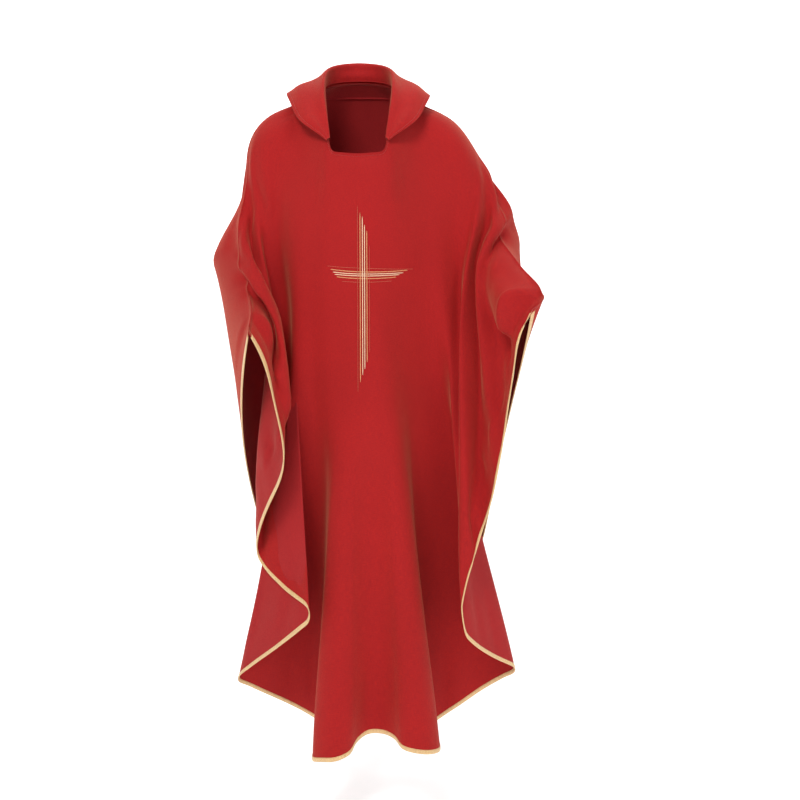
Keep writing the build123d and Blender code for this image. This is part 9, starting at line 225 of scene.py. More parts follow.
(330,640,324,439,824,108,519,950,-156,572,1029,-446,618,1090,-741,665,1140,-1038,712,1176,-1337,757,1189,-1638,798,1195,-1940,836,1199,-2242,870,1201,-2545,901,1202,-2849,931,1202,-3152,960,1203,-3455,987,1204,-3762,1013,1205,-4067,1037,1207,-4372,1052,1210,-4678,1057,1214,-4984,1053,1219,-5292,1044,1224,-5600,1033,1230,-5909,1021,1236,-6218,1014,1241,-6527,1008,1246,-6835,1000,1250,-7144,991,1254,-7453,979,1257,-7761,962,1262,-8070,945,1266,-8379,926,1271,-8688,906,1276,-8997,884,1281,-9306,859,1285,-9615,833,1287,-9924,808,1288,-10232,785,1288,-10541,766,1288,-10849,749,1289,-11158,741,1289,-11466,776,1288,-11772),
(349,630,322,463,810,110,548,934,-150,606,1012,-435,655,1072,-727,703,1123,-1020,752,1159,-1316,798,1181,-1613,841,1188,-1911,880,1193,-2210,915,1197,-2509,948,1201,-2809,980,1205,-3109,1010,1210,-3409,1039,1216,-3711,1065,1223,-4013,1088,1231,-4314,1103,1240,-4616,1107,1250,-4919,1103,1261,-5223,1094,1273,-5527,1081,1285,-5832,1067,1296,-6137,1058,1305,-6441,1052,1312,-6746,1044,1318,-7050,1035,1324,-7354,1022,1330,-7658,1005,1338,-7963,985,1346,-8268,964,1354,-8573,942,1363,-8877,919,1371,-9182,894,1378,-9487,870,1384,-9791,848,1390,-10096,828,1396,-10400,813,1401,-10705,802,1404,-11009,805,1404,-11312,847,1393,-11612),
(367,619,320,487,795,112,577,916,-143,639,993,-424,691,1054,-712,741,1104,-1001,792,1141,-1292,839,1164,-1586,883,1179,-1880,922,1185,-2175,958,1191,-2471,992,1197,-2767,1025,1203,-3063,1057,1212,-3359,1086,1222,-3658,1114,1234,-3956,1137,1247,-4253,1153,1261,-4552,1160,1277,-4850,1160,1293,-5150,1156,1309,-5450,1147,1326,-5751,1136,1343,-6051,1132,1352,-6351,1129,1359,-6651,1125,1366,-6951,1120,1372,-7250,1111,1379,-7550,1098,1389,-7851,1083,1400,-8151,1067,1412,-8452,1050,1423,-8752,1032,1434,-9053,1014,1445,-9353,997,1456,-9653,982,1466,-9953,969,1476,-10253,959,1485,-10553,954,1490,-10853,960,1489,-11151,993,1471,-11446),
(384,608,318,509,779,114,604,898,-136,670,974,-413,726,1034,-695,779,1085,-980,831,1122,-1268,879,1145,-1557,923,1160,-1848,963,1171,-2139,999,1182,-2431,1034,1189,-2723,1068,1198,-3015,1100,1209,-3307,1131,1222,-3601,1159,1236,-3896,1184,1253,-4189,1203,1270,-4484,1215,1288,-4778,1224,1307,-5074,1228,1326,-5370,1228,1346,-5666,1226,1366,-5962,1228,1375,-6257,1230,1382,-6552,1231,1388,-6847,1231,1395,-7143,1228,1403,-7438,1223,1415,-7734,1216,1427,-8031,1208,1441,-8327,1199,1454,-8623,1190,1468,-8919,1182,1482,-9215,1174,1496,-9510,1166,1510,-9806,1161,1523,-10101,1156,1534,-10397,1155,1541,-10691,1160,1539,-10984,1177,1518,-11275),
(402,596,315,531,762,116,630,879,-129,700,954,-401,759,1014,-678,815,1064,-959,869,1101,-1242,918,1123,-1527,963,1137,-1813,1002,1149,-2101,1039,1161,-2389,1073,1176,-2676,1107,1187,-2964,1140,1199,-3252,1172,1213,-3543,1202,1229,-3833,1229,1246,-4123,1252,1264,-4413,1271,1283,-4704,1288,1303,-4995,1302,1323,-5286,1314,1344,-5578,1324,1365,-5869,1332,1373,-6160,1340,1380,-6450,1347,1387,-6741,1352,1393,-7032,1356,1402,-7323,1359,1414,-7615,1361,1428,-7907,1363,1443,-8199,1365,1458,-8490,1366,1473,-8782,1366,1489,-9073,1367,1506,-9364,1369,1522,-9655,1370,1537,-9946,1371,1551,-10236,1372,1559,-10525,1373,1557,-10813,1374,1536,-11098),
(419,583,313,551,745,118,655,858,-122,729,933,-388,792,992,-661,851,1042,-936,906,1078,-1214,956,1100,-1495,1001,1113,-1777,1040,1122,-2061,1076,1134,-2344,1111,1149,-2628,1145,1166,-2911,1178,1184,-3195,1211,1198,-3481,1243,1213,-3768,1272,1229,-4054,1299,1246,-4340,1326,1264,-4627,1351,1283,-4913,1375,1302,-5200,1398,1322,-5487,1419,1343,-5774,1435,1350,-6060,1448,1357,-6346,1460,1363,-6632,1471,1370,-6919,1482,1380,-7205,1493,1392,-7493,1505,1406,-7780,1516,1421,-8067,1527,1437,-8355,1537,1453,-8642,1547,1471,-8929,1557,1488,-9215,1566,1506,-9502,1574,1523,-9787,1580,1537,-10073,1583,1547,-10356,1580,1545,-10638,1568,1527,-10916),
(435,571,310,571,726,120,678,837,-115,757,910,-375,823,970,-642,885,1019,-913,943,1055,-1186,994,1075,-1462,1039,1086,-1740,1078,1094,-2019,1113,1103,-2298,1148,1116,-2577,1181,1132,-2856,1215,1152,-3135,1249,1175,-3418,1282,1190,-3700,1313,1204,-3982,1345,1218,-4264,1377,1234,-4547,1410,1250,-4829,1442,1268,-5111,1474,1286,-5394,1506,1303,-5676,1527,1311,-5957,1545,1316,-6239,1563,1323,-6521,1580,1330,-6803,1597,1340,-7085,1616,1352,-7367,1636,1366,-7650,1655,1381,-7933,1675,1397,-8216,1694,1413,-8499,1712,1431,-8782,1730,1449,-9064,1746,1467,-9346,1760,1484,-9626,1770,1499,-9906,1775,1509,-10184,1769,1509,-10458,1750,1495,-10728),
(451,557,308,589,707,121,700,815,-108,783,887,-362,853,946,-624,919,995,-888,979,1030,-1157,1031,1049,-1428,1076,1058,-1701,1115,1064,-1975,1151,1071,-2250,1185,1081,-2525,1219,1094,-2799,1253,1110,-3074,1287,1128,-3352,1321,1147,-3630,1355,1167,-3908,1389,1185,-4186,1426,1197,-4464,1464,1210,-4742,1502,1224,-5020,1541,1239,-5298,1580,1253,-5576,1605,1257,-5853,1629,1262,-6130,1652,1269,-6407,1676,1278,-6683,1700,1288,-6961,1725,1301,-7239,1752,1314,-7517,1778,1328,-7796,1804,1344,-8074,1830,1359,-8353,1855,1376,-8631,1879,1393,-8909,1902,1410,-9186,1921,1427,-9461,1935,1442,-9735,1941,1452,-10006,1935,1454,-10272,1913,1444,-10531),
(467,543,305,607,688,122,720,792,-101,807,863,-349,883,921,-604,952,970,-863,1014,1004,-1126,1068,1022,-1392,1114,1030,-1661,1154,1033,-1930,1190,1037,-2200,1224,1045,-2470,1258,1055,-2740,1292,1067,-3010,1327,1080,-3283,1362,1093,-3557,1397,1106,-3831,1434,1121,-4104,1473,1137,-4378,1513,1154,-4652,1555,1173,-4926,1598,1187,-5200,1641,1197,-5474,1671,1194,-5747,1701,1199,-6018,1730,1208,-6289,1760,1218,-6560,1791,1230,-6832,1822,1243,-7105,1854,1256,-7378,1886,1269,-7652,1917,1283,-7926,1949,1297,-8200,1979,1312,-8474,2008,1327,-8747,2035,1343,-9019,2058,1357,-9289,2075,1371,-9556,2083,1380,-9819,2078,1383,-10076,2056,1377,-10324),
(482,529,302,624,668,124,740,768,-94,831,838,-336,911,896,-585,984,944,-837,1049,978,-1094,1105,995,-1355,1152,1001,-1619,1193,1003,-1883,1230,1005,-2148,1266,1010,-2413,1301,1016,-2678,1335,1024,-2943,1371,1033,-3212,1406,1040,-3481,1442,1047,-3750,1480,1055,-4020,1519,1063,-4290,1561,1073,-4560,1603,1083,-4830,1646,1095,-5101,1689,1106,-5372,1726,1117,-5638,1764,1130,-5902,1801,1144,-6166,1838,1158,-6431,1874,1171,-6697,1910,1184,-6964,1946,1196,-7233,1982,1208,-7502,2018,1220,-7771,2053,1232,-8041,2086,1244,-8309,2119,1256,-8577,2148,1269,-8844,2174,1280,-9108,2193,1291,-9368,2202,1299,-9623,2199,1302,-9870,2180,1298,-10107),
(496,514,299,640,647,125,759,744,-87,854,812,-322,938,869,-564,1016,917,-810,1084,950,-1062,1142,967,-1317,1192,973,-1575,1234,973,-1834,1273,974,-2094,1310,976,-2354,1347,980,-2614,1383,985,-2874,1419,989,-3138,1456,992,-3402,1493,994,-3666,1530,996,-3932,1569,999,-4199,1608,1001,-4467,1648,1004,-4736,1688,1008,-5005,1728,1012,-5275,1779,1041,-5524,1825,1064,-5779,1870,1083,-6036,1913,1100,-6295,1954,1115,-6555,1995,1127,-6817,2034,1138,-7080,2073,1148,-7344,2111,1158,-7608,2148,1166,-7872,2184,1175,-8135,2218,1183,-8398,2249,1191,-8658,2275,1199,-8916,2294,1206,-9168,2304,1211,-9415,2302,1213,-9652,2286,1210,-9878),
(510,498,296,655,626,126,777,719,-80,876,786,-308,965,842,-543,1047,890,-783,1119,923,-1028,1180,940,-1278,1231,945,-1530,1277,945,-1783,1318,945,-2038,1358,946,-2292,1397,948,-2547,1435,949,-2802,1474,951,-3060,1512,951,-3319,1550,950,-3578,1589,950,-3837,1628,950,-4098,1667,950,-4359,1706,952,-4620,1746,954,-4882,1785,958,-5144,1840,986,-5395,1893,1012,-5646,1943,1033,-5897,1990,1051,-6150,2036,1065,-6404,2079,1076,-6660,2121,1085,-6918,2161,1092,-7176,2201,1097,-7434,2239,1102,-7692,2275,1105,-7950,2309,1108,-8206,2339,1111,-8460,2364,1113,-8710,2382,1116,-8955,2392,1118,-9193,2390,1118,-9421,2374,1115,-9637),
(524,482,293,670,604,128,794,694,-72,898,759,-294,991,814,-521,1077,861,-754,1153,894,-993,1217,912,-1236,1272,918,-1483,1321,918,-1731,1366,917,-1979,1409,917,-2228,1452,918,-2477,1493,918,-2726,1534,918,-2979,1575,916,-3232,1616,915,-3485,1656,913,-3738,1697,913,-3992,1737,913,-4246,1777,915,-4500,1817,919,-4754,1857,924,-5008,1914,951,-5256,1970,975,-5502,2024,995,-5749,2074,1011,-5996,2122,1022,-6245,2167,1030,-6495,2210,1035,-6747,2251,1038,-6999,2291,1038,-7251,2328,1037,-7502,2364,1035,-7753,2396,1031,-8002,2423,1027,-8249,2446,1024,-8491,2461,1022,-8728,2467,1020,-8957,2463,1018,-9176,2448,1013,-9383),
(536,466,290,684,582,129,811,668,-65,918,731,-279,1016,785,-499,1107,832,-725,1187,866,-956,1255,884,-1194,1313,891,-1434,1366,892,-1676,1415,892,-1919,1462,892,-2162,1509,892,-2405,1554,891,-2648,1599,890,-2895,1644,889,-3141,1689,888,-3388,1732,887,-3634,1776,888,-3881,1818,890,-4128,1860,894,-4375,1902,900,-4621,1944,909,-4868,2003,933,-5110,2060,953,-5352,2115,968,-5593,2166,979,-5835,2214,985,-6078,2260,988,-6322,2303,987,-6567,2343,984,-6813,2382,978,-7058,2418,970,-7303,2450,960,-7546,2479,949,-7788,2503,938,-8026,2521,929,-8260,2531,922,-8488,2533,916,-8707,2526,912,-8917,2510,907,-9117),
(549,449,287,698,559,131,827,642,-57,938,702,-263,1041,756,-476,1136,803,-694,1220,837,-919,1292,856,-1150,1354,864,-1384,1411,867,-1620,1465,867,-1856,1517,868,-2093,1569,868,-2330,1618,868,-2567,1668,868,-2807,1718,868,-3047,1767,868,-3287,1816,870,-3526,1863,873,-3766,1909,878,-4006,1955,886,-4246,2000,896,-4484,2046,908,-4723,2104,927,-4960,2161,941,-5196,2214,949,-5432,2265,951,-5668,2312,950,-5905,2356,945,-6143,2398,938,-6381,2437,927,-6619,2473,913,-6857,2506,896,-7095,2536,878,-7331,2560,859,-7564,2579,841,-7794,2591,826,-8019,2596,814,-8236,2592,807,-8446,2581,801,-8647,2562,796,-8839),
(560,432,283,711,536,133,842,615,-48,957,673,-248,1064,725,-453,1164,772,-664,1252,807,-881,1329,828,-1105,1396,838,-1332,1457,842,-1562,1516,844,-1792,1573,846,-2022,1630,847,-2252,1685,848,-2483,1740,849,-2716,1796,852,-2949,1851,856,-3181,1904,861,-3414,1957,868,-3647,2008,877,-3880,2057,888,-4113,2107,901,-4344,2158,917,-4576,2215,928,-4806,2269,932,-5036,2321,930,-5266,2368,923,-5496,2413,912,-5727,2455,898,-5958,2495,882,-6189,2531,862,-6420,2564,839,-6651,2593,813,-6881,2618,786,-7109,2637,759,-7334,2651,734,-7554,2657,714,-7769,2655,699,-7977,2645,690,-8176,2629,685,-8368,2608,680,-8551),
(572,414,280,723,513,135,857,587,-40,974,643,-233,1086,694,-430,1190,741,-632,1284,777,-842,1365,800,-1058,1437,812,-1279,1503,818,-1502,1567,822,-1725,1630,825,-1949,1692,828,-2173,1753,831,-2397,1814,835,-2622,1876,840,-2848,1936,848,-3073,1996,858,-3298,2054,869,-3525,2110,882,-3751,2165,896,-3977,2219,911,-4202,2275,927,-4426,2330,928,-4650,2381,920,-4873,2429,906,-5097,2473,888,-5321,2515,866,-5545,2553,843,-5769,2589,816,-5994,2622,786,-6218,2651,753,-6441,2676,718,-6663,2695,682,-6882,2710,647,-7098,2717,616,-7310,2717,591,-7514,2709,574,-7711,2694,565,-7900,2674,562,-8081,2650,560,-8256),
(582,395,277,735,489,136,870,559,-32,991,612,-217,1106,661,-407,1216,708,-601,1314,746,-802,1401,771,-1011,1478,786,-1225,1549,794,-1440,1618,800,-1657,1686,805,-1874,1754,810,-2091,1821,815,-2308,1888,822,-2526,1956,832,-2743,2023,844,-2961,2088,858,-3179,2152,874,-3399,2214,889,-3618,2273,905,-3838,2332,918,-4057,2393,931,-4275,2445,919,-4492,2493,899,-4709,2536,873,-4926,2576,843,-5143,2613,810,-5361,2648,776,-5578,2680,738,-5795,2708,698,-6012,2733,655,-6228,2752,610,-6442,2767,566,-6653,2776,524,-6860,2778,488,-7062,2772,460,-7256,2759,441,-7442,2740,434,-7620,2716,434,-7791,2690,435,-7957),
(592,377,273,746,464,138,883,530,-24,1007,580,-202,1126,628,-384,1240,675,-569,1344,715,-762,1436,742,-963,1518,759,-1169,1595,770,-1378,1669,778,-1587,1742,785,-1798,1816,792,-2008,1889,800,-2218,1962,811,-2428,2035,824,-2637,2108,841,-2847,2179,859,-3058,2249,878,-3270,2316,895,-3483,2380,909,-3697,2443,918,-3910,2507,924,-4121,2556,898,-4332,2599,866,-4543,2638,827,-4754,2674,786,-4964,2706,742,-5175,2737,697,-5385,2765,649,-5595,2788,598,-5805,2808,546,-6013,2823,492,-6219,2832,440,-6422,2836,392,-6620,2833,351,-6812,2823,321,-6996,2805,302,-7172,2783,297,-7339,2758,300,-7499,2731,305,-7656),
(601,358,270,756,439,140,896,499,-16,1022,546,-187,1145,593,-361,1263,640,-538,1372,682,-722,1470,712,-914,1558,732,-1113,1640,745,-1314,1719,755,-1517,1798,765,-1720,1877,774,-1923,1955,784,-2126,2034,798,-2328,2112,815,-2530,2190,835,-2732,2267,856,-2935,2342,876,-3140,2415,893,-3346,2483,903,-3554,2549,905,-3761,2615,900,-3967,2659,862,-4171,2699,817,-4376,2733,768,-4580,2765,715,-4784,2793,661,-4988,2820,606,-5191,2843,548,-5394,2862,489,-5596,2877,427,-5796,2887,365,-5994,2892,306,-6189,2890,253,-6379,2883,208,-6561,2869,177,-6735,2849,158,-6900,2825,154,-7057,2799,160,-7207,2772,168,-7354),
(610,338,266,766,413,141,907,468,-8,1037,511,-173,1163,556,-339,1285,604,-507,1400,648,-681,1504,681,-865,1598,704,-1055,1685,719,-1250,1769,731,-1445,1852,742,-1642,1936,753,-1838,2019,765,-2034,2103,781,-2228,2186,801,-2422,2269,823,-2617,2350,845,-2812,2430,866,-3009,2508,880,-3209,2580,884,-3410,2647,876,-3611,2712,859,-3811,2754,809,-4010,2790,754,-4208,2821,695,-4406,2849,633,-4603,2874,570,-4800,2896,506,-4996,2915,439,-5192,2930,371,-5386,2940,302,-5579,2946,233,-5769,2946,168,-5955,2940,109,-6136,2929,62,-6309,2913,29,-6474,2891,10,-6629,2867,7,-6776,2841,15,-6916,2815,25,-7054),
(618,318,262,775,386,142,918,436,-1,1050,475,-159,1180,518,-318,1307,566,-476,1427,612,-641,1537,648,-816,1636,673,-998,1728,690,-1185,1817,704,-1374,1905,716,-1563,1992,728,-1753,2081,741,-1942,2168,759,-2129,2256,780,-2315,2342,802,-2503,2428,823,-2691,2512,842,-2880,2595,853,-3072,2670,851,-3267,2739,833,-3462,2802,803,-3656,2840,743,-3849,2873,679,-4041,2901,611,-4232,2926,542,-4422,2947,470,-4612,2966,398,-4801,2981,324,-4989,2992,249,-5175,2998,173,-5360,2999,98,-5542,2995,27,-5720,2986,-35,-5892,2973,-86,-6057,2954,-122,-6212,2932,-141,-6358,2909,-144,-6495,2884,-136,-6626,2860,-125,-6756),
(625,298,259,783,359,143,928,403,5,1063,437,-146,1196,478,-297,1327,526,-446,1453,574,-602,1568,612,-767,1673,639,-941,1770,658,-1121,1863,673,-1303,1955,685,-1486,2046,696,-1670,2139,710,-1852,2230,728,-2032,2320,748,-2211,2410,769,-2391,2499,788,-2572,2588,804,-2754,2674,811,-2938,2753,802,-3126,2823,776,-3314,2883,734,-3502,2920,666,-3688,2950,594,-3873,2975,519,-4057,2996,443,-4241,3014,365,-4423,3029,286,-4605,3041,206,-4785,3048,124,-4964,3050,42,-5141,3048,-38,-5315,3041,-113,-5485,3029,-180,-5648,3014,-234,-5804,2995,-272,-5951,2973,-293,-6088,2951,-298,-6217,2928,-291,-6339,2905,-281,-6460),
(632,277,255,791,331,144,938,370,12,1075,401,-132,1212,440,-275,1348,488,-416,1479,538,-561,1600,579,-716,1711,609,-882,1813,629,-1054,1910,644,-1230,2006,656,-1407,2101,668,-1584,2198,681,-1761,2292,698,-1933,2386,717,-2106,2478,735,-2279,2570,751,-2453,2662,763,-2628,2753,764,-2804,2835,749,-2985,2905,713,-3167,2962,660,-3348,2994,582,-3528,3020,503,-3706,3042,422,-3883,3059,340,-4059,3074,257,-4235,3086,172,-4409,3094,86,-4582,3098,0,-4753,3097,-87,-4922,3092,-172,-5088,3082,-251,-5249,3069,-322,-5404,3053,-380,-5552,3034,-422,-5690,3015,-446,-5820,2994,-454,-5940,2973,-451,-6055,2952,-444,-6169),
(638,256,251,798,304,145,947,337,19,1087,365,-119,1227,402,-253,1368,451,-384,1504,503,-518,1632,548,-663,1748,580,-820,1856,602,-985,1958,617,-1154,2057,629,-1325,2157,639,-1496,2257,650,-1667,2354,665,-1833,2450,680,-1999,2544,694,-2167,2639,704,-2334,2735,710,-2502,2829,706,-2671,2915,684,-2844,2985,640,-3019,3037,577,-3195,3062,491,-3368,3083,406,-3540,3100,320,-3710,3114,234,-3879,3125,146,-4047,3134,58,-4214,3139,-32,-4379,3141,-123,-4542,3138,-214,-4703,3131,-303,-4861,3120,-387,-5014,3107,-462,-5161,3091,-524,-5300,3074,-571,-5430,3057,-599,-5553,3038,-613,-5666,3018,-614,-5774,2997,-612,-5881),
(643,234,247,804,275,146,955,303,25,1098,327,-105,1242,363,-231,1388,413,-351,1529,467,-474,1662,514,-609,1785,548,-757,1897,569,-915,2003,582,-1079,2106,591,-1244,2208,597,-1411,2311,605,-1576,2409,615,-1736,2506,623,-1897,2602,630,-2059,2699,633,-2221,2796,632,-2382,2893,623,-2544,2983,597,-2708,3054,550,-2877,3103,482,-3045,3120,392,-3212,3135,304,-3376,3147,215,-3539,3156,126,-3701,3165,36,-3862,3172,-56,-4021,3176,-149,-4178,3176,-243,-4333,3173,-338,-4486,3166,-430,-4636,3155,-518,-4781,3143,-598,-4919,3129,-665,-5050,3114,-718,-5172,3100,-753,-5288,3083,-773,-5394,3063,-782,-5496,3042,-786,-5598),
(647,212,243,810,245,147,963,267,31,1109,287,-92,1258,321,-209,1408,371,-318,1554,426,-430,1692,474,-555,1819,507,-696,1935,526,-848,2044,535,-1006,2149,537,-1167,2253,537,-1329,2358,539,-1491,2457,543,-1646,2553,544,-1802,2649,541,-1959,2745,536,-2115,2842,528,-2271,2940,513,-2425,3033,487,-2582,3107,442,-2741,3154,376,-2901,3161,286,-3059,3169,197,-3216,3176,108,-3372,3183,17,-3527,3189,-75,-3680,3196,-169,-3831,3201,-264,-3980,3203,-361,-4127,3201,-459,-4272,3196,-555,-4413,3188,-647,-4550,3179,-731,-4680,3169,-805,-4802,3156,-864,-4917,3146,-909,-5026,3129,-937,-5126,3109,-954,-5222,3084,-966,-5320),
(651,189,240,815,214,147,970,229,38,1119,245,-78,1272,276,-186,1427,325,-284,1578,379,-386,1720,426,-503,1850,456,-637,1969,471,-785,2079,473,-940,2184,468,-1097,2289,460,-1255,2395,457,-1413,2493,454,-1563,2588,445,-1716,2680,433,-1868,2774,419,-2020,2869,403,-2169,2966,383,-2317,3058,357,-2465,3130,318,-2615,3175,259,-2764,3174,173,-2914,3178,87,-3063,3183,-1,-3212,3188,-92,-3358,3196,-185,-3503,3205,-280,-3646,3213,-377,-3786,3219,-477,-3925,3222,-577,-4061,3222,-677,-4194,3220,-773,-4322,3216,-863,-4443,3210,-943,-4558,3202,-1010,-4664,3194,-1068,-4766,3178,-1106,-4859,3154,-1132,-4952,3123,-1152,-5046),
(654,166,236,819,183,147,975,192,44,1127,202,-65,1284,229,-164,1443,274,-253,1597,324,-346,1743,367,-456,1876,394,-585,1996,404,-729,2107,401,-880,2213,390,-1034,2317,377,-1189,2423,368,-1343,2518,356,-1489,2609,337,-1638,2697,315,-1786,2789,294,-1931,2884,271,-2074,2976,245,-2217,3057,217,-2360,3111,183,-2504,3145,133,-2639,3148,57,-2780,3154,-25,-2921,3161,-110,-3061,3170,-200,-3199,3181,-294,-3334,3196,-390,-3467,3210,-490,-3598,3223,-592,-3728,3234,-695,-3855,3242,-798,-3979,3249,-900,-4098,3253,-996,-4210,3254,-1084,-4316,3251,-1160,-4414,3246,-1232,-4508,3230,-1282,-4595,3200,-1317,-4684,3157,-1342,-4778),
(657,142,232,820,151,145,975,152,43,1128,155,-62,1287,176,-154,1450,215,-234,1609,262,-317,1759,302,-417,1897,326,-539,2019,332,-677,2131,324,-825,2235,309,-977,2338,292,-1131,2442,278,-1283,2531,259,-1424,2618,231,-1566,2707,202,-1706,2801,175,-1843,2897,145,-1980,2982,110,-2120,3037,76,-2264,3050,46,-2407,3065,8,-2530,3084,-60,-2661,3097,-134,-2793,3109,-217,-2923,3124,-306,-3050,3143,-402,-3174,3166,-500,-3296,3190,-602,-3417,3214,-706,-3537,3236,-813,-3654,3256,-921,-3768,3274,-1028,-3877,3289,-1132,-3981,3300,-1228,-4077,3303,-1315,-4166,3299,-1404,-4251,3285,-1469,-4330,3250,-1513,-4417,3187,-1538,-4515),
(659,117,228,824,118,148,981,113,52,1134,108,-50,1293,119,-143,1456,150,-222,1618,190,-299,1774,228,-389,1918,254,-501,2046,261,-632,2157,250,-778,2254,228,-933,2344,201,-1091,2432,180,-1251,2512,160,-1384,2602,130,-1512,2702,98,-1639,2804,65,-1767,2899,26,-1899,2976,-20,-2036,3005,-59,-2176,2982,-87,-2312,2965,-118,-2434,2993,-172,-2562,3011,-238,-2684,3029,-317,-2800,3052,-409,-2913,3082,-507,-3024,3116,-609,-3134,3153,-714,-3243,3190,-822,-3352,3226,-933,-3459,3262,-1046,-3563,3295,-1161,-3662,3324,-1273,-3755,3345,-1380,-3841,3357,-1479,-3921,3354,-1585,-3994,3347,-1671,-4064,3305,-1723,-4149,3213,-1739,-4257),
(660,90,224,827,88,149,989,81,65,1151,78,-21,1317,86,-98,1484,106,-171,1645,131,-254,1795,153,-357,1930,167,-479,2052,167,-615,2159,153,-763,2252,125,-918,2333,91,-1079,2415,65,-1241,2487,51,-1382,2548,38,-1525,2615,26,-1667,2698,0,-1797,2787,-47,-1917,2870,-111,-2035,2929,-179,-2149,2936,-226,-2258,2895,-244,-2373,2887,-278,-2493,2894,-329,-2600,2916,-406,-2700,2949,-506,-2793,2991,-612,-2886,3040,-719,-2982,3092,-827,-3078,3144,-938,-3175,3197,-1054,-3272,3252,-1176,-3364,3304,-1300,-3451,3351,-1423,-3532,3387,-1538,-3607,3408,-1650,-3676,3408,-1774,-3738,3413,-1886,-3796,3366,-1946,-3879,3235,-1943,-4003),
(660,60,220,819,63,131,973,67,35,1131,69,-53,1300,68,-121,1473,69,-179,1641,71,-248,1796,73,-341,1933,71,-459,2052,60,-596,2156,39,-743,2251,10,-895,2344,-25,-1048,2447,-54,-1194,2535,-68,-1334,2594,-79,-1482,2627,-92,-1638,2652,-107,-1792,2691,-140,-1930,2750,-200,-2048,2815,-281,-2156,2854,-354,-2261,2836,-385,-2360,2777,-381,-2454,2742,-395,-2547,2760,-474,-2629,2806,-597,-2693,2864,-720,-2763,2930,-831,-2845,2997,-942,-2925,3064,-1058,-3009,3136,-1180,-3095,3214,-1311,-3174,3293,-1450,-3245,3364,-1586,-3310,3417,-1705,-3373,3445,-1825,-3433,3462,-1967,-3481,3482,-2109,-3525,3432,-2179,-3608,3254,-2150,-3752),
)
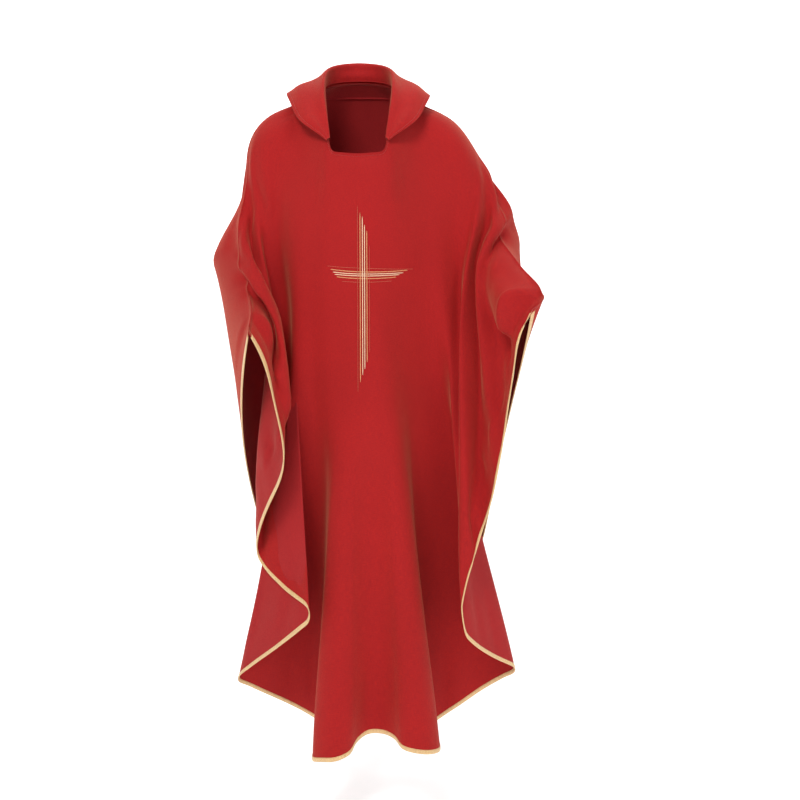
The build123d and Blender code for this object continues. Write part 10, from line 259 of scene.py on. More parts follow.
COLLAR = (
(-555,-1020,-620,-551,-1029,-619,-546,-1037,-626,-542,-1044,-635,-537,-1051,-644,-535,-1059,-643,-541,-1062,-636,-550,-1068,-642,-558,-1074,-648,-567,-1081,-652,-575,-1086,-660,-578,-1088,-671,-580,-1090,-682),
(-573,-939,-527,-564,-955,-514,-556,-977,-525,-551,-999,-530,-560,-1002,-509,-580,-1011,-522,-601,-1020,-535,-624,-1030,-538,-647,-1039,-531,-670,-1048,-526,-693,-1057,-534,-711,-1065,-550,-730,-1072,-567),
(-589,-857,-434,-576,-878,-408,-571,-917,-419,-571,-940,-399,-600,-945,-392,-632,-956,-415,-668,-969,-429,-707,-981,-426,-745,-991,-412,-784,-1002,-403,-820,-1013,-417,-852,-1023,-442,-885,-1033,-465),
(-603,-772,-343,-588,-796,-304,-589,-851,-311,-592,-875,-275,-635,-879,-276,-680,-889,-306,-731,-900,-322,-784,-910,-315,-835,-918,-296,-889,-927,-287,-939,-935,-307,-982,-943,-340,-1027,-951,-371),
(-616,-686,-254,-599,-710,-204,-606,-774,-204,-612,-806,-161,-660,-803,-158,-714,-807,-193,-776,-810,-213,-840,-812,-206,-902,-813,-187,-967,-813,-179,-1025,-814,-205,-1076,-816,-246,-1129,-817,-284),
(-627,-596,-168,-610,-619,-109,-622,-691,-101,-631,-731,-54,-680,-720,-42,-741,-716,-82,-809,-711,-105,-881,-704,-99,-950,-696,-78,-1022,-687,-71,-1087,-680,-102,-1143,-674,-148,-1200,-668,-192),
(-638,-502,-86,-621,-527,-20,-636,-602,-2,-648,-646,51,-697,-631,66,-763,-620,23,-836,-607,-1,-913,-592,7,-987,-576,28,-1063,-559,35,-1133,-544,2,-1195,-532,-45,-1258,-519,-90),
(-648,-405,-9,-631,-431,63,-648,-508,91,-660,-552,153,-714,-532,164,-783,-514,119,-861,-493,96,-941,-470,105,-1019,-446,127,-1099,-422,131,-1173,-401,96,-1239,-382,48,-1308,-361,4),
(-657,-303,63,-640,-331,140,-657,-410,179,-666,-446,253,-730,-419,247,-803,-395,200,-885,-366,181,-968,-335,192,-1050,-303,211,-1133,-271,208,-1208,-243,169,-1278,-218,119,-1351,-191,74),
(-665,-197,129,-647,-227,210,-660,-306,259,-668,-329,344,-742,-294,314,-818,-262,269,-903,-225,252,-988,-186,262,-1072,-147,277,-1156,-108,264,-1232,-74,220,-1303,-42,167,-1378,-9,120),
(-670,-86,186,-651,-117,270,-657,-193,331,-671,-201,418,-746,-161,373,-822,-122,328,-907,-77,311,-992,-30,317,-1078,18,324,-1160,63,300,-1233,103,249,-1303,140,191,-1376,180,140),
(-671,29,233,-651,-2,321,-651,-71,391,-666,-73,478,-738,-27,429,-812,20,383,-893,73,360,-976,128,358,-1059,184,351,-1135,234,314,-1202,278,254,-1265,319,189,-1332,364,130),
(-664,148,269,-645,118,361,-642,56,440,-652,51,532,-720,106,487,-789,160,437,-864,220,405,-941,282,389,-1017,344,366,-1084,398,313,-1140,444,243,-1194,487,170,-1252,533,101),
(-645,269,298,-628,239,393,-625,185,479,-629,175,578,-692,238,542,-754,298,487,-821,364,446,-890,432,414,-956,498,373,-1010,553,307,-1056,598,228,-1100,641,146,-1146,687,67),
(-608,385,320,-593,357,418,-593,312,512,-594,299,614,-649,368,590,-703,434,532,-761,505,482,-820,577,437,-874,645,380,-917,698,302,-953,742,215,-987,784,127,-1023,829,40),
(-545,491,339,-533,465,440,-538,432,540,-540,421,644,-586,493,629,-633,565,568,-681,639,512,-728,714,455,-771,780,385,-803,831,300,-831,874,208,-857,914,114,-884,956,22),
(-459,580,355,-451,556,457,-461,540,562,-465,534,667,-502,609,659,-540,685,596,-579,762,534,-615,836,468,-646,899,389,-670,947,298,-690,987,202,-709,1025,104,-728,1064,8),
(-356,650,367,-352,630,471,-365,632,576,-372,634,683,-399,709,682,-428,789,618,-456,867,551,-482,938,477,-503,997,391,-519,1040,295,-533,1077,196,-545,1111,95,-558,1146,-5),
(-244,704,375,-242,686,480,-255,706,584,-261,716,691,-278,788,701,-298,871,636,-317,949,565,-333,1017,483,-345,1069,390,-354,1108,291,-362,1141,189,-369,1171,86,-377,1201,-17),
(-124,738,379,-123,724,485,-132,755,588,-136,774,693,-144,842,714,-154,928,649,-163,1005,574,-171,1070,488,-176,1115,390,-180,1150,288,-183,1179,184,-186,1205,79,-189,1231,-26),
(0,750,380,0,737,486,0,774,588,0,797,693,0,863,720,0,949,654,0,1027,578,0,1089,489,0,1132,390,0,1164,287,0,1192,182,0,1216,76,0,1240,-30),
(124,738,379,123,724,485,132,755,588,136,774,693,144,842,714,154,928,649,163,1005,574,171,1070,488,176,1115,390,180,1150,288,183,1179,184,186,1205,79,189,1231,-26),
(244,704,375,242,686,480,255,706,584,261,716,691,278,788,701,298,871,636,317,949,565,333,1017,483,345,1069,390,354,1108,291,362,1141,189,369,1171,86,377,1201,-17),
(356,650,367,352,630,471,365,632,576,372,634,683,399,709,682,428,789,618,456,867,551,482,938,477,503,997,391,519,1040,295,533,1077,196,545,1111,95,558,1146,-5),
(459,580,355,451,556,457,461,540,562,465,534,667,502,609,659,540,685,596,579,762,534,615,836,468,646,899,389,670,947,298,690,987,202,709,1025,104,728,1064,8),
(545,491,339,533,465,440,538,432,540,540,421,644,586,493,629,633,565,568,681,639,512,728,714,455,771,780,385,803,831,300,831,874,208,857,914,114,884,956,22),
(608,385,320,593,357,418,593,312,512,594,299,614,649,368,590,703,434,532,761,505,482,820,577,437,874,645,380,917,698,302,953,742,215,987,784,127,1023,829,40),
(645,269,298,628,239,393,625,185,479,629,175,578,692,238,542,754,298,487,821,364,446,890,432,414,956,498,373,1010,553,307,1056,598,228,1100,641,146,1146,687,67),
(664,148,269,645,118,361,642,56,440,652,51,532,720,106,487,789,160,437,864,220,405,941,282,389,1017,344,366,1084,398,313,1140,444,243,1194,487,170,1252,533,101),
(671,29,233,651,-2,321,651,-71,391,666,-73,478,738,-27,429,812,20,383,893,73,360,976,128,358,1059,184,351,1135,234,314,1202,278,254,1265,319,189,1332,364,130),
(670,-86,186,651,-117,270,657,-193,331,671,-201,418,746,-161,373,822,-122,328,907,-77,311,992,-30,317,1078,18,324,1160,63,300,1233,103,249,1303,140,191,1376,180,140),
(665,-197,129,647,-227,210,660,-306,259,668,-329,344,742,-294,314,818,-262,269,903,-225,252,988,-186,262,1072,-147,277,1156,-108,264,1232,-74,220,1303,-42,167,1378,-9,120),
(657,-303,63,640,-331,140,657,-410,179,666,-446,253,730,-419,247,803,-395,200,885,-366,181,968,-335,192,1050,-303,211,1133,-271,208,1208,-243,169,1278,-218,119,1351,-191,74),
(648,-405,-9,631,-431,63,648,-508,91,660,-552,153,714,-532,164,783,-514,119,861,-493,96,941,-470,105,1019,-446,127,1099,-422,131,1173,-401,96,1239,-382,48,1308,-361,4),
(638,-502,-86,621,-527,-20,636,-602,-2,648,-646,51,697,-631,66,763,-620,23,836,-607,-1,913,-592,7,987,-576,28,1063,-559,35,1133,-544,2,1195,-532,-45,1258,-519,-90),
(627,-596,-168,610,-619,-109,622,-691,-101,631,-731,-54,680,-720,-42,741,-716,-82,809,-711,-105,881,-704,-99,950,-696,-78,1022,-687,-71,1087,-680,-102,1143,-674,-148,1200,-668,-192),
(616,-686,-254,599,-710,-204,606,-774,-204,612,-806,-161,660,-803,-158,714,-807,-193,776,-810,-213,840,-812,-206,902,-813,-187,967,-813,-179,1025,-814,-205,1076,-816,-246,1129,-817,-284),
(603,-772,-343,588,-796,-304,589,-851,-311,592,-875,-275,635,-879,-276,680,-889,-306,731,-900,-322,784,-910,-315,835,-918,-296,889,-927,-287,939,-935,-307,982,-943,-340,1027,-951,-371),
(589,-857,-434,576,-878,-408,571,-917,-419,571,-940,-399,600,-945,-392,632,-956,-415,668,-969,-429,707,-981,-426,745,-991,-412,784,-1002,-403,820,-1013,-417,852,-1023,-442,885,-1033,-465),
(573,-939,-527,564,-955,-514,556,-977,-525,551,-999,-530,560,-1002,-509,580,-1011,-522,601,-1020,-535,624,-1030,-538,647,-1039,-531,670,-1048,-526,693,-1057,-534,711,-1065,-550,730,-1072,-567),
(555,-1020,-620,551,-1029,-619,546,-1037,-626,542,-1044,-635,537,-1051,-644,535,-1059,-643,541,-1062,-636,550,-1068,-642,558,-1074,-648,567,-1081,-652,575,-1086,-660,578,-1088,-671,580,-1090,-682),
)
CROSS = {
    'cross_upright_fine_left': (0, ((-0.4, -134.9, -189.1), (-0.4, -134.8, -218.5), (-0.4, -134.9, -247.9), (-0.5, -135.2, -277.4), (-0.5, -135.6, -307.0), (-0.5, -136.3, -336.6), (-0.5, -137.3, -366.3), (-0.5, -138.4, -396.0), (-0.4, -139.7, -425.8), (-0.4, -141.0, -455.7), (-0.4, -142.5, -485.6), (-0.4, -144.1, -515.6), (-0.4, -145.4, -545.7))),
    'cross_upright_gold_left': (1, ((4.3, -135.0, -202.3), (4.3, -135.0, -229.0), (4.3, -135.1, -255.8), (4.3, -135.4, -282.6), (4.3, -135.9, -309.5), (4.3, -136.5, -336.4), (4.3, -137.5, -363.4), (4.3, -138.6, -390.4), (4.3, -139.8, -417.5), (4.3, -141.1, -444.6), (4.4, -142.5, -471.7), (4.4, -143.9, -498.9), (4.4, -145.4, -526.2))),
    'cross_upright_pale_left': (2, ((8.6, -134.9, -209.8), (8.6, -135.0, -234.8), (8.6, -135.1, -259.9), (8.6, -135.4, -285.0), (8.6, -135.9, -310.1), (8.7, -136.6, -335.3), (8.7, -137.5, -360.5), (8.7, -138.5, -385.8), (8.7, -139.7, -411.0), (8.7, -141.0, -436.4), (8.8, -142.4, -461.8), (8.8, -143.8, -487.2), (8.8, -145.2, -512.6))),
    'cross_upright_pale_right': (2, ((12.6, -134.7, -224.9), (12.6, -134.8, -247.7), (12.6, -135.1, -270.6), (12.6, -135.4, -293.5), (12.6, -135.9, -316.5), (12.6, -136.6, -339.4), (12.7, -137.5, -362.4), (12.7, -138.5, -385.4), (12.7, -139.7, -408.5), (12.7, -140.9, -431.6), (12.8, -142.2, -454.7), (12.8, -143.5, -477.9), (12.8, -144.9, -501.0))),
    'cross_upright_gold_right': (1, ((16.9, -134.4, -236.3), (16.9, -134.5, -257.1), (16.9, -134.8, -277.9), (17.0, -135.1, -298.8), (17.0, -135.6, -319.7), (17.0, -136.3, -340.6), (17.0, -137.2, -361.5), (17.1, -138.2, -382.4), (17.1, -139.3, -403.4), (17.1, -140.4, -424.4), (17.1, -141.7, -445.4), (17.2, -143.0, -466.5), (17.2, -144.3, -487.6))),
    'cross_upright_fine_right': (0, ((21.7, -133.9, -264.7), (21.7, -134.2, -281.6), (21.7, -134.4, -298.5), (21.7, -134.9, -315.5), (21.7, -135.4, -332.4), (21.7, -136.1, -349.4), (21.8, -136.9, -366.3), (21.8, -137.8, -383.3), (21.8, -138.7, -400.3), (21.9, -139.7, -417.3), (21.9, -140.7, -434.3), (21.9, -141.8, -451.4), (21.9, -143.0, -468.4))),
    'cross_beam_fine_top': (0, ((-59.3, -126.5, -304.4), (-42.7, -129.9, -305.7), (-26.2, -132.6, -306.6), (-9.7, -134.8, -307.2), (6.7, -135.8, -307.7), (23.1, -134.4, -308.4), (39.5, -130.2, -309.5), (55.9, -123.9, -310.7), (72.3, -116.8, -311.8), (88.9, -108.8, -312.8), (105.5, -100.0, -313.5))),
    'cross_beam_gold_top': (1, ((-52.4, -128.2, -310.7), (-37.7, -130.9, -312.3), (-23.0, -133.2, -313.4), (-8.3, -135.1, -314.2), (6.4, -136.0, -314.7), (21.0, -135.0, -315.1), (35.6, -131.5, -315.4), (50.2, -126.2, -315.6), (64.9, -119.9, -315.7), (79.6, -113.3, -315.5), (94.3, -105.9, -315.1))),
    'cross_beam_pale_upper': (2, ((-48.2, -129.1, -315.7), (-34.7, -131.4, -317.1), (-21.2, -133.5, -318.0), (-7.7, -135.3, -318.5), (5.8, -136.1, -318.8), (19.2, -135.3, -319.0), (32.6, -132.5, -319.2), (46.0, -127.9, -319.4), (59.5, -122.2, -319.6), (73.0, -116.2, -319.6), (86.5, -109.7, -319.6))),
    'cross_beam_pale_lower': (2, ((-44.8, -129.8, -320.2), (-32.4, -131.9, -321.0), (-20.0, -133.8, -321.7), (-7.6, -135.4, -322.2), (4.8, -136.2, -322.5), (17.1, -135.7, -322.7), (29.4, -133.5, -322.8), (41.7, -129.6, -322.9), (54.1, -124.6, -322.9), (66.4, -119.1, -322.9), (78.9, -113.3, -322.8))),
    'cross_beam_gold_bottom': (1, ((-40.8, -130.6, -324.7), (-29.4, -132.4, -325.8), (-18.0, -134.2, -326.6), (-6.6, -135.6, -327.2), (4.8, -136.3, -327.5), (16.1, -135.9, -327.7), (27.5, -134.1, -327.8), (38.8, -130.8, -327.8), (50.2, -126.3, -327.7), (61.5, -121.2, -327.5), (72.9, -115.9, -327.1))),
    'cross_beam_fine_bottom': (0, ((-30.6, -132.4, -333.4), (-21.1, -133.9, -333.9), (-11.6, -135.2, -334.2), (-2.2, -136.1, -334.5), (7.3, -136.5, -334.6), (16.7, -136.1, -334.6), (26.1, -134.7, -334.6), (35.5, -132.2, -334.5), (44.9, -128.7, -334.4), (54.3, -124.5, -334.3), (63.8, -120.1, -334.3))),
}

CLOTH = 0.0009          # visible thickness of the body cloth
BIND_W = 0.0092
BIND_T = 0.0024
sc = bpy.context.scene


# ------------------------------------------------------------ shape helpers
def grid(t):
    a = np.array(t, float) / 10000.0
    return a.reshape(a.shape[0], -1, 3)


def catmull(a, n):
    """Resample axis 0 of a to n samples on a smooth curve."""
    m = len(a)
    x = np.linspace(0, m - 1, n)
    k = np.clip(np.floor(x).astype(int), 0, m - 2)
    t = (x - k).reshape((-1,) + (1,) * (a.ndim - 1))
    p1, p2 = a[k], a[k + 1]
    e = (k == 0).reshape(t.shape)
    f = (k == m - 2).reshape(t.shape)
    p0 = np.where(e, 2 * p1 - p2, a[np.clip(k - 1, 0, m - 1)])
    p3 = np.where(f, 2 * p2 - p1, a[np.clip(k + 2, 0, m - 1)])
    return 0.5 * (2 * p1 + (p2 - p0) * t + (2 * p0 - 5 * p1 + 4 * p2 - p3) * t * t + (3 * p1 - p0 - 3 * p2 + p3) * t ** 3)


def fine(a, nu, nv):
    return catmull(catmull(a, nu).transpose(1, 0, 2), nv).transpose(1, 0, 2)


def normals(g, sign):
    n = np.cross(np.gradient(g, axis=0), np.gradient(g, axis=1)) * sign
    return n / np.maximum(np.linalg.norm(n, axis=-1, keepdims=True), 1e-12)


def lengths(g):
    """Distance down each column and a typical distance across, for the weave."""
    s = np.concatenate([np.zeros((g.shape[0], 1)), np.cumsum(np.linalg.norm(np.diff(g, axis=1), axis=-1), axis=1)], 1)
    r = np.concatenate([[0], np.cumsum(np.linalg.norm(np.diff(g[:, -1], axis=0), axis=-1))])
    return s, r


def add_uv(me, uvs, faces):
    layer = me.uv_layers.new(name="cloth")
    flat = np.array([uvs[i] for f in faces for i in f], float)
    layer.data.foreach_set("uv", flat.reshape(-1))


def make(name, verts, faces, mats, smooth=True, uvs=None, index=None):
    me = bpy.data.meshes.new(name)
    me.from_pydata([tuple(v) for v in verts], [], faces)
    if uvs is not None:
        add_uv(me, uvs, faces)
    me.update()
    for m in mats:
        me.materials.append(m)
    if index is not None:
        me.polygons.foreach_set("material_index", index)
    if smooth:
        me.polygons.foreach_set("use_smooth", [True] * len(me.polygons))
    me.update()
    o = bpy.data.objects.new(name, me)
    sc.collection.objects.link(o)
    return o


def slab(name, g, sign, lo, hi, mats, uv=None, inner_index=0):
    """Closed sheet of cloth between two offsets of the grid g."""
    n = normals(g, sign)
    a, b = g + n * hi, g + n * lo
    nu, nv = g.shape[:2]
    verts = np.concatenate([a.reshape(-1, 3), b.reshape(-1, 3)])
    N = nu * nv
    idx = np.arange(N).reshape(nu, nv)
    q = np.stack([idx[:-1, :-1], idx[:-1, 1:], idx[1:, 1:], idx[1:, :-1]], -1).reshape(-1, 4)
    if sign > 0:
        outer, inner = q[:, ::-1], q + N
    else:
        outer, inner = q, q[:, ::-1] + N
    rim = []
    ring = list(idx[:, 0]) + list(idx[-1, 1:]) + list(idx[-2::-1, -1]) + list(idx[0, -2:0:-1])
    for i, j in zip(ring, ring[1:] + ring[:1]):
        rim.append((i, j, j + N, i + N) if sign > 0 else (j, i, i + N, j + N))
    faces = [tuple(int(x) for x in f) for f in outer] + [tuple(int(x) for x in f) for f in inner] + [tuple(int(x) for x in f) for f in rim]
    mi = [0] * len(outer) + [inner_index] * len(inner) + [0] * len(rim)
    if uv is None:
        s, r = lengths(g)
        uv = np.stack([np.repeat(r[:, None], nv, 1), -s], -1)
    uvs = np.concatenate([uv.reshape(-1, 2), uv.reshape(-1, 2)])
    return make(name, verts, faces, mats, uvs=uvs, index=mi)


def tube(name, loops, mats, uvs=None, closed_ends=True):
    """Skin a list of closed rings."""
    n, k = len(loops), len(loops[0])
    verts = np.concatenate(loops)
    faces = []
    for i in range(n - 1):
        for j in range(k):
            jj = (j + 1) % k
            faces.append((i * k + j, i * k + jj, (i + 1) * k + jj, (i + 1) * k + j))
    if closed_ends:
        faces.append(tuple(range(k - 1, -1, -1)))
        faces.append(tuple((n - 1) * k + j for j in range(k)))
    return make(name, verts, faces, mats, uvs=uvs)


def down(g, s):
    """Points of every column at distance s from the neck edge."""
    ln, _ = lengths(g)
    return np.array([[np.interp(s, ln[i], g[i, :, c]) for c in range(3)] for i in range(len(g))])


def up_from_edge(g, s):
    ln, _ = lengths(g)
    return np.array([[np.interp(ln[i, -1] - s, ln[i], g[i, :, c]) for c in range(3)] for i in range(len(g))])


# ------------------------------------------------------------ materials
def srgb(r, g, b):
    def f(x):
        x /= 255.0
        return x / 12.92 if x <= 0.04045 else ((x + 0.055) / 1.055) ** 2.4
    return (f(r), f(g), f(b), 1.0)


def node(nt, kind, **kw):
    n = nt.nodes.new(kind)
    for k, v in kw.items():
        setattr(n, k, v)
    return n


def cloth_material(name, base, dark, light, rough=0.82, sheen=0.25, tint=(1, 0.5, 0.4, 1), pitch=0.00075, bump=0.35, mottle=0.5):
    m = bpy.data.materials.new(name)
    m.use_nodes = True
    nt = m.node_tree
    b = nt.nodes["Principled BSDF"]
    L = nt.links.new
    uv = node(nt, "ShaderNodeUVMap", uv_map="cloth")
    co = node(nt, "ShaderNodeTexCoord")
    # weave: warp and weft ribs
    sep = node(nt, "ShaderNodeSeparateXYZ")
    L(uv.outputs["UV"], sep.inputs[0])

    def rib(out, phase):
        mul = node(nt, "ShaderNodeMath", operation="MULTIPLY")
        mul.inputs[1].default_value = 2 * math.pi / pitch
        L(out, mul.inputs[0])
        ad = node(nt, "ShaderNodeMath", operation="ADD")
        ad.inputs[1].default_value = phase
        L(mul.outputs[0], ad.inputs[0])
        s = node(nt, "ShaderNodeMath", operation="SINE")
        L(ad.outputs[0], s.inputs[0])
        return s.outputs[0]

    w1, w2 = rib(sep.outputs[0], 0.0), rib(sep.outputs[1], 0.6)
    weave = node(nt, "ShaderNodeMath", operation="MULTIPLY")
    L(w1, weave.inputs[0])
    L(w2, weave.inputs[1])
    # slubs: long thin irregularities along the yarns
    mp = node(nt, "ShaderNodeMapping")
    mp.inputs["Scale"].default_value = (900, 60, 1)
    L(uv.outputs["UV"], mp.inputs[0])
    slub = node(nt, "ShaderNodeTexNoise")
    slub.inputs["Scale"].default_value = 1.0
    slub.inputs["Detail"].default_value = 3.0
    L(mp.outputs[0], slub.inputs["Vector"])
    mp2 = node(nt, "ShaderNodeMapping")
    mp2.inputs["Scale"].default_value = (60, 900, 1)
    L(uv.outputs["UV"], mp2.inputs[0])
    slub2 = node(nt, "ShaderNodeTexNoise")
    slub2.inputs["Scale"].default_value = 1.0
    slub2.inputs["Detail"].default_value = 3.0
    L(mp2.outputs[0], slub2.inputs["Vector"])
    fuzz = node(nt, "ShaderNodeTexNoise")
    fuzz.inputs["Scale"].default_value = 420.0
    fuzz.inputs["Detail"].default_value = 4.0
    fuzz.inputs["Roughness"].default_value = 0.65
    L(co.outputs["Object"], fuzz.inputs["Vector"])
    broad = node(nt, "ShaderNodeTexNoise")
    broad.inputs["Scale"].default_value = 7.0
    broad.inputs["Detail"].default_value = 3.0
    L(co.outputs["Object"], broad.inputs["Vector"])
    # colour: dark between the yarns, light on them, broad uneven dye
    mixn = node(nt, "ShaderNodeMath", operation="ADD")
    L(slub.outputs["Fac"], mixn.inputs[0])
    L(slub2.outputs["Fac"], mixn.inputs[1])
    h2 = node(nt, "ShaderNodeMath", operation="ADD")
    L(mixn.outputs[0], h2.inputs[0])
    L(fuzz.outputs["Fac"], h2.inputs[1])
    ramp = node(nt, "ShaderNodeValToRGB")
    ramp.color_ramp.elements[0].position = 0.30
    ramp.color_ramp.elements[0].color = dark
    ramp.color_ramp.elements[1].position = 0.70
    ramp.color_ramp.elements[1].color = light
    e = ramp.color_ramp.elements.new(0.5)
    e.color = base
    third = node(nt, "ShaderNodeMath", operation="MULTIPLY")
    third.inputs[1].default_value = 1 / 3.0
    L(h2.outputs[0], third.inputs[0])
    L(third.outputs[0], ramp.inputs[0])
    mix = node(nt, "ShaderNodeMix", data_type="RGBA", blend_type="MULTIPLY")
    mix.inputs[0].default_value = mottle
    L(ramp.outputs[0], mix.inputs[6])
    r2 = node(nt, "ShaderNodeValToRGB")
    r2.color_ramp.elements[0].position = 0.35
    r2.color_ramp.elements[0].color = (0.86, 0.84, 0.86, 1)
    r2.color_ramp.elements[1].position = 0.65
    r2.color_ramp.elements[1].color = (1, 1, 1, 1)
    L(broad.outputs["Fac"], r2.inputs[0])
    L(r2.outputs[0], mix.inputs[7])
    L(mix.outputs[2], b.inputs["Base Color"])
    # roughness follows the yarns a little
    rr = node(nt, "ShaderNodeMapRange")
    rr.inputs[3].default_value = rough - 0.06
    rr.inputs[4].default_value = min(rough + 0.10, 1.0)
    L(third.outputs[0], rr.inputs[0])
    L(rr.outputs[0], b.inputs["Roughness"])
    b.inputs["Specular IOR Level"].default_value = 0.25
    b.inputs["Sheen Weight"].default_value = sheen
    b.inputs["Sheen Roughness"].default_value = 0.45
    b.inputs["Sheen Tint"].default_value = tint
    # bump
    hsum = node(nt, "ShaderNodeMath", operation="MULTIPLY_ADD")
    hsum.inputs[1].default_value = 0.35
    L(weave.outputs[0], hsum.inputs[0])
    L(third.outputs[0], hsum.inputs[2])
    bp = node(nt, "ShaderNodeBump")
    bp.inputs["Strength"].default_value = bump
    bp.inputs["Distance"].default_value = 0.0004
    L(hsum.outputs[0], bp.inputs["Height"])
    L(bp.outputs[0], b.inputs["Normal"])
    return m


def thread_material(name, base, dark, light, pitch, rough=0.38, slant=0.5, sheen=0.3):
    """Satin stitch or satin weave: fine ribs across the run, with painted shade in the grooves between the ribs and
    painted highlight on their crowns.
    """
    m = bpy.data.materials.new(name)
    m.use_nodes = True
    nt = m.node_tree
    b = nt.nodes["Principled BSDF"]
    L = nt.links.new
    uv = node(nt, "ShaderNodeUVMap", uv_map="cloth")
    sep = node(nt, "ShaderNodeSeparateXYZ")
    L(uv.outputs["UV"], sep.inputs[0])
    k = node(nt, "ShaderNodeMath", operation="MULTIPLY_ADD")
    k.inputs[1].default_value = slant
    L(sep.outputs[1], k.inputs[0])
    L(sep.outputs[0], k.inputs[2])
    mul = node(nt, "ShaderNodeMath", operation="MULTIPLY")
    mul.inputs[1].default_value = 2 * math.pi / pitch
    L(k.outputs[0], mul.inputs[0])
    s = node(nt, "ShaderNodeMath", operation="SINE")
    L(mul.outputs[0], s.inputs[0])
    mr = node(nt, "ShaderNodeMapRange")
    mr.inputs[1].default_value = -1
    mr.inputs[2].default_value = 1
    L(s.outputs[0], mr.inputs[0])
    mp = node(nt, "ShaderNodeMapping")
    mp.inputs["Scale"].default_value = (700, 90, 1)
    L(uv.outputs["UV"], mp.inputs[0])
    no = node(nt, "ShaderNodeTexNoise")
    no.inputs["Scale"].default_value = 1.0
    no.inputs["Detail"].default_value = 3.0
    L(mp.outputs[0], no.inputs["Vector"])
    av = node(nt, "ShaderNodeMath", operation="MULTIPLY_ADD")
    av.inputs[1].default_value = 0.45
    L(mr.outputs[0], av.inputs[0])
    hf = node(nt, "ShaderNodeMath", operation="MULTIPLY")
    hf.inputs[1].default_value = 0.55
    L(no.outputs["Fac"], hf.inputs[0])
    L(hf.outputs[0], av.inputs[2])
    # colour follows the ribs: painted shade in the grooves and painted highlight on the crowns, mixed with random tone
    # from the noise
    ramp = node(nt, "ShaderNodeValToRGB")
    ramp.color_ramp.elements[0].position = 0.12
    ramp.color_ramp.elements[0].color = dark
    ramp.color_ramp.elements[1].position = 0.75
    ramp.color_ramp.elements[1].color = light
    e = ramp.color_ramp.elements.new(0.42)
    e.color = base
    L(av.outputs[0], ramp.inputs[0])
    L(ramp.outputs[0], b.inputs["Base Color"])
    rr = node(nt, "ShaderNodeMapRange")
    rr.inputs[3].default_value = rough - 0.08
    rr.inputs[4].default_value = rough + 0.16
    L(no.outputs["Fac"], rr.inputs[0])
    L(rr.outputs[0], b.inputs["Roughness"])
    b.inputs["Sheen Weight"].default_value = sheen
    b.inputs["Sheen Tint"].default_value = (1.0, 0.9, 0.75, 1)
    bp = node(nt, "ShaderNodeBump")
    bp.inputs["Strength"].default_value = 0.5
    bp.inputs["Distance"].default_value = 0.0003
    L(av.outputs[0], bp.inputs["Height"])
    L(bp.outputs[0], b.inputs["Normal"])
    return m


RED = cloth_material("red_wool", srgb(164, 19, 22), srgb(138, 13, 20), srgb(186, 30, 22), tint=(1.0, 0.40, 0.22, 1), sheen=0.26)
RED_IN = cloth_material("red_wool_wrong_side", srgb(164, 30, 34), srgb(140, 22, 30), srgb(182, 40, 38), tint=(1.0, 0.42, 0.30, 1), sheen=0.2, rough=0.88)
FACE = cloth_material("facing_cloth", srgb(158, 28, 32), srgb(136, 20, 28), srgb(176, 38, 38), tint=(1.0, 0.42, 0.30, 1), sheen=0.15, rough=0.86, pitch=0.0006)
TAPE = cloth_material("seam_tape", srgb(150, 26, 32), srgb(128, 20, 28), srgb(170, 38, 38), sheen=0.1, rough=0.8, pitch=0.0012)
STIFF = cloth_material("interfacing_cloth", srgb(225, 220, 208), srgb(205, 198, 186), srgb(238, 234, 224), sheen=0.05, rough=0.9, pitch=0.0009)
# the second and third colour of each thread are the painted shade in the grooves between stitches and the painted
# highlight on their crowns
SATIN = thread_material("satin_binding", srgb(214, 172, 112), srgb(168, 124, 78), srgb(240, 208, 156), 0.0011, rough=0.36, slant=1.0)
GOLD = thread_material("gold_thread", srgb(206, 128, 78), srgb(150, 74, 44), srgb(236, 176, 120), 0.0009, rough=0.34)
PALE = thread_material("pale_thread", srgb(236, 196, 158), srgb(186, 124, 90), srgb(250, 226, 198), 0.0009, rough=0.34)
FINE = thread_material("fine_thread", srgb(184, 74, 52), srgb(150, 44, 36), srgb(206, 104, 72), 0.0009, rough=0.45)
SEW = thread_material("sewing_thread", srgb(196, 150, 96), srgb(140, 100, 60), srgb(226, 188, 136), 0.0006, rough=0.5)
SEW_RED = thread_material("red_sewing_thread", srgb(150, 24, 28), srgb(110, 16, 22), srgb(182, 44, 40), 0.0006, rough=0.5)

# ------------------------------------------------------------ the two panels
F0, B0 = grid(FRONT), grid(BACK)
NU, NV = ((289, 121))
FG, BG = fine(F0, NU, NV), fine(B0, NU, NV)


def outward(g, ref):
    n = normals(g, 1.0)
    k = len(g) // 2
    return 1.0 if (n[k - 10:k + 10, 4:20] * np.array(ref)).sum() > 0 else -1.0


FS, BS = outward(FG, (0, -1, 0)), outward(BG, (0, 1, 0))


def trimmed(g, edge):
    """The cloth stops just inside the fold of the binding."""
    ln, _ = lengths(g)
    out = np.empty_like(g)
    nv = g.shape[1]
    for i in range(len(g)):
        s = ln[i] * (ln[i, -1] - edge) / ln[i, -1]
        for c in range(3):
            out[i, :, c] = np.interp(s, ln[i], g[i, :, c])
    return out


def area(g):
    a, b, c, d = g[:-1, :-1], g[1:, :-1], g[1:, 1:], g[:-1, 1:]
    return float(0.5 * np.linalg.norm(np.cross(c - a, d - b), axis=-1).sum())


FT, BT = trimmed(FG, 0.0012), trimmed(BG, 0.0012)
front = slab("front_cloth", FT, FS, -CLOTH / 2, CLOTH / 2, [RED, RED_IN], inner_index=1)
back = slab("back_cloth", BT, BS, -CLOTH / 2, CLOTH / 2, [RED, RED_IN], inner_index=1)


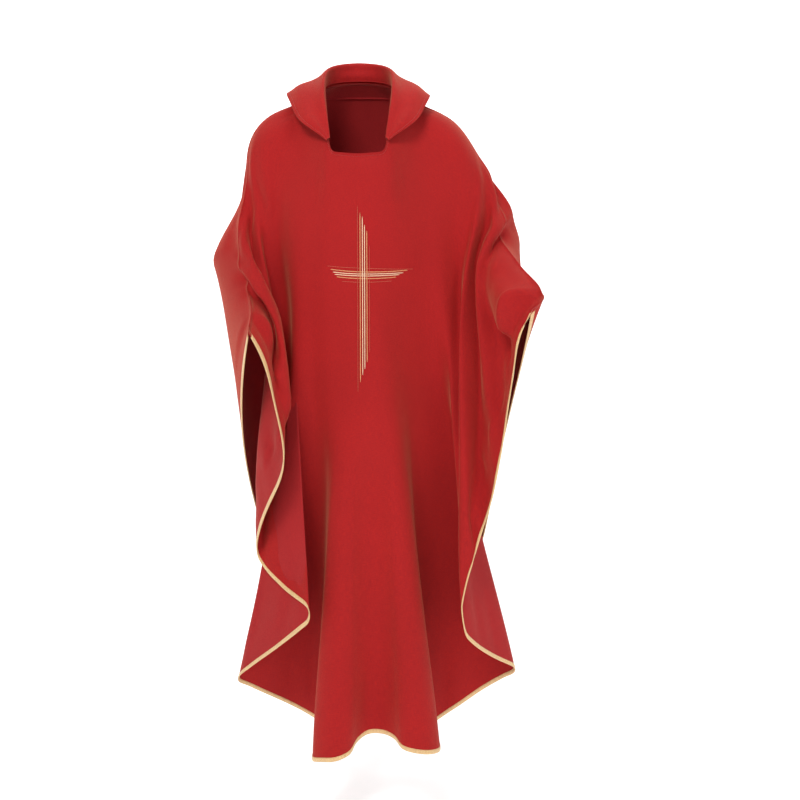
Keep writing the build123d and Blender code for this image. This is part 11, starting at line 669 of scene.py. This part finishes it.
# ------------------------------------------------------------ binding folded over the edge
def binding(name, g, sign):
    e0 = up_from_edge(g, 0.0)
    e1 = up_from_edge(g, BIND_W)
    e2 = up_from_edge(g, BIND_W * 0.5)
    n = normals(g, sign)[:, -1]
    n2 = normals(g, sign)[:, -5]
    r = np.concatenate([[0], np.cumsum(np.linalg.norm(np.diff(e0, axis=0), axis=-1))])
    t = BIND_T / 2
    prof = [(1.0, 0.62), (0.96, 0.95), (0.72, 1.0), (0.4, 1.0), (0.12, 0.98), (0.0, 0.55), (-0.03, 0.0), (0.0, -0.55), (0.12, -0.98), (0.4, -1.0), (0.72, -1.0), (0.96, -0.95), (1.0, -0.62)]
    loops, uvs = [], []
    for i in range(len(e0)):
        ring = []
        # slight uneven pull of the stitching
        w = 1.0 + 0.05 * math.sin(r[i] * 210.0) + 0.03 * math.sin(r[i] * 83.0)
        for a, h in prof:
            p = e0[i] * (1 - a) + e1[i] * a if a >= 0.5 else e0[i] * (1 - 2 * a) + e2[i] * 2 * a
            nn = n[i] * (1 - a) + n2[i] * a
            ring.append(p + nn * (h * t * w))
            uvs.append((r[i], a * BIND_W + (0.02 if h < 0 else 0)))
        loops.append(np.array(ring))
    return tube(name, loops, [SATIN], uvs=uvs)


def longer(g, n):
    return catmull(g, n)


front_bind = binding("front_edge_binding", longer(FG[:, -12:], NU * 2 - 1)[2:-2], FS)
back_bind = binding("back_edge_binding", longer(BG[:, -12:], NU * 2 - 1)[2:-2], BS)


# ------------------------------------------------------------ rows of stitches
def stitches(name, line, nrm, off, mat, step=0.0036, length=0.0025, w=0.00028):
    r = np.concatenate([[0], np.cumsum(np.linalg.norm(np.diff(line, axis=0), axis=-1))])
    k = int(r[-1] / step)
    verts, faces, uvs = [], [], []
    for q in range(k):
        a, b = q * step, q * step + length
        P = np.array([[np.interp(s, r, line[:, c]) for c in range(3)] for s in (a, (a + b) / 2, b)])
        N = np.array([[np.interp(s, r, nrm[:, c]) for c in range(3)] for s in (a, (a + b) / 2, b)])
        T = P[2] - P[0]
        T /= max(np.linalg.norm(T), 1e-9)
        base = len(verts)
        for j, lift in ((0, 0.1), (1, 1.0), (2, 0.1)):
            S = np.cross(T, N[j])
            S /= max(np.linalg.norm(S), 1e-9)
            c = P[j] + N[j] * (off + lift * w)
            for d in ((1, 0), (0, 1), (-1, 0), (0, -1)):
                verts.append(c + S * d[0] * w + N[j] * d[1] * w * 0.8)
                uvs.append((a + j * 0.001, d[0] * w))
        for j in range(2):
            for d in range(4):
                e = (d + 1) % 4
                faces.append((base + j * 4 + d, base + j * 4 + e, base + (j + 1) * 4 + e, base + (j + 1) * 4 + d))
        faces.append((base + 3, base + 2, base + 1, base))
        faces.append((base + 8, base + 9, base + 10, base + 11))
    return make(name, verts, faces, [mat], uvs=uvs)


front_stitch = stitches("front_edge_stitching", up_from_edge(FG, BIND_W * 0.86), normals(FG, FS)[:, -5], BIND_T / 2 * 0.98, SEW)
back_stitch = stitches("back_edge_stitching", up_from_edge(BG, BIND_W * 0.86), normals(BG, BS)[:, -5], BIND_T / 2 * 0.98, SEW)

# ------------------------------------------------------------ facings inside the neck
def facing(name, g, sign):
    rows = [down(g, s) for s in np.linspace(0.0005, 0.038, 9)]
    h = np.stack(rows, 1)[10:-10]
    return slab(name, h, sign, -0.0027, -0.0019, [FACE])


front_facing = facing("front_neck_facing_cloth", FG, FS)
back_facing = facing("back_neck_facing_cloth", BG, BS)
neck_stitch = stitches("front_neck_stitching", down(FG, 0.006)[6:-6], normals(FG, FS)[6:-6, 3], CLOTH / 2, SEW_RED)

# ------------------------------------------------------------ roll collar
CG = fine(grid(COLLAR), 201, 65)
nC = normals(CG, 1.0)
k = len(CG) // 2
CS = 1.0 if (nC[k, 45:60] * np.array((0, 0.7, 0.7))).sum() > 0 else -1.0
# the edge lies a little unevenly, as soft cloth does
uu = np.linspace(0, 1, CG.shape[0])[:, None]
vv = np.linspace(0, 1, CG.shape[1])[None, :]
wave = 0.0016 * np.sin(uu * 31.0 + 0.7) * vv ** 3 + 0.0010 * np.sin(uu * 57.0) * vv ** 4
ends = np.clip(np.minimum(uu, 1 - uu) / 0.12, 0, 1)
CG = CG + normals(CG, CS) * (wave * ends)[..., None]
NC = normals(CG, CS)


def collar_ply(name, lo, hi, mat):
    o = slab(name, CG, CS, lo, hi, [mat])
    return o


collar_top = collar_ply("collar_outer_ply", 0.0002, 0.0016, RED)
collar_bottom = collar_ply("collar_under_ply", -0.0016, -0.0002, RED)
collar_stiff = slab("collar_interfacing_ply", CG[8:-8, 4:-4], CS, -0.00015, 0.00015, [STIFF])
# rounded, turned edge joining the two plies along the free edge
edge = CG[:, -1]
tdir = CG[:, -1] - CG[:, -3]
tdir /= np.maximum(np.linalg.norm(tdir, axis=-1, keepdims=True), 1e-9)
rE = np.concatenate([[0], np.cumsum(np.linalg.norm(np.diff(edge, axis=0), axis=-1))])
loops, uvs = [], []
for i in range(len(edge)):
    ring = []
    for q in range(10):
        a = 2 * math.pi * q / 10
        ring.append(edge[i] - tdir[i] * 0.0004 + tdir[i] * (0.0013 * math.cos(a)) + NC[i, -1] * (0.00175 * math.sin(a)))
        uvs.append((rE[i], 0.001 * q))
    loops.append(np.array(ring))
collar_edge = tube("collar_turned_edge", loops, [RED], uvs=uvs)
collar_stitch = stitches("collar_edge_stitching", CG[:, -5], NC[:, -5], 0.0016, SEW_RED, step=0.0032, length=0.0022)

# ------------------------------------------------------------ shoulder seams
def tape(name, i, k):
    rows = []
    for j in range(int(NV / 14), int(NV * 3 / 14) + 1, 2):
        p = 0.5 * (FG[i, j] + BG[i, j])
        a = FG[k, j] - p
        b = BG[k, j] - p
        a /= max(np.linalg.norm(a), 1e-9)
        b /= max(np.linalg.norm(b), 1e-9)
        inner = (a + b) / max(np.linalg.norm(a + b), 1e-9)
        if inner[2] > 0:    # the seam lies in a slight dip, so the wearer's side is still below it
            inner = -inner
        lean = max(float(np.linalg.norm(np.cross(a, inner))), 0.22)
        c = p + inner * (0.0024 / lean + 0.0046)
        rows.append([c + a * 0.004, c - inner * 0.0002, c + b * 0.004])
    h = catmull(np.array(rows).transpose(1, 0, 2), 7).transpose(1, 0, 2)
    return slab(name, h, 1.0, -0.0004, 0.0004, [TAPE])


tape_r = tape("right_shoulder_tape_cloth", 0, 2)
tape_l = tape("left_shoulder_tape_cloth", -1, -3)


def seam(name, i, k):
    """Raised line where the two panels are joined along the top of the sleeve."""
    p = 0.5 * (FG[i, :-4] + BG[i, :-4])
    a = FG[k, :-4] - p
    b = BG[k, :-4] - p
    a /= np.maximum(np.linalg.norm(a, axis=-1, keepdims=True), 1e-9)
    b /= np.maximum(np.linalg.norm(b, axis=-1, keepdims=True), 1e-9)
    inner = (a + b)
    inner /= np.maximum(np.linalg.norm(inner, axis=-1, keepdims=True), 1e-9)
    t = np.gradient(p, axis=0)
    t /= np.maximum(np.linalg.norm(t, axis=-1, keepdims=True), 1e-9)
    side = np.cross(t, inner)
    r = np.concatenate([[0], np.cumsum(np.linalg.norm(np.diff(p, axis=0), axis=-1))])
    loops, uvs = [], []
    for j in range(len(p)):
        ring = []
        for q in range(8):
            an = 2 * math.pi * q / 8
            ring.append(p[j] + inner[j] * (0.0007 * math.cos(an)) + side[j] * (0.0011 * math.sin(an)))
            uvs.append((r[j], 0.0006 * q))
        loops.append(np.array(ring))
    return tube(name, loops, [RED], uvs=uvs)


seam_r, seam_l = seam("right_shoulder_seam_line", 0, 2), seam("left_shoulder_seam_line", -1, -3)

# ------------------------------------------------------------ embroidered cross
bvh = BVHTree.FromPolygons([tuple(v.co) for v in front.data.vertices], [tuple(p.vertices) for p in front.data.polygons])
SIZE = {0: (0.00034, 0.0002), 1: (0.00082, 0.0005), 2: (0.00076, 0.0005)}
cross_parts = {}
for name, (kind, pts) in CROSS.items():
    a = catmull(np.array(pts) / 1000.0, 90)
    P, N = [], []
    for p in a:
        hit, nn, _, _ = bvh.ray_cast(Vector((p[0], p[1] - 0.05, p[2])), Vector((0, 1, 0)), 0.12)
        if hit is None:
            hit, nn, _, _ = bvh.find_nearest(Vector(p))
        if nn.y > 0:
            nn = -nn
        P.append(tuple(hit))
        N.append(tuple(nn))
    P, N = np.array(P), np.array(N)
    for _ in range(3):
        P[1:-1] = 0.25 * P[:-2] + 0.5 * P[1:-1] + 0.25 * P[2:]
        N[1:-1] = 0.25 * N[:-2] + 0.5 * N[1:-1] + 0.25 * N[2:]
    N /= np.linalg.norm(N, axis=-1, keepdims=True)
    w, h = SIZE[kind]
    T = np.gradient(P, axis=0)
    T /= np.linalg.norm(T, axis=-1, keepdims=True)
    S = np.cross(T, N)
    lift = h * 0.75 + (0.0009 if "upright" in name else 0.0)
    r = np.concatenate([[0], np.cumsum(np.linalg.norm(np.diff(P, axis=0), axis=-1))])
    loops, uvs = [], []
    for i in range(len(P)):
        taper = min(1.0, 0.35 + min(i, len(P) - 1 - i) / 3.0)
        ring = []
        for q in range(10):
            an = 2 * math.pi * q / 10
            ring.append(P[i] + N[i] * (lift + h * math.sin(an) * taper) + S[i] * (w * math.cos(an) * taper))
            uvs.append((r[i], 0.0008 * math.cos(an)))
        loops.append(np.array(ring))
    cross_parts[name] = tube(name + "_thread", loops, [(FINE, GOLD, PALE)[kind]], uvs=uvs)

# ------------------------------------------------------------ what rides on what
everything = [
    (front, "front_panel", "body_cloth"), (back, "back_panel", "body_cloth"),
    (front_bind, "front_hem_binding", "satin_binding"), (back_bind, "back_hem_binding", "satin_binding"),
    (front_facing, "front_neck_facing", "lining_cloth"), (back_facing, "back_neck_facing", "lining_cloth"),
    (tape_r, "right_shoulder_seam_tape", "lining_cloth"), (tape_l, "left_shoulder_seam_tape", "lining_cloth"),
    (collar_top, "collar_upper", "body_cloth"), (collar_bottom, "collar_under", "body_cloth"),
    (collar_stiff, "collar_interfacing", "interfacing"),
]
for name, o in cross_parts.items():
    everything.append((o, name, "pale_thread" if "pale" in name else "gold_thread"))
for o, n, s in everything:
    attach(o, "root")
    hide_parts(n)
for o, s in ((front_stitch, "satin_binding"), (back_stitch, "satin_binding"), (neck_stitch, "body_cloth"), (collar_edge, "body_cloth"), (collar_stitch, "body_cloth"), (seam_r, "body_cloth"), (seam_l, "body_cloth")):
    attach(o, "root")

# ------------------------------------------------------------ studio
FLOOR_Z = -1.43
bpy.ops.mesh.primitive_plane_add(size=1)
floor = bpy.context.object
floor.name = "floor"
floor.scale = (26, 20, 1)
floor.location = (0, 0.0, FLOOR_Z)
fm = bpy.data.materials.new("floor_paper")
fm.use_nodes = True
fb = fm.node_tree.nodes["Principled BSDF"]
fb.inputs["Base Color"].default_value = (0.93, 0.93, 0.93, 1)
fb.inputs["Roughness"].default_value = 0.95
fb.inputs["Emission Color"].default_value = (1, 1, 1, 1)
fb.inputs["Emission Strength"].default_value = 0.42
floor.data.materials.append(fm)
bpy.ops.mesh.primitive_plane_add(size=1)
wall = bpy.context.object
wall.name = "backdrop"
wall.scale = (26, 14, 1)
wall.rotation_euler = (math.pi / 2, 0, 0)
wall.location = (0, 9.0, FLOOR_Z + 7.0)
wm = bpy.data.materials.new("backdrop_paper")
wm.use_nodes = True
wb = wm.node_tree.nodes["Principled BSDF"]
wb.inputs["Base Color"].default_value = (0.95, 0.95, 0.95, 1)
wb.inputs["Roughness"].default_value = 1.0
wb.inputs["Emission Color"].default_value = (1, 1, 1, 1)
wb.inputs["Emission Strength"].default_value = 0.75
wall.data.materials.append(wm)
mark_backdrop(floor, wall)

world = bpy.data.worlds.new("studio")
sc.world = world
world.use_nodes = True
bg = world.node_tree.nodes["Background"]
bg.inputs[0].default_value = (1.0, 1.0, 1.0, 1)
bg.inputs[1].default_value = 0.50


def lamp(name, loc, target, size, energy, color=(1, 1, 1)):
    d = bpy.data.lights.new(name, "AREA")
    d.shape = "RECTANGLE"
    d.size, d.size_y = size
    d.energy = energy
    d.color = color
    o = bpy.data.objects.new(name, d)
    o.location = loc
    o.rotation_euler = (Vector(target) - Vector(loc)).to_track_quat("-Z", "Y").to_euler()
    sc.collection.objects.link(o)
    return o


lamp("key", (-0.9, -2.6, 2.3), (0.0, 0.0, -0.5), (1.1, 0.9), 74, (1.0, 0.97, 0.93))
lamp("fill", (2.2, -2.4, 0.6), (0.0, 0.0, -0.6), (1.4, 1.8), 18, (0.96, 0.98, 1.0))
lamp("top", (0.2, 0.6, 2.6), (0.0, 0.0, -0.3), (1.4, 1.0), 30)

cam_data = bpy.data.cameras.new("camera")
cam_data.lens = 80
cam_data.sensor_width = 36
cam = bpy.data.objects.new("camera", cam_data)
cam.location = (0.08, -3.5, 0.10)
cam.rotation_euler = (Vector((0.08, 0, -0.59)) - cam.location).to_track_quat("-Z", "Y").to_euler()
sc.collection.objects.link(cam)
sc.camera = cam
sc.view_settings.view_transform = "Standard"
sc.view_settings.look = "None"

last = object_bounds()


def plain(x):
    if isinstance(x, dict):
        return {str(k): plain(v) for k, v in x.items()}
    if hasattr(x, "__iter__") and not isinstance(x, str):
        return [plain(v) for v in x]
    return float(x) if isinstance(x, (int, float)) or hasattr(x, "real") else str(x)


{"cad": plain(first), "visual": plain(last)}
